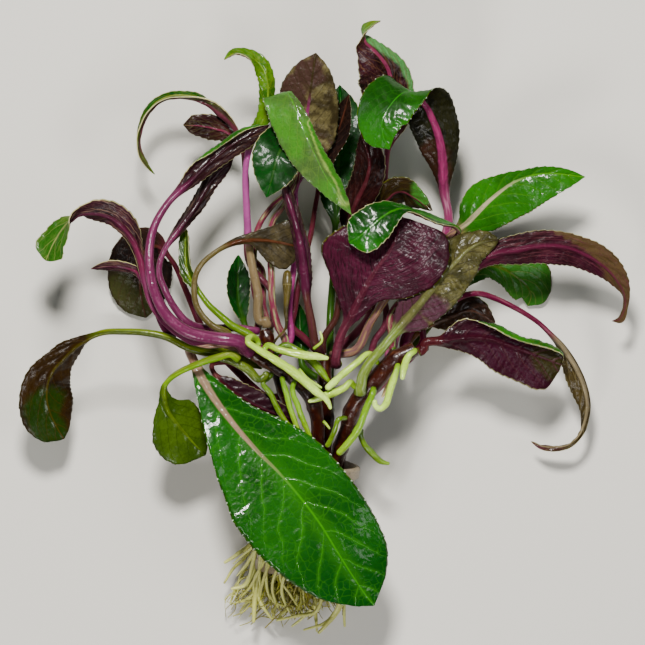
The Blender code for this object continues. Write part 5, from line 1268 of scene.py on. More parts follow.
# %% The leaf behind the bluish one
grow_leaf(
    "leaf_behind_glaucous", WITHERED_BACK, SHADED_BACK, "leaf_green",
    stalk=(1.2, 0.4), foot=0.168,
    route=[
        (0.1, -10.1, 26.9), (-0.4, -9.6, 25.2), (-3.8, -6.2, 25.2), (-7.2, -2.8, 25.2), (-10.8, 0.5, 25),
        (-10, 5.5, 24), (-8.8, 13, 23), (-7.2, 20.7, 22), (-4.5, 31, 21), (-2.5, 43, 21),
        (1.3, 59.3, 22.5), (4.7, 66, 24), (7, 73, 25.5), (8.3, 78, 27),
    ],
    widths=[(0.626, 1.2), (0.767, 4.2), (0.917, 4), (1, 0.5)],
    faces=[
        (0, -0.75, 0.54, 0.38), (0.019, -0.28, 0.14, 0.95), (0.068, -0.07, -0.07, 1),
        (0.118, -0.08, -0.05, 1), (0.168, -0.3, 0, 1), (0.183, -0.3, 0, 1), (0.198, -0.3, 0, 1),
    ],
    folds=[(0, 20)],
    vein_slope=1.8, seed=39,
)

# %% The dark leaf
grow_leaf(
    "leaf_centre_dark", GREEN_FACE, SHADED_BACK, "leaf_wine",
    stalk=(1.2, 0.5), foot=0.05,
    route=[
        (-0.4, -8.5, 28.6), (-0.4, -4.6, 29), (4, 3.5, 29), (5.3, 13, 28.5), (6.3, 25, 28),
        (8.7, 36, 28.8), (11.4, 43.2, 30), (14.2, 49.3, 31.3), (15.3, 54.5, 32.5), (14.3, 60, 35),
        (12.3, 65, 38),
    ],
    widths=[(0.477, 1.2), (0.62, 4.5), (0.791, 5.6), (0.924, 4), (1, 0.4)],
    faces=[(0.05, 0, 0, -1), (0.857, 0.1, 0.2, -1), (1, 0.2, 0.7, -0.4)],
    folds=[(0, 12)],
    vein_slope=1.8, tooth_gap=2.4, seed=41,
)

# %% The broad purple leaf
grow_leaf(
    "leaf_centre_purple", GREEN_FACE, QUILTED_BACK, "leaf_wine",
    stalk=(1.75, 0.5), foot=0.041, step=0.45,
    route=[
        (2.6, -11.6, 31.1), (4.4, -12, 31.6), (4.2, -12, 32), (4.8, -5.5, 33.3), (6.4, -0.7, 34.5),
        (8.7, 3.2, 35.7), (10.9, 7.7, 36.8), (13.1, 12.1, 37.7), (15.9, 17.1, 38.5), (19.2, 22.1, 39),
        (22, 26, 39), (24.8, 32.1, 38.3), (26, 37, 37),
    ],
    widths=[
        (0.252, 1.9, 1.9), (0.338, 3.6, 3), (0.415, 7.4, 4.4), (0.501, 13, 6.8), (0.597, 19.5, 13.4),
        (0.703, 18.5, 17.3), (0.799, 15, 19.6), (0.904, 10, 18.5), (0.962, 6, 14.5), (1, 1, 7),
    ],
    faces=[
        (0, 0.31, 0.22, -0.93), (0.033, 0.51, 0.17, -0.84), (0.041, 0, 0, -1), (0.056, 0, 0.003, -1),
        (0.071, 0, 0.006, -1), (1, 0, 0.2, -1),
    ],
    folds=[(0, 5, -3)],
    vein_gap=5.5, vein_slope=0.9, vein_relief=0.28, pucker_size=4.0, wave=0.6, wave_length=13.0,
    tooth_gap=2.4, rib_depth=1.2, seed=43,
)

# %% The glossy leaf over it
grow_leaf(
    "leaf_centre_glossy", GLOSSY_FACE, WINE_BACK, "leaf_green",
    stalk=(1.3, 0.4), foot=0.114,
    route=[
        (23.4, -7.7, 27.7), (22.8, -7.2, 26), (22.8, -2.6, 26), (22, 2, 26), (31, 14.5, 25),
        (40.5, 27, 25.5), (45, 32, 29), (43, 34.5, 34), (38.5, 35.8, 37), (34.2, 37.4, 39.2),
        (30.3, 38.9, 41), (26.4, 39.9, 42.8), (23.1, 39.1, 44.3), (19.8, 37.2, 45.4), (15.9, 34, 46.2),
        (12.2, 30.8, 46.5), (8.3, 28.3, 46),
    ],
    widths=[
        (0.513, 1.3), (0.592, 2), (0.663, 2.9), (0.734, 2.3), (0.787, 3.6), (0.849, 5.8), (0.92, 7),
        (0.973, 5.5), (1, 1.5),
    ],
    faces=[
        (0, 0.39, -0.83, -0.38), (0.019, 0, -0.32, -0.95), (0.066, -0.04, 0, -1), (0.114, 0, 0, -1),
        (0.129, 0.037, 0.009, -0.976), (0.144, 0.082, 0.013, -0.958), (0.486, 0.8, 0.3, -0.3),
        (0.557, 0.3, 0.8, 0.4), (0.681, 0, 0.85, 0.5), (0.752, 0, 0.9, 0.4), (0.823, -0.1, 0.4, 0.9),
        (1, -0.1, 0.1, 1),
    ],
    vein_gap=4.0, vein_slope=1.4, wave_length=6.0, pucker=0.22, pucker_size=4.0, seed=45,
)

# %% [markdown]
# ## The leaves at the top right
#
# Two leaves bend over like hoods. The one in front shows a smooth, saturated green face with a
# sharply toothed margin, and further back its dark olive underside with a bright magenta midrib. The
# one behind has a whitish green fold over a ribbed purple underside, and a yellowish twisted tip.

# %% Finishes: the leaves at the top right
FLAP_GREEN_FACE = leaf_finish(
    "flap_green_face", base=(24, 84, 3), mottle=(14, 52, 3), vein=(30, 101, 3), rib=(30, 100, 8),
    stalk=(63, 94, 3), margin=(81, 92, 8), nets=0.2, net_size=3.0, veins=0.25, mottle_size=6.0, wet=0.4,
    crinkle=0.6, margin_width=0.03, rib_width=0.35,
)
OLIVE_DARK_BACK = leaf_finish(
    "olive_dark_back", base=(19, 19, 3), mottle=(7, 7, 3), vein=(32, 31, 3), rib=(115, 32, 72),
    stalk=(122, 45, 82), stalk_streak=(160, 105, 125), patch=(37, 17, 10), margin=(38, 43, 3), nets=0.4,
    veins=0.5, ridges=0.3, rib_width=1.15, wet=0.25, gloss=0.42,
)
HOOD_FACE = leaf_finish(
    "hood_face", base=(32, 95, 31), mottle=(40, 87, 26), vein=(81, 120, 58), rib=(96, 126, 45),
    stalk=(73, 112, 6), tip=(87, 103, 3), margin=(96, 126, 74), tip_from=0.7, nets=0.15,
)
HOOD_BACK = leaf_finish(
    "hood_back", base=(42, 14, 22), mottle=(20, 6, 7), vein=(84, 55, 33), rib=(107, 35, 62),
    stalk=(98, 40, 55), patch=(62, 118, 58), tip=(94, 87, 3), tip_from=0.75, ridges=0.6, nets=0.1,
)
BROWN_BACK = leaf_finish(
    "brown_back", base=(38, 26, 11), mottle=(17, 14, 3), vein=(57, 49, 13), rib=(72, 26, 36),
    stalk=(80, 30, 45), patch=(40, 92, 28), margin=(81, 83, 14), ridges=0.4,
)

# %% The hood
grow_leaf(
    "leaf_top_hood", HOOD_FACE, HOOD_BACK, "leaf_wine",
    stalk=(1.4, 0.5), foot=0.172,
    route=[
        (0.3, -14.3, 25.6), (0.4, -13.6, 23.6), (3.8, -9.8, 22.2), (6.9, -5.6, 22), (10.6, -1.8, 22),
        (14, 2, 23), (17, 16, 21), (19, 30, 20), (20, 45, 20.5), (21.3, 60, 23), (22.2, 70, 26),
        (22.6, 78.8, 29), (22.3, 82.7, 30.5), (21.2, 86.6, 32), (18.7, 90.4, 33.5), (15.3, 93.8, 35),
        (12.9, 96.3, 36.5), (13.2, 99, 38.5), (16.4, 101.2, 40), (18.9, 102.3, 41),
    ],
    widths=[
        (0.586, 1.5, 1.5), (0.669, 7, 6), (0.752, 11, 7.5), (0.801, 11, 7), (0.834, 10, 5.5),
        (0.868, 8.5, 4), (0.901, 5, 3), (0.925, 3, 2.5), (0.959, 2.6, 2.4), (1, 0.3, 0.3),
    ],
    faces=[
        (0, -0.41, -0.85, -0.32), (0.016, -0.28, -0.43, -0.86), (0.055, -0.06, -0.15, -0.99),
        (0.094, 0.02, -0.04, -1), (0.133, 0.09, 0.04, -0.99), (0.172, 0, 0, -1),
        (0.187, 0.002, 0.001, -1.001), (0.202, 0.006, 0.001, -1.003), (0.793, 0, 0.1, -1),
        (0.876, -0.4, 0.4, -0.8), (0.942, -0.5, 0.6, 0.5), (1, 0, 0.8, 0.6),
    ],
    folds=[(0, 10)],
    vein_gap=6.0, vein_slope=2.2, wave_length=8.0, seed=47,
    patches=[(0.69 + 0.015 * k, -1, 2.4 + 0.07 * k) for k in range(16)],
)

# %% The flap at the top right
grow_leaf(
    "leaf_top_right_arch", FLAP_GREEN_FACE, OLIVE_DARK_BACK, "leaf_green",
    stalk=(2, 0.6), foot=0.203,
    route=[
        (11.9, -25.3, 22.1), (12.4, -24.8, 19.6), (16.3, -20.9, 18.8), (20.2, -16.9, 18.8),
        (22, -11.8, 18.8), (22.6, -6.3, 18.9), (24, -1, 19.5), (31, 12, 18), (38, 24, 18.5),
        (41.7, 36.6, 22), (40.3, 44.9, 25), (39.9, 51.6, 27.5), (39.5, 58.2, 29.5), (38.1, 64.9, 31.5),
        (36.2, 69.9, 33), (33.7, 74.9, 35), (30.9, 78.2, 37.5), (28, 78.9, 40.5), (25.3, 77.6, 43.3),
        (22, 74, 45.3), (19.3, 69, 46.3), (19.6, 64, 46.5), (21.8, 59.2, 46),
    ],
    widths=[
        (0.506, 1.9, 1.9), (0.578, 3, 2.8), (0.633, 6.4, 5), (0.681, 8.2, 7.1), (0.729, 8.3, 8.3),
        (0.769, 7.5, 8.8), (0.809, 7, 8.5), (0.857, 9, 8), (0.904, 9.9, 8.3), (0.944, 7.8, 7),
        (0.976, 5, 3.9), (1, 0.5, 0.5),
    ],
    faces=[
        (0, -0.7, -0.66, -0.27), (0.017, -0.35, -0.32, -0.88), (0.055, -0.07, -0.04, -1),
        (0.092, -0.02, 0.01, -1), (0.129, -0.02, 0.01, -1), (0.166, -0.01, 0.07, -1), (0.203, 0, 0, -1),
        (0.218, 0.004, 0, -1.002), (0.233, 0.01, -0.005, -1.008), (0.681, 0.1, 0.1, -1),
        (0.761, -0.1, 0.7, -0.6), (0.801, -0.2, 1, 0.1), (0.841, -0.1, 0.5, 0.85), (0.888, 0, 0.1, 1),
        (1, 0, 0.1, 1),
    ],
    folds=[(0.203, 10), (1, 5)],
    vein_gap=5.5, vein_slope=1.6, tooth_gap=2.4, wave=0.4, wave_length=12.0, pucker=0.4,
    vein_relief=0.22, seed=49,
    patches=[(0.5, 0.4, 6), (0.56, 0.3, 5)],
)

# %% The brown leaf behind it
grow_leaf(
    "leaf_behind_right", GREEN_FACE, BROWN_BACK, "leaf_wine",
    stalk=(1.2, 0.4), foot=0.265,
    route=[
        (14.6, -20.7, 24.4), (14.8, -20, 22.8), (14.8, -14.7, 22.8), (15.7, -9.5, 22.8),
        (16.9, -4.3, 22.8), (20, 0, 22.8), (18.5, 18, 22.8), (18.5, 32, 23.5), (20.3, 42.5, 25),
        (25, 46, 27.5), (31.5, 43, 31), (36.3, 39, 33.4),
    ],
    widths=[(0.632, 1.2), (0.75, 5.5), (0.89, 5), (1, 0.5)],
    faces=[
        (0, -0.15, -0.9, -0.41), (0.02, -0.01, -0.26, -0.97), (0.081, 0, 0, -1), (0.142, 0, 0, -1),
        (0.203, 0, 0, -1), (0.265, 0, 0, -1), (0.28, -0.011, 0.021, -0.993),
        (0.295, -0.024, 0.043, -0.986), (0.706, -0.3, 0.6, -0.8), (1, 0.3, 0.5, -0.8),
    ],
    vein_slope=1.8, seed=51,
    patches=[(0.9, 0.7, 4)],
)

# %% [markdown]
# ## The leaves on the right
#
# A bright green leaf points out with a whitish midrib that narrows to nothing. Below it a long wine
# red one bows down, tan along its outer margin, and a withered brown one curls round on a pink
# stalk. The grey olive leaf in front is seen from below and still has a green stalk, and the lowest
# one has rolled its upper margin over so far that a green strip lies along it.

# %% Finishes: the leaves on the right
BRIGHT_GREEN_FACE = leaf_finish(
    "bright_green_face", base=(28, 90, 3), mottle=(20, 70, 4), vein=(56, 112, 3), rib=(150, 142, 108),
    stalk=(98, 64, 66), stalk_streak=(150, 127, 66), margin=(117, 107, 34), nets=0.15, veins=0.35,
    mottle_size=6.0, wet=0.7, gloss=0.3, crinkle=0.8, margin_width=0.03, glow=0.15, rib_fades=(0.4, 0.7),
)
WINE_TAN_BACK = leaf_finish(
    "wine_tan_back", base=(46, 7, 24), mottle=(30, 4, 12), vein=(74, 34, 40), rib=(72, 17, 40),
    stalk=(77, 5, 41), stalk_streak=(103, 38, 58), patch=(64, 49, 26), gloss=0.46, ridges=0.7, veins=0.3,
    nets=0.15, mottle_size=4.0, margin_width=0.04, wet=0.1, rib_fades=(0.55, 0.9),
)
GREY_OLIVE_BACK = leaf_finish(
    "grey_olive_back", base=(79, 75, 40), mottle=(44, 42, 14), vein=(34, 28, 12), rib=(84, 84, 46),
    stalk=(89, 107, 34), stalk_streak=(129, 141, 101), patch=(64, 34, 46), margin=(79, 84, 15), nets=0.6,
    net_size=1.8, veins=0.75, mottle_size=1.6, crinkle=1.1, margin_width=0.04, wrinkles=0.5, wet=0.4,
)
ROLLED_BACK = leaf_finish(
    "rolled_back", base=(44, 6, 24), mottle=(27, 3, 10), vein=(52, 24, 28), rib=(46, 10, 22),
    stalk=(52, 11, 17), stalk_streak=(77, 30, 29), patch=(36, 33, 6), nets=0.25, net_size=1.8, veins=0.7,
    vein_width=0.06, ridges=0.25, mottle_size=4.0, wrinkles=0.6, wet=0.35,
)
CURL_BACK = leaf_finish(
    "curl_back", base=(52, 42, 18), mottle=(34, 26, 8), vein=(92, 82, 52), rib=(112, 100, 74),
    stalk=(77, 5, 38), stalk_streak=(111, 56, 72), tip=(66, 16, 40), tip_from=0.82, ridges=0.5, nets=0.2,
    wet=0.3,
)
DARK_GREEN_FACE = leaf_finish(
    "dark_green_face", base=(40, 94, 22), mottle=(24, 62, 14), vein=(80, 100, 40), rib=(66, 89, 21),
    stalk=(57, 66, 3), margin=(79, 43, 3), nets=0.15, veins=0.7, vein_width=0.06, mottle_size=5.0,
    wet=0.3, crinkle=0.8,
)
RED_BROWN_BACK = leaf_finish(
    "red_brown_back", base=(40, 24, 16), mottle=(22, 12, 8), vein=(58, 34, 22), rib=(56, 34, 24),
    stalk=(97, 59, 27), patch=(52, 77, 3), margin=(108, 123, 22), nets=0.4, veins=0.4, mottle_size=2.5,
    crinkle=1.5,
)

# %% The bright green leaf
grow_leaf(
    "leaf_right_green", BRIGHT_GREEN_FACE, WINE_BACK, "leaf_green",
    stalk=(1.5, 0.6), foot=0.065,
    route=[
        (2.6, -9.2, 28), (4.4, -8.8, 26.8), (9.5, -8, 27), (16, 2.7, 30), (20.3, 9.3, 29.5),
        (27, 17.7, 26), (35.3, 25.8, 22.7), (43.7, 32, 23), (47.6, 34.9, 24.5), (50.9, 38.2, 26.3),
        (54.8, 42.1, 28), (58.7, 45.4, 29), (63.1, 48.5, 29.7), (67.6, 50.4, 30), (72, 51.4, 30),
        (77, 51.6, 30), (82, 51.1, 29.5), (87.3, 50.4, 28.7),
    ],
    widths=[
        (0.514, 1.9, 1.9), (0.589, 5, 4), (0.635, 8, 6.8), (0.686, 9.8, 8), (0.732, 10.8, 6.6),
        (0.779, 11.5, 4.4), (0.823, 11, 2.8), (0.863, 10, 2.6), (0.907, 8, 2.4), (0.952, 4.6, 1.8),
        (1, 0.3, 0.3),
    ],
    faces=[(0, 0, 0, 1)],
    folds=[(0, 4, 15)],
    vein_gap=6.5, vein_slope=1.5, vein_bow=0.4, wave=0.35, wave_length=16.0, pucker=0.3, rib_end=0.7,
    rib_depth=1.0, seed=53,
)

# %% The arch on the right
grow_leaf(
    "leaf_right_arch", GREEN_FACE, WINE_TAN_BACK, "leaf_wine",
    stalk=(1.8, 0.4), foot=0.042,
    route=[
        (25.2, -8.5, 31.8), (26.8, -7.2, 33.2), (27, -5, 33), (38, 9, 30), (47, 17.5, 28.5),
        (56.4, 24.6, 29), (64.2, 26.3, 29.7), (73.1, 27.6, 30), (82, 26.8, 29), (86.4, 25.2, 28),
        (90.9, 22.7, 26.8), (95.3, 19.3, 25), (98.7, 15.4, 23), (100.7, 11.6, 21.3), (101.1, 8.5, 20),
        (100.5, 5.3, 19), (99.3, 2.9, 18.3), (96.4, 2.3, 17.7),
    ],
    widths=[
        (0.31, 1.9, 1.9), (0.425, 4, 4), (0.492, 5, 5.3), (0.574, 5.3, 6.5), (0.655, 5, 6.5),
        (0.741, 5.6, 5.2), (0.799, 5, 4), (0.847, 3.7, 2.8), (0.895, 1.7, 1.2), (0.933, 1, 1),
        (0.971, 1.4, 1.2), (1, 0.3, 0.3),
    ],
    faces=[(0.042, 0, 0, -1), (0.856, 0.3, 0.2, -0.95), (1, 0.6, 0, -0.6)],
    vein_gap=8.0, vein_slope=2.4, wave=0.3, pucker=0.3, vein_relief=0.25, seed=55,
    patches=[(0.6 + 0.025 * k, 1 - 0.07 * k, 2 + 0.45 * k) for k in range(16)],
)

# %% The grey olive leaf
grow_leaf(
    "leaf_right_olive", GREEN_FACE, GREY_OLIVE_BACK, "leaf_olive",
    stalk=(1.85, 0.5), foot=0.041, step=0.45,
    route=[
        (12.8, -20.9, 39), (11.6, -20.8, 41.2), (11.9, -20.4, 41), (12.8, -16.2, 42),
        (14.8, -12.2, 42.7), (19.8, -6.2, 43), (25.3, 0.4, 42), (30.9, 6.6, 39), (36.4, 13.2, 36.3),
        (41.4, 19.3, 34.5), (44.2, 22.1, 34.2), (47.6, 25.6, 33.5), (52, 28.2, 32.8), (58.5, 29.6, 32),
    ],
    widths=[
        (0.309, 1.9, 1.9), (0.376, 4, 3.5), (0.444, 5.8, 6.5), (0.52, 8.4, 7.9), (0.616, 9.5, 9),
        (0.712, 10, 9), (0.808, 8.5, 7.5), (0.885, 5.5, 5.5), (0.952, 3.5, 4), (1, 0.8, 0.8),
    ],
    faces=[
        (0, -0.56, 0.76, -0.34), (0.033, -0.51, 0.75, -0.42), (0.041, 0.1, 0, -1),
        (0.056, 0.102, 0.002, -1), (0.071, 0.103, 0.003, -1), (1, 0.2, 0.1, -1),
    ],
    folds=[(0.041, 5, 5), (0.376, 14, 8), (0.52, 24, 8), (1, 8, 5)],
    vein_gap=5.5, vein_relief=0.25, pucker_size=4.0, seed=57,
    patches=[(0.36, 0.5, 8), (0.46, 0.6, 8), (0.4, -0.5, 6), (0.52, -0.6, 6)],
)

# %% The rolled leaf
grow_leaf(
    "leaf_lower_right", GREEN_FACE, ROLLED_BACK, "leaf_wine",
    stalk=(1.6, 0.5), foot=0.067, step=0.45,
    route=[
        (31.6, -7.9, 37.4), (33.2, -7.2, 37.2), (33.5, -5.5, 37.5), (39.8, -4.3, 36.5),
        (45.3, -3.4, 35.5), (50.9, -3.2, 34.3), (55.3, -3.7, 33.2), (59.8, -5.1, 32), (64.2, -6.8, 30.8),
        (68.7, -8.4, 29.5), (74, -10.3, 28), (79.4, -12.3, 26.5),
    ],
    widths=[
        (0.123, 1.7, 1.7), (0.254, 4.5, 3.7), (0.347, 8, 5.5), (0.459, 9, 7.8), (0.58, 8.8, 9.8),
        (0.701, 8.8, 10.4), (0.813, 9, 10.7), (0.907, 8.5, 10.8), (0.972, 6.5, 9), (1, 3, 7),
    ],
    faces=[(0.067, 0, 0.1, -1), (1, 0.1, 0, -1)],
    curls=[(0.067, 0, 0), (0.254, -20, 0), (0.487, -170, 0), (0.813, -180, 0), (1, -150, 0)],
    vein_gap=6.5, vein_slope=0.9, vein_relief=0.3, pucker=0.3, pucker_size=4.0, seed=59,
    patches=[(0.88, 0, 6), (0.95, -0.2, 5)],
)

# %% The long curl
grow_leaf(
    "leaf_right_curl", WINE_BACK, CURL_BACK, "leaf_wine",
    stalk=(1.15, 0.4), foot=0.129,
    route=[
        (25.3, -10.2, 29.6), (26.8, -11.2, 29.2), (30.5, -8.2, 29.2), (33, -4.3, 29.2), (33, 0.5, 29),
        (40, 6.3, 27.5), (44.5, 9.8, 27), (48.1, 11.2, 26.8), (52.6, 11.4, 26.5), (56.4, 10.2, 26),
        (62, 7.7, 25), (67.6, 4.6, 24), (72, 1.6, 23), (75.9, -2.1, 22), (79.8, -6.2, 20.7),
        (83.1, -10.9, 19.5), (85.9, -16.2, 18.3), (87.8, -21.8, 17), (88.4, -26.2, 16),
        (87.8, -30.7, 15), (86.7, -34.6, 14), (84.8, -37.6, 13.2), (82, -39.8, 12.4),
        (78.7, -40.4, 11.6), (74, -40.2, 10.6), (69.5, -38.2, 9.7),
    ],
    widths=[
        (0.495, 1.1, 1.1), (0.582, 1.1, 2.2), (0.651, 1.2, 4.8), (0.73, 1.2, 4.6), (0.8, 1.1, 2),
        (0.861, 1.2, 1.4), (0.948, 1.6, 1.8), (1, 0.3, 0.3),
    ],
    faces=[
        (0, -0.04, 0.31, -0.95), (0.015, -0.23, 0.43, -0.87), (0.053, -0.4, 0.36, -0.84),
        (0.09, -0.56, 0.14, -0.81), (0.129, 0.2, 0.6, -0.6), (0.144, 0.196, 0.586, -0.611),
        (0.159, 0.193, 0.572, -0.622), (0.564, 0.1, 0.2, -0.9), (0.782, 0.1, 0, -0.9),
        (0.869, 0.5, -0.6, -0.4), (1, 0.1, -0.8, -0.5),
    ],
    folds=[(0, 10)],
    vein_gap=7.0, vein_slope=2.5, wave=0.3, seed=61,
)

# %% The dark green leaf that touches the table
grow_leaf(
    "leaf_right_dark", DARK_GREEN_FACE, WINE_BACK, "leaf_dark_green",
    stalk=(1.3, 0.4), foot=0.135,
    route=[
        (19.8, -14.5, 27.1), (20.4, -14.4, 25.2), (23.8, -11.8, 25.2), (27, -9, 25), (38, 4, 19),
        (47, 14, 14.5), (55.3, 21, 10.5), (60.9, 19.6, 8), (64.8, 17.1, 6), (68.1, 14.3, 4.5),
        (69.8, 11, 3), (68.7, 7.3, 2),
    ],
    widths=[
        (0.524, 1.5, 1.5), (0.654, 4, 3), (0.775, 5.5, 4), (0.836, 6.5, 8), (0.896, 6.5, 10),
        (0.948, 5, 6.5), (1, 0.6, 0.6),
    ],
    faces=[
        (0, 0.83, 0.48, 0.29), (0.025, 0.27, 0.25, 0.93), (0.08, -0.02, 0.06, 1), (0.135, 0, 0, 1),
        (0.15, 0.003, 0.002, 1), (0.165, 0.007, 0.003, 1), (1, 0.2, 0.1, 1),
    ],
    folds=[(0, 8)],
    vein_slope=1.3, pucker=0.4, seed=63,
)

# %% The leaf in the shade
grow_leaf(
    "leaf_right_shaded", GREEN_FACE, RED_BROWN_BACK, "leaf_wine",
    stalk=(1.1, 0.4), foot=0.166,
    route=[
        (25.5, -8.4, 28.6), (26.8, -7.2, 28.4), (29.5, -3.3, 28), (36, 1.5, 25), (42.5, 4, 22.5),
        (49, 6, 21), (57.5, 1.8, 18),
    ],
    widths=[(0.333, 1.2), (0.583, 5), (0.833, 4.2), (1, 0.4)],
    faces=[(0.166, 0, 0, -1), (1, 0.2, 0.4, -0.8)],
    vein_gap=4.5, pucker=0.5, pucker_size=3.0, seed=65,
)

# %% [markdown]
# ## The leaves behind
#
# A few leaves lie under the others, and the tip of the longest one rests on the table. They are
# plain dark green. A dry sliver of an old leaf still hangs on the right stem.

# %% Finishes: the leaves behind
STRAW = leaf_finish(
    "dry_straw", base=(164, 144, 100), mottle=(122, 99, 64), vein=(185, 172, 130), rib=(177, 159, 106),
    stalk=(164, 144, 100), ridges=0.6, nets=0.0, veins=0.0, wet=0.1, gloss=0.6,
)

# %% The top leaf at the back
grow_leaf(
    "leaf_back_top", DEEP_GREEN_FACE, WINE_BACK, "leaf_dark_green",
    stalk=(1.3, 0.4), foot=0.273,
    route=[
        (1.3, -30.1, 19.7), (2, -29.6, 18), (2, -23.7, 18), (2, -17.8, 18), (2, -11.8, 18),
        (2, -5.9, 18), (2, 0, 18), (3, 18, 12.5), (4, 38, 7), (5, 58, 4), (5.7, 72, 2.5), (5.3, 82, 1.8),
    ],
    widths=[(0.564, 1.4), (0.709, 7), (0.855, 7.5), (0.949, 5), (1, 0.5)],
    faces=[
        (0, 0.53, 0.73, 0.43), (0.016, 0.04, 0.25, 0.97), (0.068, 0.01, 0, 1), (0.119, 0.01, 0, 1),
        (0.171, 0.01, 0, 1), (0.222, 0.01, 0, 1), (0.273, 0, 0, 1), (0.288, 0, 0, 1), (0.303, 0, 0, 1),
    ],
    folds=[(0, 6)],
    vein_gap=6.0, seed=67,
)

# %% The green leaf at the back
grow_leaf(
    "leaf_back_left_green", DEEP_GREEN_FACE, WINE_BACK, "leaf_dark_green",
    stalk=(1.2, 0.3), foot=0.073,
    route=[
        (-21.6, -4.6, 29.2), (-24, -4, 29), (-27, 2.7, 27), (-28.7, 9.3, 24), (-28.9, 16.7, 21),
        (-28.7, 24.5, 18),
    ],
    widths=[(0.259, 1.3), (0.537, 4), (0.815, 3.6), (1, 0.4)],
    faces=[(0, 0.3, 0, 1)],
    folds=[(0, 15)],
    vein_gap=6.0, seed=69,
)

# %% The green leaf in the crown
grow_leaf(
    "leaf_crown_green", DEEP_GREEN_FACE, WINE_BACK, "leaf_dark_green",
    stalk=(1.2, 0.3), foot=0.271,
    route=[
        (-1, -17.4, 25), (-2, -16.8, 23.6), (-7, -13, 23.5), (-7.6, -6, 22), (-8, 0, 20), (-8.3, 8, 18),
    ],
    widths=[(0.381, 1.5), (0.599, 4.2), (0.818, 3), (1, 0.3)],
    faces=[
        (0, -0.55, 0.55, 0.63), (0.061, -0.08, 0.22, 0.97), (0.271, 0, 0, 1), (0.286, 0, 0, 1),
        (0.301, 0, 0, 1),
    ],
    folds=[(0, 20)],
    vein_gap=6.0, seed=71,
)

# %% The dry sliver
grow_leaf(
    "leaf_dry_sliver", STRAW, STRAW, "root_straw",
    stalk=(0.5, 0.3), step=0.4,
    route=[(23.4, -15.2, 35.5), (21.8, -18.9, 34.8), (19.2, -23.2, 34)],
    widths=[(0, 0.6), (0.5, 1.2), (1, 0.3)],
    faces=[(0, 0.4, 0, 1)],
    vein_gap=6.0, seed=73,
)

# %% [markdown]
# ## Stems and short stalks
#
# The stems are fleshy, brown and shiny, with a pinkish light along them. Where a leaf dropped, a ring
# is left, so each stem swells a little at a few places. Two short stalks lost their leaves: one is
# green and one is pale and dry.

# %% The skin of a stem
RING_BEAT = 0.27
STEM_RELIEF = 0.0005


def stem_finish(name, base, dark, streak, ring):
    """The skin of a stem: lighter streaks along it, partly its own lines and partly a painted sheen, dark
    blotches and pale rings.
    """
    base, dark, streak, ring = (shade(*c) for c in (base, dark, streak, ring))
    material, tree, shader, where = start_finish(
        name, 0.3, coat=0.3, coat_roughness=0.12, specular=0.15
    )
    _, (_, around, along_mm) = mesh_values(tree, "marks")
    lengthwise = tree.nodes.new("ShaderNodeCombineXYZ")
    wave = work(tree, "SINE", times(tree, around, 2 * math.pi))
    plug(tree, lengthwise.inputs[0], times(tree, wave, 2.4))
    plug(tree, lengthwise.inputs[1], times(tree, along_mm, 0.16))
    streaks = grain(tree, lengthwise.outputs[0], 1.6, 4.0)
    blotches = grain(tree, where, 170.0, 4.0)
    fine = grain(tree, where, 1500.0, 3.0)
    colour = mix(tree, between(tree, blotches, 0.42, 0.66), base, dark)
    # The lighter streaks are partly the skin's own lines and partly a painted sheen along the stem.
    colour = mix(tree, times(tree, between(tree, streaks, 0.5, 0.72), 0.7), colour, streak)
    beat = work(tree, "ABSOLUTE", work(tree, "SINE", times(tree, along_mm, RING_BEAT)))
    rings = between(tree, beat, 0.07, 0.01)
    rings = times(tree, rings, between(tree, grain(tree, where, 90.0, 2.0), 0.5, 0.62))
    colour = mix(tree, times(tree, rings, 0.45), colour, ring)
    colour = mix(tree, times(tree, between(tree, fine, 0.5, 0.75), 0.35), colour, dark)
    plug(tree, shader.inputs["Base Color"], colour)
    height = plus(tree, times(tree, streaks, 1.2), times(tree, fine, 0.5))
    height = plus(tree, height, times(tree, rings, 0.4))
    raise_surface(tree, shader, height, STEM_RELIEF)
    return material


STEM_SKIN = stem_finish("stem_skin", (44, 12, 3), (28, 5, 3), (85, 45, 16), (120, 92, 70))
GREEN_STALK = stem_finish("green_stalk", (72, 89, 3), (47, 65, 3), (100, 113, 24), (170, 180, 120))
PALE_STALK = stem_finish("pale_stalk", (70, 59, 15), (40, 33, 4), (91, 81, 50), (150, 140, 90))
print("rings lie", round(math.pi / RING_BEAT, 1), "mm apart")

# %% Stems in front
STEM_SHAPE = {"sides": 24, "step": 0.5, "uneven": 0.035, "uneven_size": 4.0}


def grow_stem(name, **shape):
    return grow_tube(name, STEM_SKIN, "stem_brown", **STEM_SHAPE, **shape)


grow_stem(
    "stem_right", seed=80,
    route=[
        (30.3, -6.8, 39), (22.7, -11.5, 38.5), (18, -16.7, 37.3), (10, -26.3, 34), (7.7, -34, 30),
        (5.6, -40, 27), (3.5, -46, 25), (2.5, -50.5, 23.5),
    ],
    radii=[(0, 2.5), (0.1, 2.9), (0.5, 2.8), (1, 2.4)],
    swellings=[(0.12, 0.45, 1.6), (0.34, 0.3, 1.3), (0.55, 0.35, 1.5), (0.8, 0.25, 1.3)],
)
grow_stem(
    "stem_left", seed=81,
    route=[
        (-23.6, -8.6, 43), (-16.5, -12.7, 41.3), (-9.3, -17.5, 38.5), (-4, -24.3, 35), (-2.2, -31, 31.5),
        (-2.2, -38, 28), (-2.7, -45, 25), (-3.3, -50.5, 23),
    ],
    radii=[(0, 2.1), (0.5, 2.35), (1, 2.1)],
    swellings=[(0.08, 0.35, 1.4), (0.3, 0.3, 1.3), (0.52, 0.3, 1.3), (0.78, 0.25, 1.3)],
)

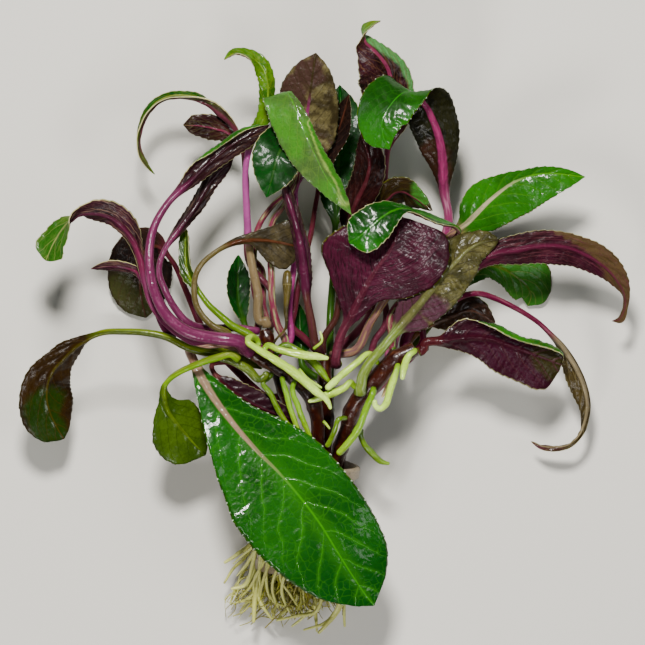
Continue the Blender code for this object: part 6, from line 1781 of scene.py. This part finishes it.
# %% Stems behind
grow_stem(
    "stem_back_left", seed=82,
    route=[
        (-19.8, -0.5, 31.5), (-18.5, -5.5, 31.5), (-16.5, -14, 31), (-12, -27, 28), (-8.5, -39, 23),
        (-8, -50, 19),
    ],
    radii=[(0, 2), (0.06, 2.3), (0.15, 1.9), (1, 2.1)],
    swellings=[(0.05, 0.3, 1.4), (0.4, 0.3, 1.5), (0.7, 0.25, 1.4)],
)
grow_stem(
    "stem_centre", seed=83,
    route=[(0.5, -9.5, 30), (0.2, -16, 28), (0.8, -24, 25), (1, -34, 21), (0, -43, 17), (-1, -50, 15.5)],
    radii=[(0, 2.4), (1, 2.1)],
    swellings=[(0.2, 0.3, 1.4), (0.5, 0.3, 1.5), (0.8, 0.2, 1.3)],
)
grow_stem(
    "stem_back_right", seed=84,
    route=[
        (24, -8, 30), (19, -15, 29.5), (13.5, -22, 26.5), (9, -31, 21.5), (6, -41, 17), (4.5, -50, 16),
    ],
    radii=[(0, 2), (1, 1.9)],
    swellings=[(0.1, 0.3, 1.4), (0.45, 0.3, 1.5), (0.75, 0.25, 1.4)],
)

# %% Two short stalks
STALK_SHAPE = {"sides": 18, "step": 0.5, "blunt": (1, 1)}


def grow_stalk(name, finish, **shape):
    return grow_tube(name, finish, "leaf_green", **STALK_SHAPE, **shape)


grow_stalk(
    "stalk_short_green", GREEN_STALK, seed=90,
    route=[
        (-35, -9.8, 42), (-30.5, -11, 42), (-25, -14, 41.8), (-21.4, -17, 41.5), (-19.6, -16, 41.2),
        (-18.8, -14.4, 41.4),
    ],
    radii=[(0, 1.2), (0.721, 1.35), (0.801, 1.2)],
)
grow_stalk(
    "stalk_short_pale", PALE_STALK, seed=91,
    route=[
        (-17.6, -6.2, 33.8), (-15.3, -3, 36.8), (-13, -0.5, 37.3), (-12.7, 6, 38), (-12.3, 13, 38),
        (-12.2, 19.3, 37),
    ],
    radii=[(0.296, 0.4), (0.648, 1), (0.894, 1.6), (1, 1.2)],
)

# %% [markdown]
# ## Roots on the stems
#
# Plump young roots come out of the stems in front and lean down towards the pot. They are lime where
# they start and nearly white at the blunt growing tip. Thin ones go with a thick one in one mesh.

# %% The skin of a young root
ROOT_RELIEF = 0.0006


def young_root_finish(name, start, middle, end):
    """A root that is one colour where it starts, another in the middle and pale at its tip."""
    start, middle, end = (shade(*c) for c in (start, middle, end))
    material, tree, shader, where = start_finish(
        name, 0.3, coat=0.6, coat_roughness=0.1, specular=0.12
    )
    _, (share, _, _) = mesh_values(tree, "marks")
    blotches = grain(tree, where, 260.0, 4.0)
    fine = grain(tree, where, 1400.0, 3.0)
    reach = plus(tree, share, sway(tree, blotches, 0.5))
    colour = mix(tree, between(tree, reach, 0.0, 0.35), start, middle)
    colour = mix(tree, between(tree, reach, 0.55, 1.0), colour, end)
    shadow = darker(middle, 0.6)
    colour = mix(tree, times(tree, between(tree, fine, 0.5, 0.75), 0.5), colour, shadow)
    plug(tree, shader.inputs["Base Color"], colour)
    raise_surface(tree, shader, plus(tree, blotches, times(tree, fine, 0.4)), ROOT_RELIEF)
    return material


# The roots in front take the pale finish. The lower roots further back lie in shade and take darker copies
# of it: painted shade.
SHADED_GREEN_ROOT = young_root_finish("shaded_green_root", (56, 84, 3), (76, 106, 3), (100, 132, 6))
SHADED_LIME_ROOT = young_root_finish("shaded_lime_root", (78, 116, 3), (104, 146, 3), (132, 168, 20))
PALE_ROOT = young_root_finish("pale_root", (104, 142, 3), (160, 194, 54), (190, 224, 100))
print("root finishes:", 3)

# %% Roots in front
ROOT_SHAPE = {"step": 0.5, "uneven": 0.11, "uneven_size": 2.2, "blunt": (1, 1)}


def grow_root(name, finish, **shape):
    return grow_tube(name, finish, "root_green", **ROOT_SHAPE, **shape)


grow_root(
    "root_front_long", PALE_ROOT, seed=100,
    route=[
        (-21.7, -6.3, 43.3), (-21.9, -4.7, 43.6), (-23.9, -2.8, 46.9), (-25.4, -4.4, 49.8),
        (-21.9, -7, 50), (-14.2, -11.8, 48.5), (-8, -16.4, 46.5), (-2.7, -21, 45), (1, -24, 44),
        (2.3, -27, 43),
    ],
    radii=[(0, 0.9), (0.25, 1.1), (0.882, 1.15), (1, 0.6)],
)
grow_root(
    "root_front_upper", PALE_ROOT, seed=101,
    route=[
        (-20.4, -8.1, 44.1), (-18.9, -5.9, 44.2), (-15.5, -7, 45), (-10.4, -8.3, 45.3),
        (-4.1, -9.3, 45.3), (1.6, -10, 45),
    ],
    radii=[(0.112, 1), (0.867, 1.1), (1, 0.6)],
)
grow_root(
    "root_under_green", SHADED_GREEN_ROOT, seed=102,
    route=[
        (-16.1, -9.6, 39.9), (-15.2, -7.2, 39.3), (-12.6, -5.6, 39.2), (-9.7, -7, 40),
        (-2.7, -12.3, 40.8), (1.7, -18, 40),
    ],
    radii=[(0, 0.9), (0.25, 1), (0.889, 1.1), (1, 0.6)],
)

# %% Roots that cross the middle
grow_root(
    "root_cut_pale", PALE_ROOT, seed=103,
    route=[(18.1, -12, 38.3), (15, -8.5, 40.5), (11, -11.5, 42.3), (5.5, -16, 42.7), (0.6, -20.5, 42)],
    radii=[(0.213, 0.9), (0.606, 1.15), (1, 1.1)],
)
grow_root(
    "root_cross_pale", PALE_ROOT, seed=104,
    route=[
        (11.2, -20, 37.4), (10, -19.2, 38), (8.8, -18, 39.7), (6.8, -19.9, 40.3), (2.3, -21.8, 40),
        (-3.7, -24, 39.6), (-5.3, -24.5, 39.6),
    ],
    radii=[(0.201, 1), (0.84, 1.1), (1, 0.5)],
    thin=[
        [(-3.5, -7, 41), (-0.7, -4.3, 41.5), (-1.3, -1, 41.5)],
        [(-8.3, -13.7, 41.5), (-6, -16.3, 42.5), (-0.7, -20, 42)],
        [(-0.3, -31, 37), (0.8, -32.2, 36.9), (2, -33.7, 36.5)],
    ],
)
grow_root(
    "root_lime_long", SHADED_LIME_ROOT, seed=105,
    route=[
        (16.2, -20.2, 39.7), (16.4, -20.8, 41.2), (16.2, -21.6, 41.6), (14.9, -25, 40.8),
        (13.3, -29, 39.5), (11.7, -33, 37.5), (9.2, -37, 35.7), (6.3, -40.3, 34.6), (4.5, -42.3, 34),
    ],
    radii=[(0.091, 1.1), (0.546, 1.3), (1, 1.1)],
)

# %% Roots on the right
grow_root(
    "root_right_upper", PALE_ROOT, seed=106,
    route=[(29.9, -7.2, 42), (30.2, -7.6, 43.2), (28.3, -9, 44.2), (26.7, -13, 44), (26, -17.2, 43)],
    radii=[(0.104, 0.9), (0.731, 1.15), (1, 0.7)],
)
grow_root(
    "root_right_hook", PALE_ROOT, seed=107,
    route=[
        (24.6, -11.9, 41.4), (24.4, -13, 42.5), (23.6, -15.6, 43), (22.4, -19, 43), (21.3, -23, 43),
        (20.1, -25.8, 43), (18.7, -26.9, 43), (17.2, -26, 43.2), (16.9, -23.8, 43.6),
    ],
    radii=[(0, 0.9), (0.531, 1.25), (0.75, 1.05), (0.906, 0.95), (1, 0.7)],
)

# %% Roots on the left
grow_root(
    "root_left_outer", SHADED_GREEN_ROOT, seed=108,
    route=[
        (-17, -14.8, 39.3), (-18, -16, 38.8), (-20.3, -18.4, 40.7), (-18, -21.6, 40.3),
        (-15.7, -26.3, 39.8), (-12.7, -31.3, 39.3), (-9, -35.5, 38.3),
    ],
    radii=[(0.209, 0.9), (0.604, 1), (1, 0.8)],
)
grow_root(
    "root_left_twin_a", SHADED_LIME_ROOT, seed=109,
    route=[
        (-13.9, -16.3, 42.2), (-13.8, -17, 43), (-12.6, -21.3, 42.3), (-11.3, -26.3, 41.5),
        (-9.8, -30.7, 40.8), (-8.6, -34.3, 39.8),
    ],
    radii=[(0.055, 0.85), (0.527, 0.95), (1, 0.8)],
)
grow_root(
    "root_left_twin_b", SHADED_LIME_ROOT, seed=110,
    route=[
        (-9.9, -17.7, 41.4), (-10, -18.4, 42.8), (-10.4, -19.3, 42.5), (-8.8, -25.7, 41.7),
        (-6.8, -31, 40.4), (-4.6, -37, 38.3), (-4.2, -39, 37.8),
    ],
    radii=[(0.109, 0.85), (0.644, 1), (1, 0.6)],
)

# %% Two low roots
grow_root(
    "root_middle_thin", SHADED_GREEN_ROOT, seed=111,
    route=[(7.6, -30.1, 35.3), (5, -30.3, 38.5), (3.3, -34.7, 37), (0.8, -39.8, 35.6)],
    radii=[(0.277, 0.8), (1, 0.9)],
)
grow_root(
    "root_low_right", SHADED_GREEN_ROOT, seed=112,
    route=[
        (10.9, -33.9, 31.2), (12.4, -34.4, 31.6), (12.2, -35.2, 31.5), (13.2, -38.3, 31.2),
        (16.2, -42, 30.5), (19.3, -44.7, 29.5), (22, -45.4, 29),
    ],
    radii=[(0.14, 0.9), (0.828, 0.95), (1, 0.5)],
)

# %% [markdown]
# ## The net pot
#
# The plant was grown in a small pot with slots in its wall and floor, so that the roots can leave it.
# Only a piece of its rim and wall shows in the picture. The pot is a lathe shape with holes, so its
# wall is built here from rings of points, inside and outside, and the faces between them are left
# out where a slot is. Six fine columns stand on each column of the solid, which makes it round.

# %% How the pot lies
POT_MOUTH = (-6.3, -44.5, 18.9)
POT_HEIGHT = 38
POT_LEAN = 6.0
POT_TILT = 6.5


def lie_down(piece):
    """Lays a piece of the pot on its side, mouth towards the leaves, leaning like the plant."""
    turn = Matrix.Rotation(math.radians(-POT_LEAN), 4, "Z")
    tip_over = Matrix.Rotation(math.radians(POT_TILT - 90), 4, "X")
    drop = Matrix.Translation((0, 0, -POT_HEIGHT * MM))
    piece.data.transform(Matrix.Translation(Vector(POT_MOUTH) * MM) @ turn @ tip_over @ drop)


print("the pot leans by", POT_LEAN, "degrees")

# %% The pot's wall
POT_COLUMNS = 96
COLUMNS_PER_SLOT = 6
POT_WALL = [
    (4, 0, 4, 1), (11, 0, 11, 1), (13.2, 0.3, 12.2, 1.3), (13.8, 4, 12.8, 4), (15.2, 15, 14.2, 15),
    (15.6, 18.5, 14.6, 18.5), (16.8, 30, 15.8, 30), (17.2, 33.6, 16.2, 33.6), (18.5, 34.2, 16.7, 34.2),
    (18.7, 37.2, 17, 36.9), (18, 38, 17.3, 38),
]
SLOT_BANDS = (0, 3, 5)


def pot_mesh():
    """The wall as one closed mesh, with its slots."""
    turns = np.arange(POT_COLUMNS) * 2 * math.pi / POT_COLUMNS
    vertices = []
    for inward in (0, 2):
        for level in POT_WALL:
            radius, height = level[inward], level[inward + 1]
            vertices += [
                (radius * math.cos(a) * MM, radius * math.sin(a) * MM, height * MM) for a in turns
            ]
    bands = len(POT_WALL) - 1
    shift = len(POT_WALL) * POT_COLUMNS

    def walled(band, column):
        slotted = band in SLOT_BANDS and (column % POT_COLUMNS) // COLUMNS_PER_SLOT % 2 == 0
        return 0 <= band < bands and not slotted

    faces = []
    for band in range(bands):
        for column in range(POT_COLUMNS):
            if not walled(band, column):
                continue
            after = (column + 1) % POT_COLUMNS
            low, high = band * POT_COLUMNS, (band + 1) * POT_COLUMNS
            corners = [low + column, low + after, high + after, high + column]
            faces += [tuple(corners), tuple(c + shift for c in reversed(corners))]
            beside = [(band - 1, column), (band, column + 1), (band + 1, column), (band, column - 1)]
            for side, neighbour in enumerate(beside):
                if not walled(*neighbour):
                    a, b = corners[side], corners[(side + 1) % 4]
                    faces.append((b, a, a + shift, b + shift))
    mesh = bpy.data.meshes.new("net_pot_skin")
    mesh.from_pydata(vertices, [], faces)
    return mesh


wall = pot_mesh()
print("faces in the pot:", len(wall.polygons))

# %% The pot's plastic
POT_RELIEF = 0.0004
POT_EDGE = 0.18


def pot_finish():
    """Thin grey plastic with a film of dried lime and brown silt."""
    material, tree, shader, where = start_finish("pot_plastic", 0.42, coat=0.1, coat_roughness=0.3)
    cloud = grain(tree, where, 120.0, 5.0)
    speck = grain(tree, where, 1300.0, 4.0)
    colour = mix(tree, between(tree, cloud, 0.4, 0.65), shade(128, 114, 90), shade(96, 84, 62))
    colour = mix(tree, times(tree, between(tree, speck, 0.52, 0.7), 0.6), colour, shade(86, 73, 40))
    plug(tree, shader.inputs["Base Color"], colour)
    plug(tree, shader.inputs["Roughness"], plus(tree, times(tree, speck, 0.3), 0.3))
    raise_surface(tree, shader, plus(tree, times(tree, speck, 0.4), cloud), POT_RELIEF)
    return material


wall.materials.append(pot_finish())
net_pot = bpy.data.objects.new("net_pot_skin", wall)
bpy.context.scene.collection.objects.link(net_pot)
lie_down(net_pot)
bevel = net_pot.modifiers.new("soft edges", "BEVEL")
bevel.width = POT_EDGE * MM
bevel.segments = 2
bevel.limit_method = "ANGLE"
settle(net_pot, ["net_pot"])

# %% [markdown]
# ## Wool and roots in the pot
#
# A plug of mineral wool fills the pot and the roots have grown through it, so brown wool and pale
# roots show at the mouth and in the slots. The plug is a coarse round body that noise roughens, with
# thin roots laid over it.

# %% Finishes: wool and fine roots
WOOL_RELIEF = 0.0012
FINE_ROOT_RELIEF = 0.0004


def wool_finish():
    """Brown wool with paler fibres."""
    material, tree, shader, where = start_finish("wool", 0.9, coat_roughness=0.3, specular=0.2)
    fibres = grain(tree, stretch(tree, where, (1.0, 0.25, 1.0)), 2200.0, 5.0)
    clumps = grain(tree, where, 260.0, 4.0)
    colour = mix(tree, between(tree, clumps, 0.4, 0.65), shade(87, 67, 18), shade(55, 40, 13))
    colour = mix(tree, between(tree, fibres, 0.5, 0.7), colour, shade(141, 120, 53))
    plug(tree, shader.inputs["Base Color"], colour)
    raise_surface(tree, shader, plus(tree, fibres, clumps), WOOL_RELIEF)
    return material


def root_finish():
    """Fine roots: straw coloured, some pale and some brown."""
    material, tree, shader, where = start_finish("fine_root", 0.5, coat=0.25, coat_roughness=0.25)
    _, (_, _, tone) = mesh_values(tree, "marks")
    blotches = grain(tree, where, 300.0, 4.0)
    fine = grain(tree, where, 1600.0, 3.0)
    colour = mix(tree, between(tree, blotches, 0.4, 0.68), shade(142, 140, 6), shade(98, 92, 4))
    colour = mix(tree, between(tree, tone, 0.55, 0.95), colour, shade(186, 188, 100))
    colour = mix(tree, between(tree, tone, 0.28, 0.02), colour, shade(88, 70, 4))
    colour = mix(tree, times(tree, between(tree, fine, 0.5, 0.75), 0.4), colour, shade(80, 76, 4))
    plug(tree, shader.inputs["Base Color"], colour)
    raise_surface(tree, shader, plus(tree, blotches, times(tree, fine, 0.6)), FINE_ROOT_RELIEF)
    return material


WOOL = wool_finish()
FINE_ROOT = root_finish()
print("finishes:", WOOL.name, FINE_ROOT.name)

# %% The plug in the pot
rng = np.random.default_rng(7)


def toned(shell, tone):
    """The shell with one tone in place of its length."""
    shell["values"]["marks"][:, :, 2] = tone
    return shell


PLUG_PROFILE = [(0, 1.4, 11.5), (0.1, 4.5, 12.3), (0.4, 15, 13.7), (0.9, 30, 15.2), (1, 31.5, 13)]
PLUG_TOP = 32.3
PLUG_ROWS = 60
PLUG_SIDES = 90
HUGGING_ROOTS = 90


def plug_shell():
    places = np.linspace(0, 1, PLUG_ROWS)
    levels = read_curve(PLUG_PROFILE, places)
    turns = np.arange(PLUG_SIDES) * 2 * math.pi / PLUG_SIDES
    rows = []
    for height, radius in levels:
        bumps = [noise.noise(Vector((5 * math.cos(a), 5 * math.sin(a), height / 2.6))) for a in turns]
        size = radius - 0.5 + 0.45 * np.array(bumps)
        level = np.full(PLUG_SIDES, height)
        rows.append(np.column_stack([size * np.cos(turns), size * np.sin(turns), level]))
    points = np.array(rows)[:, ::-1]
    marks = np.zeros_like(points)
    return {"points": points, "tip": (0, 0, PLUG_TOP), "split": PLUG_SIDES + 1, "values": {"marks": marks}}


def hugging_root():
    """A thin root that winds round the plug."""
    angle = rng.uniform(0, 2 * math.pi)
    height = rng.uniform(2, 20)
    route = []
    for k in range(7):
        height = min(height + rng.uniform(0.5, 3.2), 30.5)
        angle += rng.uniform(-0.12, 0.3)
        radius = np.interp(height, [1.4, 30, 31.5], [11.4, 15.2, 13.6]) + rng.uniform(-0.25, 0.1)
        route.append((radius * math.cos(angle), radius * math.sin(angle), height))
    size = rng.uniform(0.22, 0.42)
    shell = tube_shell(route, [(0, size), (1, size * 0.7)], sides=6, step=1.0, uneven=0)
    shell["split"] = 0
    return toned(shell, rng.uniform(0, 1))


hugging_roots = [hugging_root() for _ in range(HUGGING_ROOTS)]
root_ball = make_skin("root_ball", [plug_shell()] + hugging_roots, [WOOL, FINE_ROOT])
lie_down(root_ball)
settle(root_ball, ["root_ball"])

# %% [markdown]
# ## The tangle of fine roots
#
# Below the pot hangs a tangle of roots, most of them under a millimetre thick. Hair curves would be
# the quick way, but then the roots couldn't be exported as solids, so each strand is a thin tube. The
# strands that show on their own in the picture follow points read off it. The others leave the pot's
# floor in random directions, are pulled down to the table and wander, like wet roots do.

# %% Main strands
def from_picture(x, y):
    """Millimetres on the plant for a pixel of the picture."""
    return (x - PLANT_CENTRE_PIXEL[0]) * MM_PER_PIXEL, (PLANT_CENTRE_PIXEL[1] - y) * MM_PER_PIXEL


STRANDS = [
    (0.80, 12, [(262, 520), (250, 546), (238, 555), (223, 565)]),
    (0.58, 9, [(262, 530), (243, 561), (234, 569), (223, 586)]),
    (0.58, 6, [(266, 540), (245, 569), (238, 584), (229, 607)]),
    (0.87, 13, [(264, 548), (250, 578), (244, 587), (230, 591)]),
    (0.58, 8, [(272, 560), (249, 599), (236, 605)]),
    (0.58, 5, [(272, 565), (249, 601), (239, 615)]),
    (0.94, 14, [(272, 540), (261, 569), (255, 597), (253, 625)]),
    (0.65, 11, [(274, 570), (258, 598), (264, 611), (272, 622)]),
    (0.65, 12, [(268, 555), (265, 580), (276, 605), (288, 609)]),
    (0.58, 7, [(282, 580), (276, 606), (272, 622)]),
    (0.58, 9, [(302, 575), (298, 594), (294, 606), (283, 615), (276, 624)]),
    (0.58, 10, [(322, 590), (315, 614), (296, 618), (277, 623)]),
    (0.58, 5, [(318, 600), (304, 619), (291, 630)]),
    (0.87, 12, [(342, 590), (339, 610), (328, 625), (318, 636)]),
    (0.58, 8, [(340, 600), (328, 623), (303, 633)]),
    (0.58, 6, [(314, 590), (315, 611), (317, 635)]),
    (0.58, 7, [(344, 590), (344, 610), (345, 630)]),
]
SLOT_STRANDS = [
    (0.6, [(268, 508, 27), (258, 540, 26), (252, 566, 21), (247, 590, 12)]),
    (0.5, [(272, 520, 29), (262, 548, 27), (259, 572, 22), (262, 600, 13)]),
    (0.45, [(266, 525, 27), (255, 552, 24), (244, 568, 18), (236, 578, 12)]),
    (0.5, [(276, 535, 29), (268, 560, 27), (266, 582, 21), (270, 604, 12)]),
    (0.4, [(262, 518, 25), (252, 548, 22), (243, 556, 17), (232, 566, 12)]),
    (0.4, [(274, 545, 29), (262, 566, 25), (254, 580, 19), (256, 612, 9)]),
    (0.5, [(278, 540, 31), (270, 562, 29), (262, 585, 20), (258, 610, 10)]),
    (0.45, [(286, 550, 31), (276, 572, 28), (272, 590, 20), (280, 615, 9)]),
    (0.5, [(292, 560, 31), (284, 578, 27), (282, 596, 18), (292, 620, 8)]),
    (0.45, [(264, 535, 27), (262, 560, 26), (252, 585, 18), (240, 600, 10)]),
    (0.4, [(284, 560, 31), (280, 576, 27), (290, 596, 18), (304, 618, 8)]),
]
POT_FLOOR = np.array((-10.2, -82.0, 14.8))


def main_strand(size, height, pixels):
    """A strand through picture points, coming down from the pot's floor to its height."""
    flat = [from_picture(*p) for p in pixels]
    start = POT_FLOOR + (np.clip((flat[0][0] - POT_FLOOR[0]) * 0.4, -9, 9), 1.5, rng.uniform(-6, 6))
    route = [tuple(start)]
    for k, (x, y) in enumerate(flat):
        share = (k + 1) / len(flat)
        route.append((x, y, start[2] * (1 - share) + height * share + rng.uniform(-0.5, 0.5)))
    radii = [(0, size), (0.7, 1.1 * size), (1, size * 0.6)]
    shell = tube_shell(route, radii, sides=8, step=0.8, uneven=0.12)
    return toned(shell, rng.uniform(0.75, 1))


def slot_strand(size, stops):
    """A strand that leaves the pot through a slot in front and hangs over its wall."""
    route = [(*from_picture(x, y), height) for x, y, height in stops]
    shell = tube_shell(route, [(0, size), (0.7, size), (1, size * 0.5)], sides=8, step=0.8, uneven=0.12)
    return toned(shell, rng.uniform(0.75, 1))


main_strands = [main_strand(*strand) for strand in STRANDS]
main_strands += [slot_strand(*strand) for strand in SLOT_STRANDS]
print("main strands:", len(main_strands))

# %% The other strands
FREE_STRANDS = 260
FLOOR_RADIUS = 10.5
LEFT_TO_RIGHT = (-33.2, 6.5)
TIPS_TO_POT = (-101.8, -60)
LOWEST = 0.6


def shiver(size):
    return rng.uniform(-size, size)


def free_strand():
    """A thin root that leaves the pot, bends down and wanders over the table."""
    aim = math.radians(rng.uniform(-150, -40))
    reach = rng.uniform(10, 24) * (1.1 if math.cos(aim) < -0.3 else 0.85)
    around = rng.uniform(0, 2 * math.pi)
    out = FLOOR_RADIUS * math.sqrt(rng.uniform(0, 1))
    start = POT_FLOOR + (out * math.cos(around), rng.uniform(0, 2), out * math.sin(around) * 0.95)
    end_height = rng.uniform(0.8, 14)
    route = [tuple(start)]
    sideways = shiver(3)
    for k in range(1, 7):
        share = k / 6
        left = (1 - share) ** 1.5
        bend = sideways * math.sin(share * math.pi * rng.uniform(0.8, 1.6))
        x = start[0] + math.cos(aim) * reach * share - math.sin(aim) * bend + shiver(0.8)
        y = start[1] + math.sin(aim) * reach * share * 0.85 + math.cos(aim) * bend + shiver(0.8)
        z = start[2] * left + end_height * (1 - left) + shiver(0.4)
        route.append((float(np.clip(x, *LEFT_TO_RIGHT)), float(np.clip(y, *TIPS_TO_POT)), max(z, LOWEST)))
    size = rng.uniform(0.2, 0.45)
    shell = tube_shell(route, [(0, size), (1, size * 0.5)], sides=6, step=1.3, uneven=0)
    # These strands lie behind the pale main ones and get darker tones on the whole: partly the roots' own
    # brown, partly painted shade in the tangle.
    return toned(shell, rng.uniform(0.1, 0.85))


strands = main_strands + [free_strand() for _ in range(FREE_STRANDS)]
root_mass = make_skin("root_mass", strands, [FINE_ROOT])
settle(root_mass, ["root_mass"])
print("strands:", len(strands))

# %% [markdown]
# ## Table and light
#
# A soft lamp beyond the leaf tips puts white glints on the wet leaves and leaves the crown dark
# inside, as in the picture. An area light does this, and the smaller it is, the sharper the glints.
# A second one at the side opens the shadows, and a third on the pot's side reaches the roots, which
# the big leaf would shade.

# %% The table
table_material = bpy.data.materials.new("table")
table_material.use_nodes = True
table_shader = table_material.node_tree.nodes["Principled BSDF"]
table_shader.inputs["Base Color"].default_value = (*shade(195, 192, 184), 1)
table_shader.inputs["Roughness"].default_value = 0.9
bpy.ops.mesh.primitive_plane_add(size=6.0, location=(0, 0, 0))
table_top = bpy.context.active_object
table_top.name = "table_top"
table_top.data.materials.append(table_material)

# %% The lamps
def add_lamp(name, place, aim, size, power, tint):
    data = bpy.data.lights.new(name, "AREA")
    data.shape = "DISK"
    data.size = size
    data.energy = power
    data.color = tint
    lamp = bpy.data.objects.new(name, data)
    lamp.location = place
    direction = Vector(aim) - Vector(place)
    lamp.rotation_euler = direction.to_track_quat("-Z", "Y").to_euler()
    bpy.context.scene.collection.objects.link(lamp)


CROWN = (0, 0, 0.03)
ROOTS = (0, -0.05, 0.03)
add_lamp("key", (-0.08, 0.55, 1.1), aim=CROWN, size=0.22, power=32.0, tint=(1.0, 0.98, 0.95))
add_lamp("fill", (0.8, -0.1, 1.0), aim=CROWN, size=0.6, power=5.0, tint=(0.95, 0.97, 1.0))
add_lamp("low", (-0.3, -0.9, 0.9), aim=ROOTS, size=0.4, power=12.0, tint=(1.0, 0.99, 0.96))
world = bpy.data.worlds.new("room")
world.use_nodes = True
world.node_tree.nodes["Background"].inputs["Color"].default_value = (0.9, 0.95, 1.0, 1)
world.node_tree.nodes["Background"].inputs["Strength"].default_value = 0.06
bpy.context.scene.world = world
print("lamps:", 3)
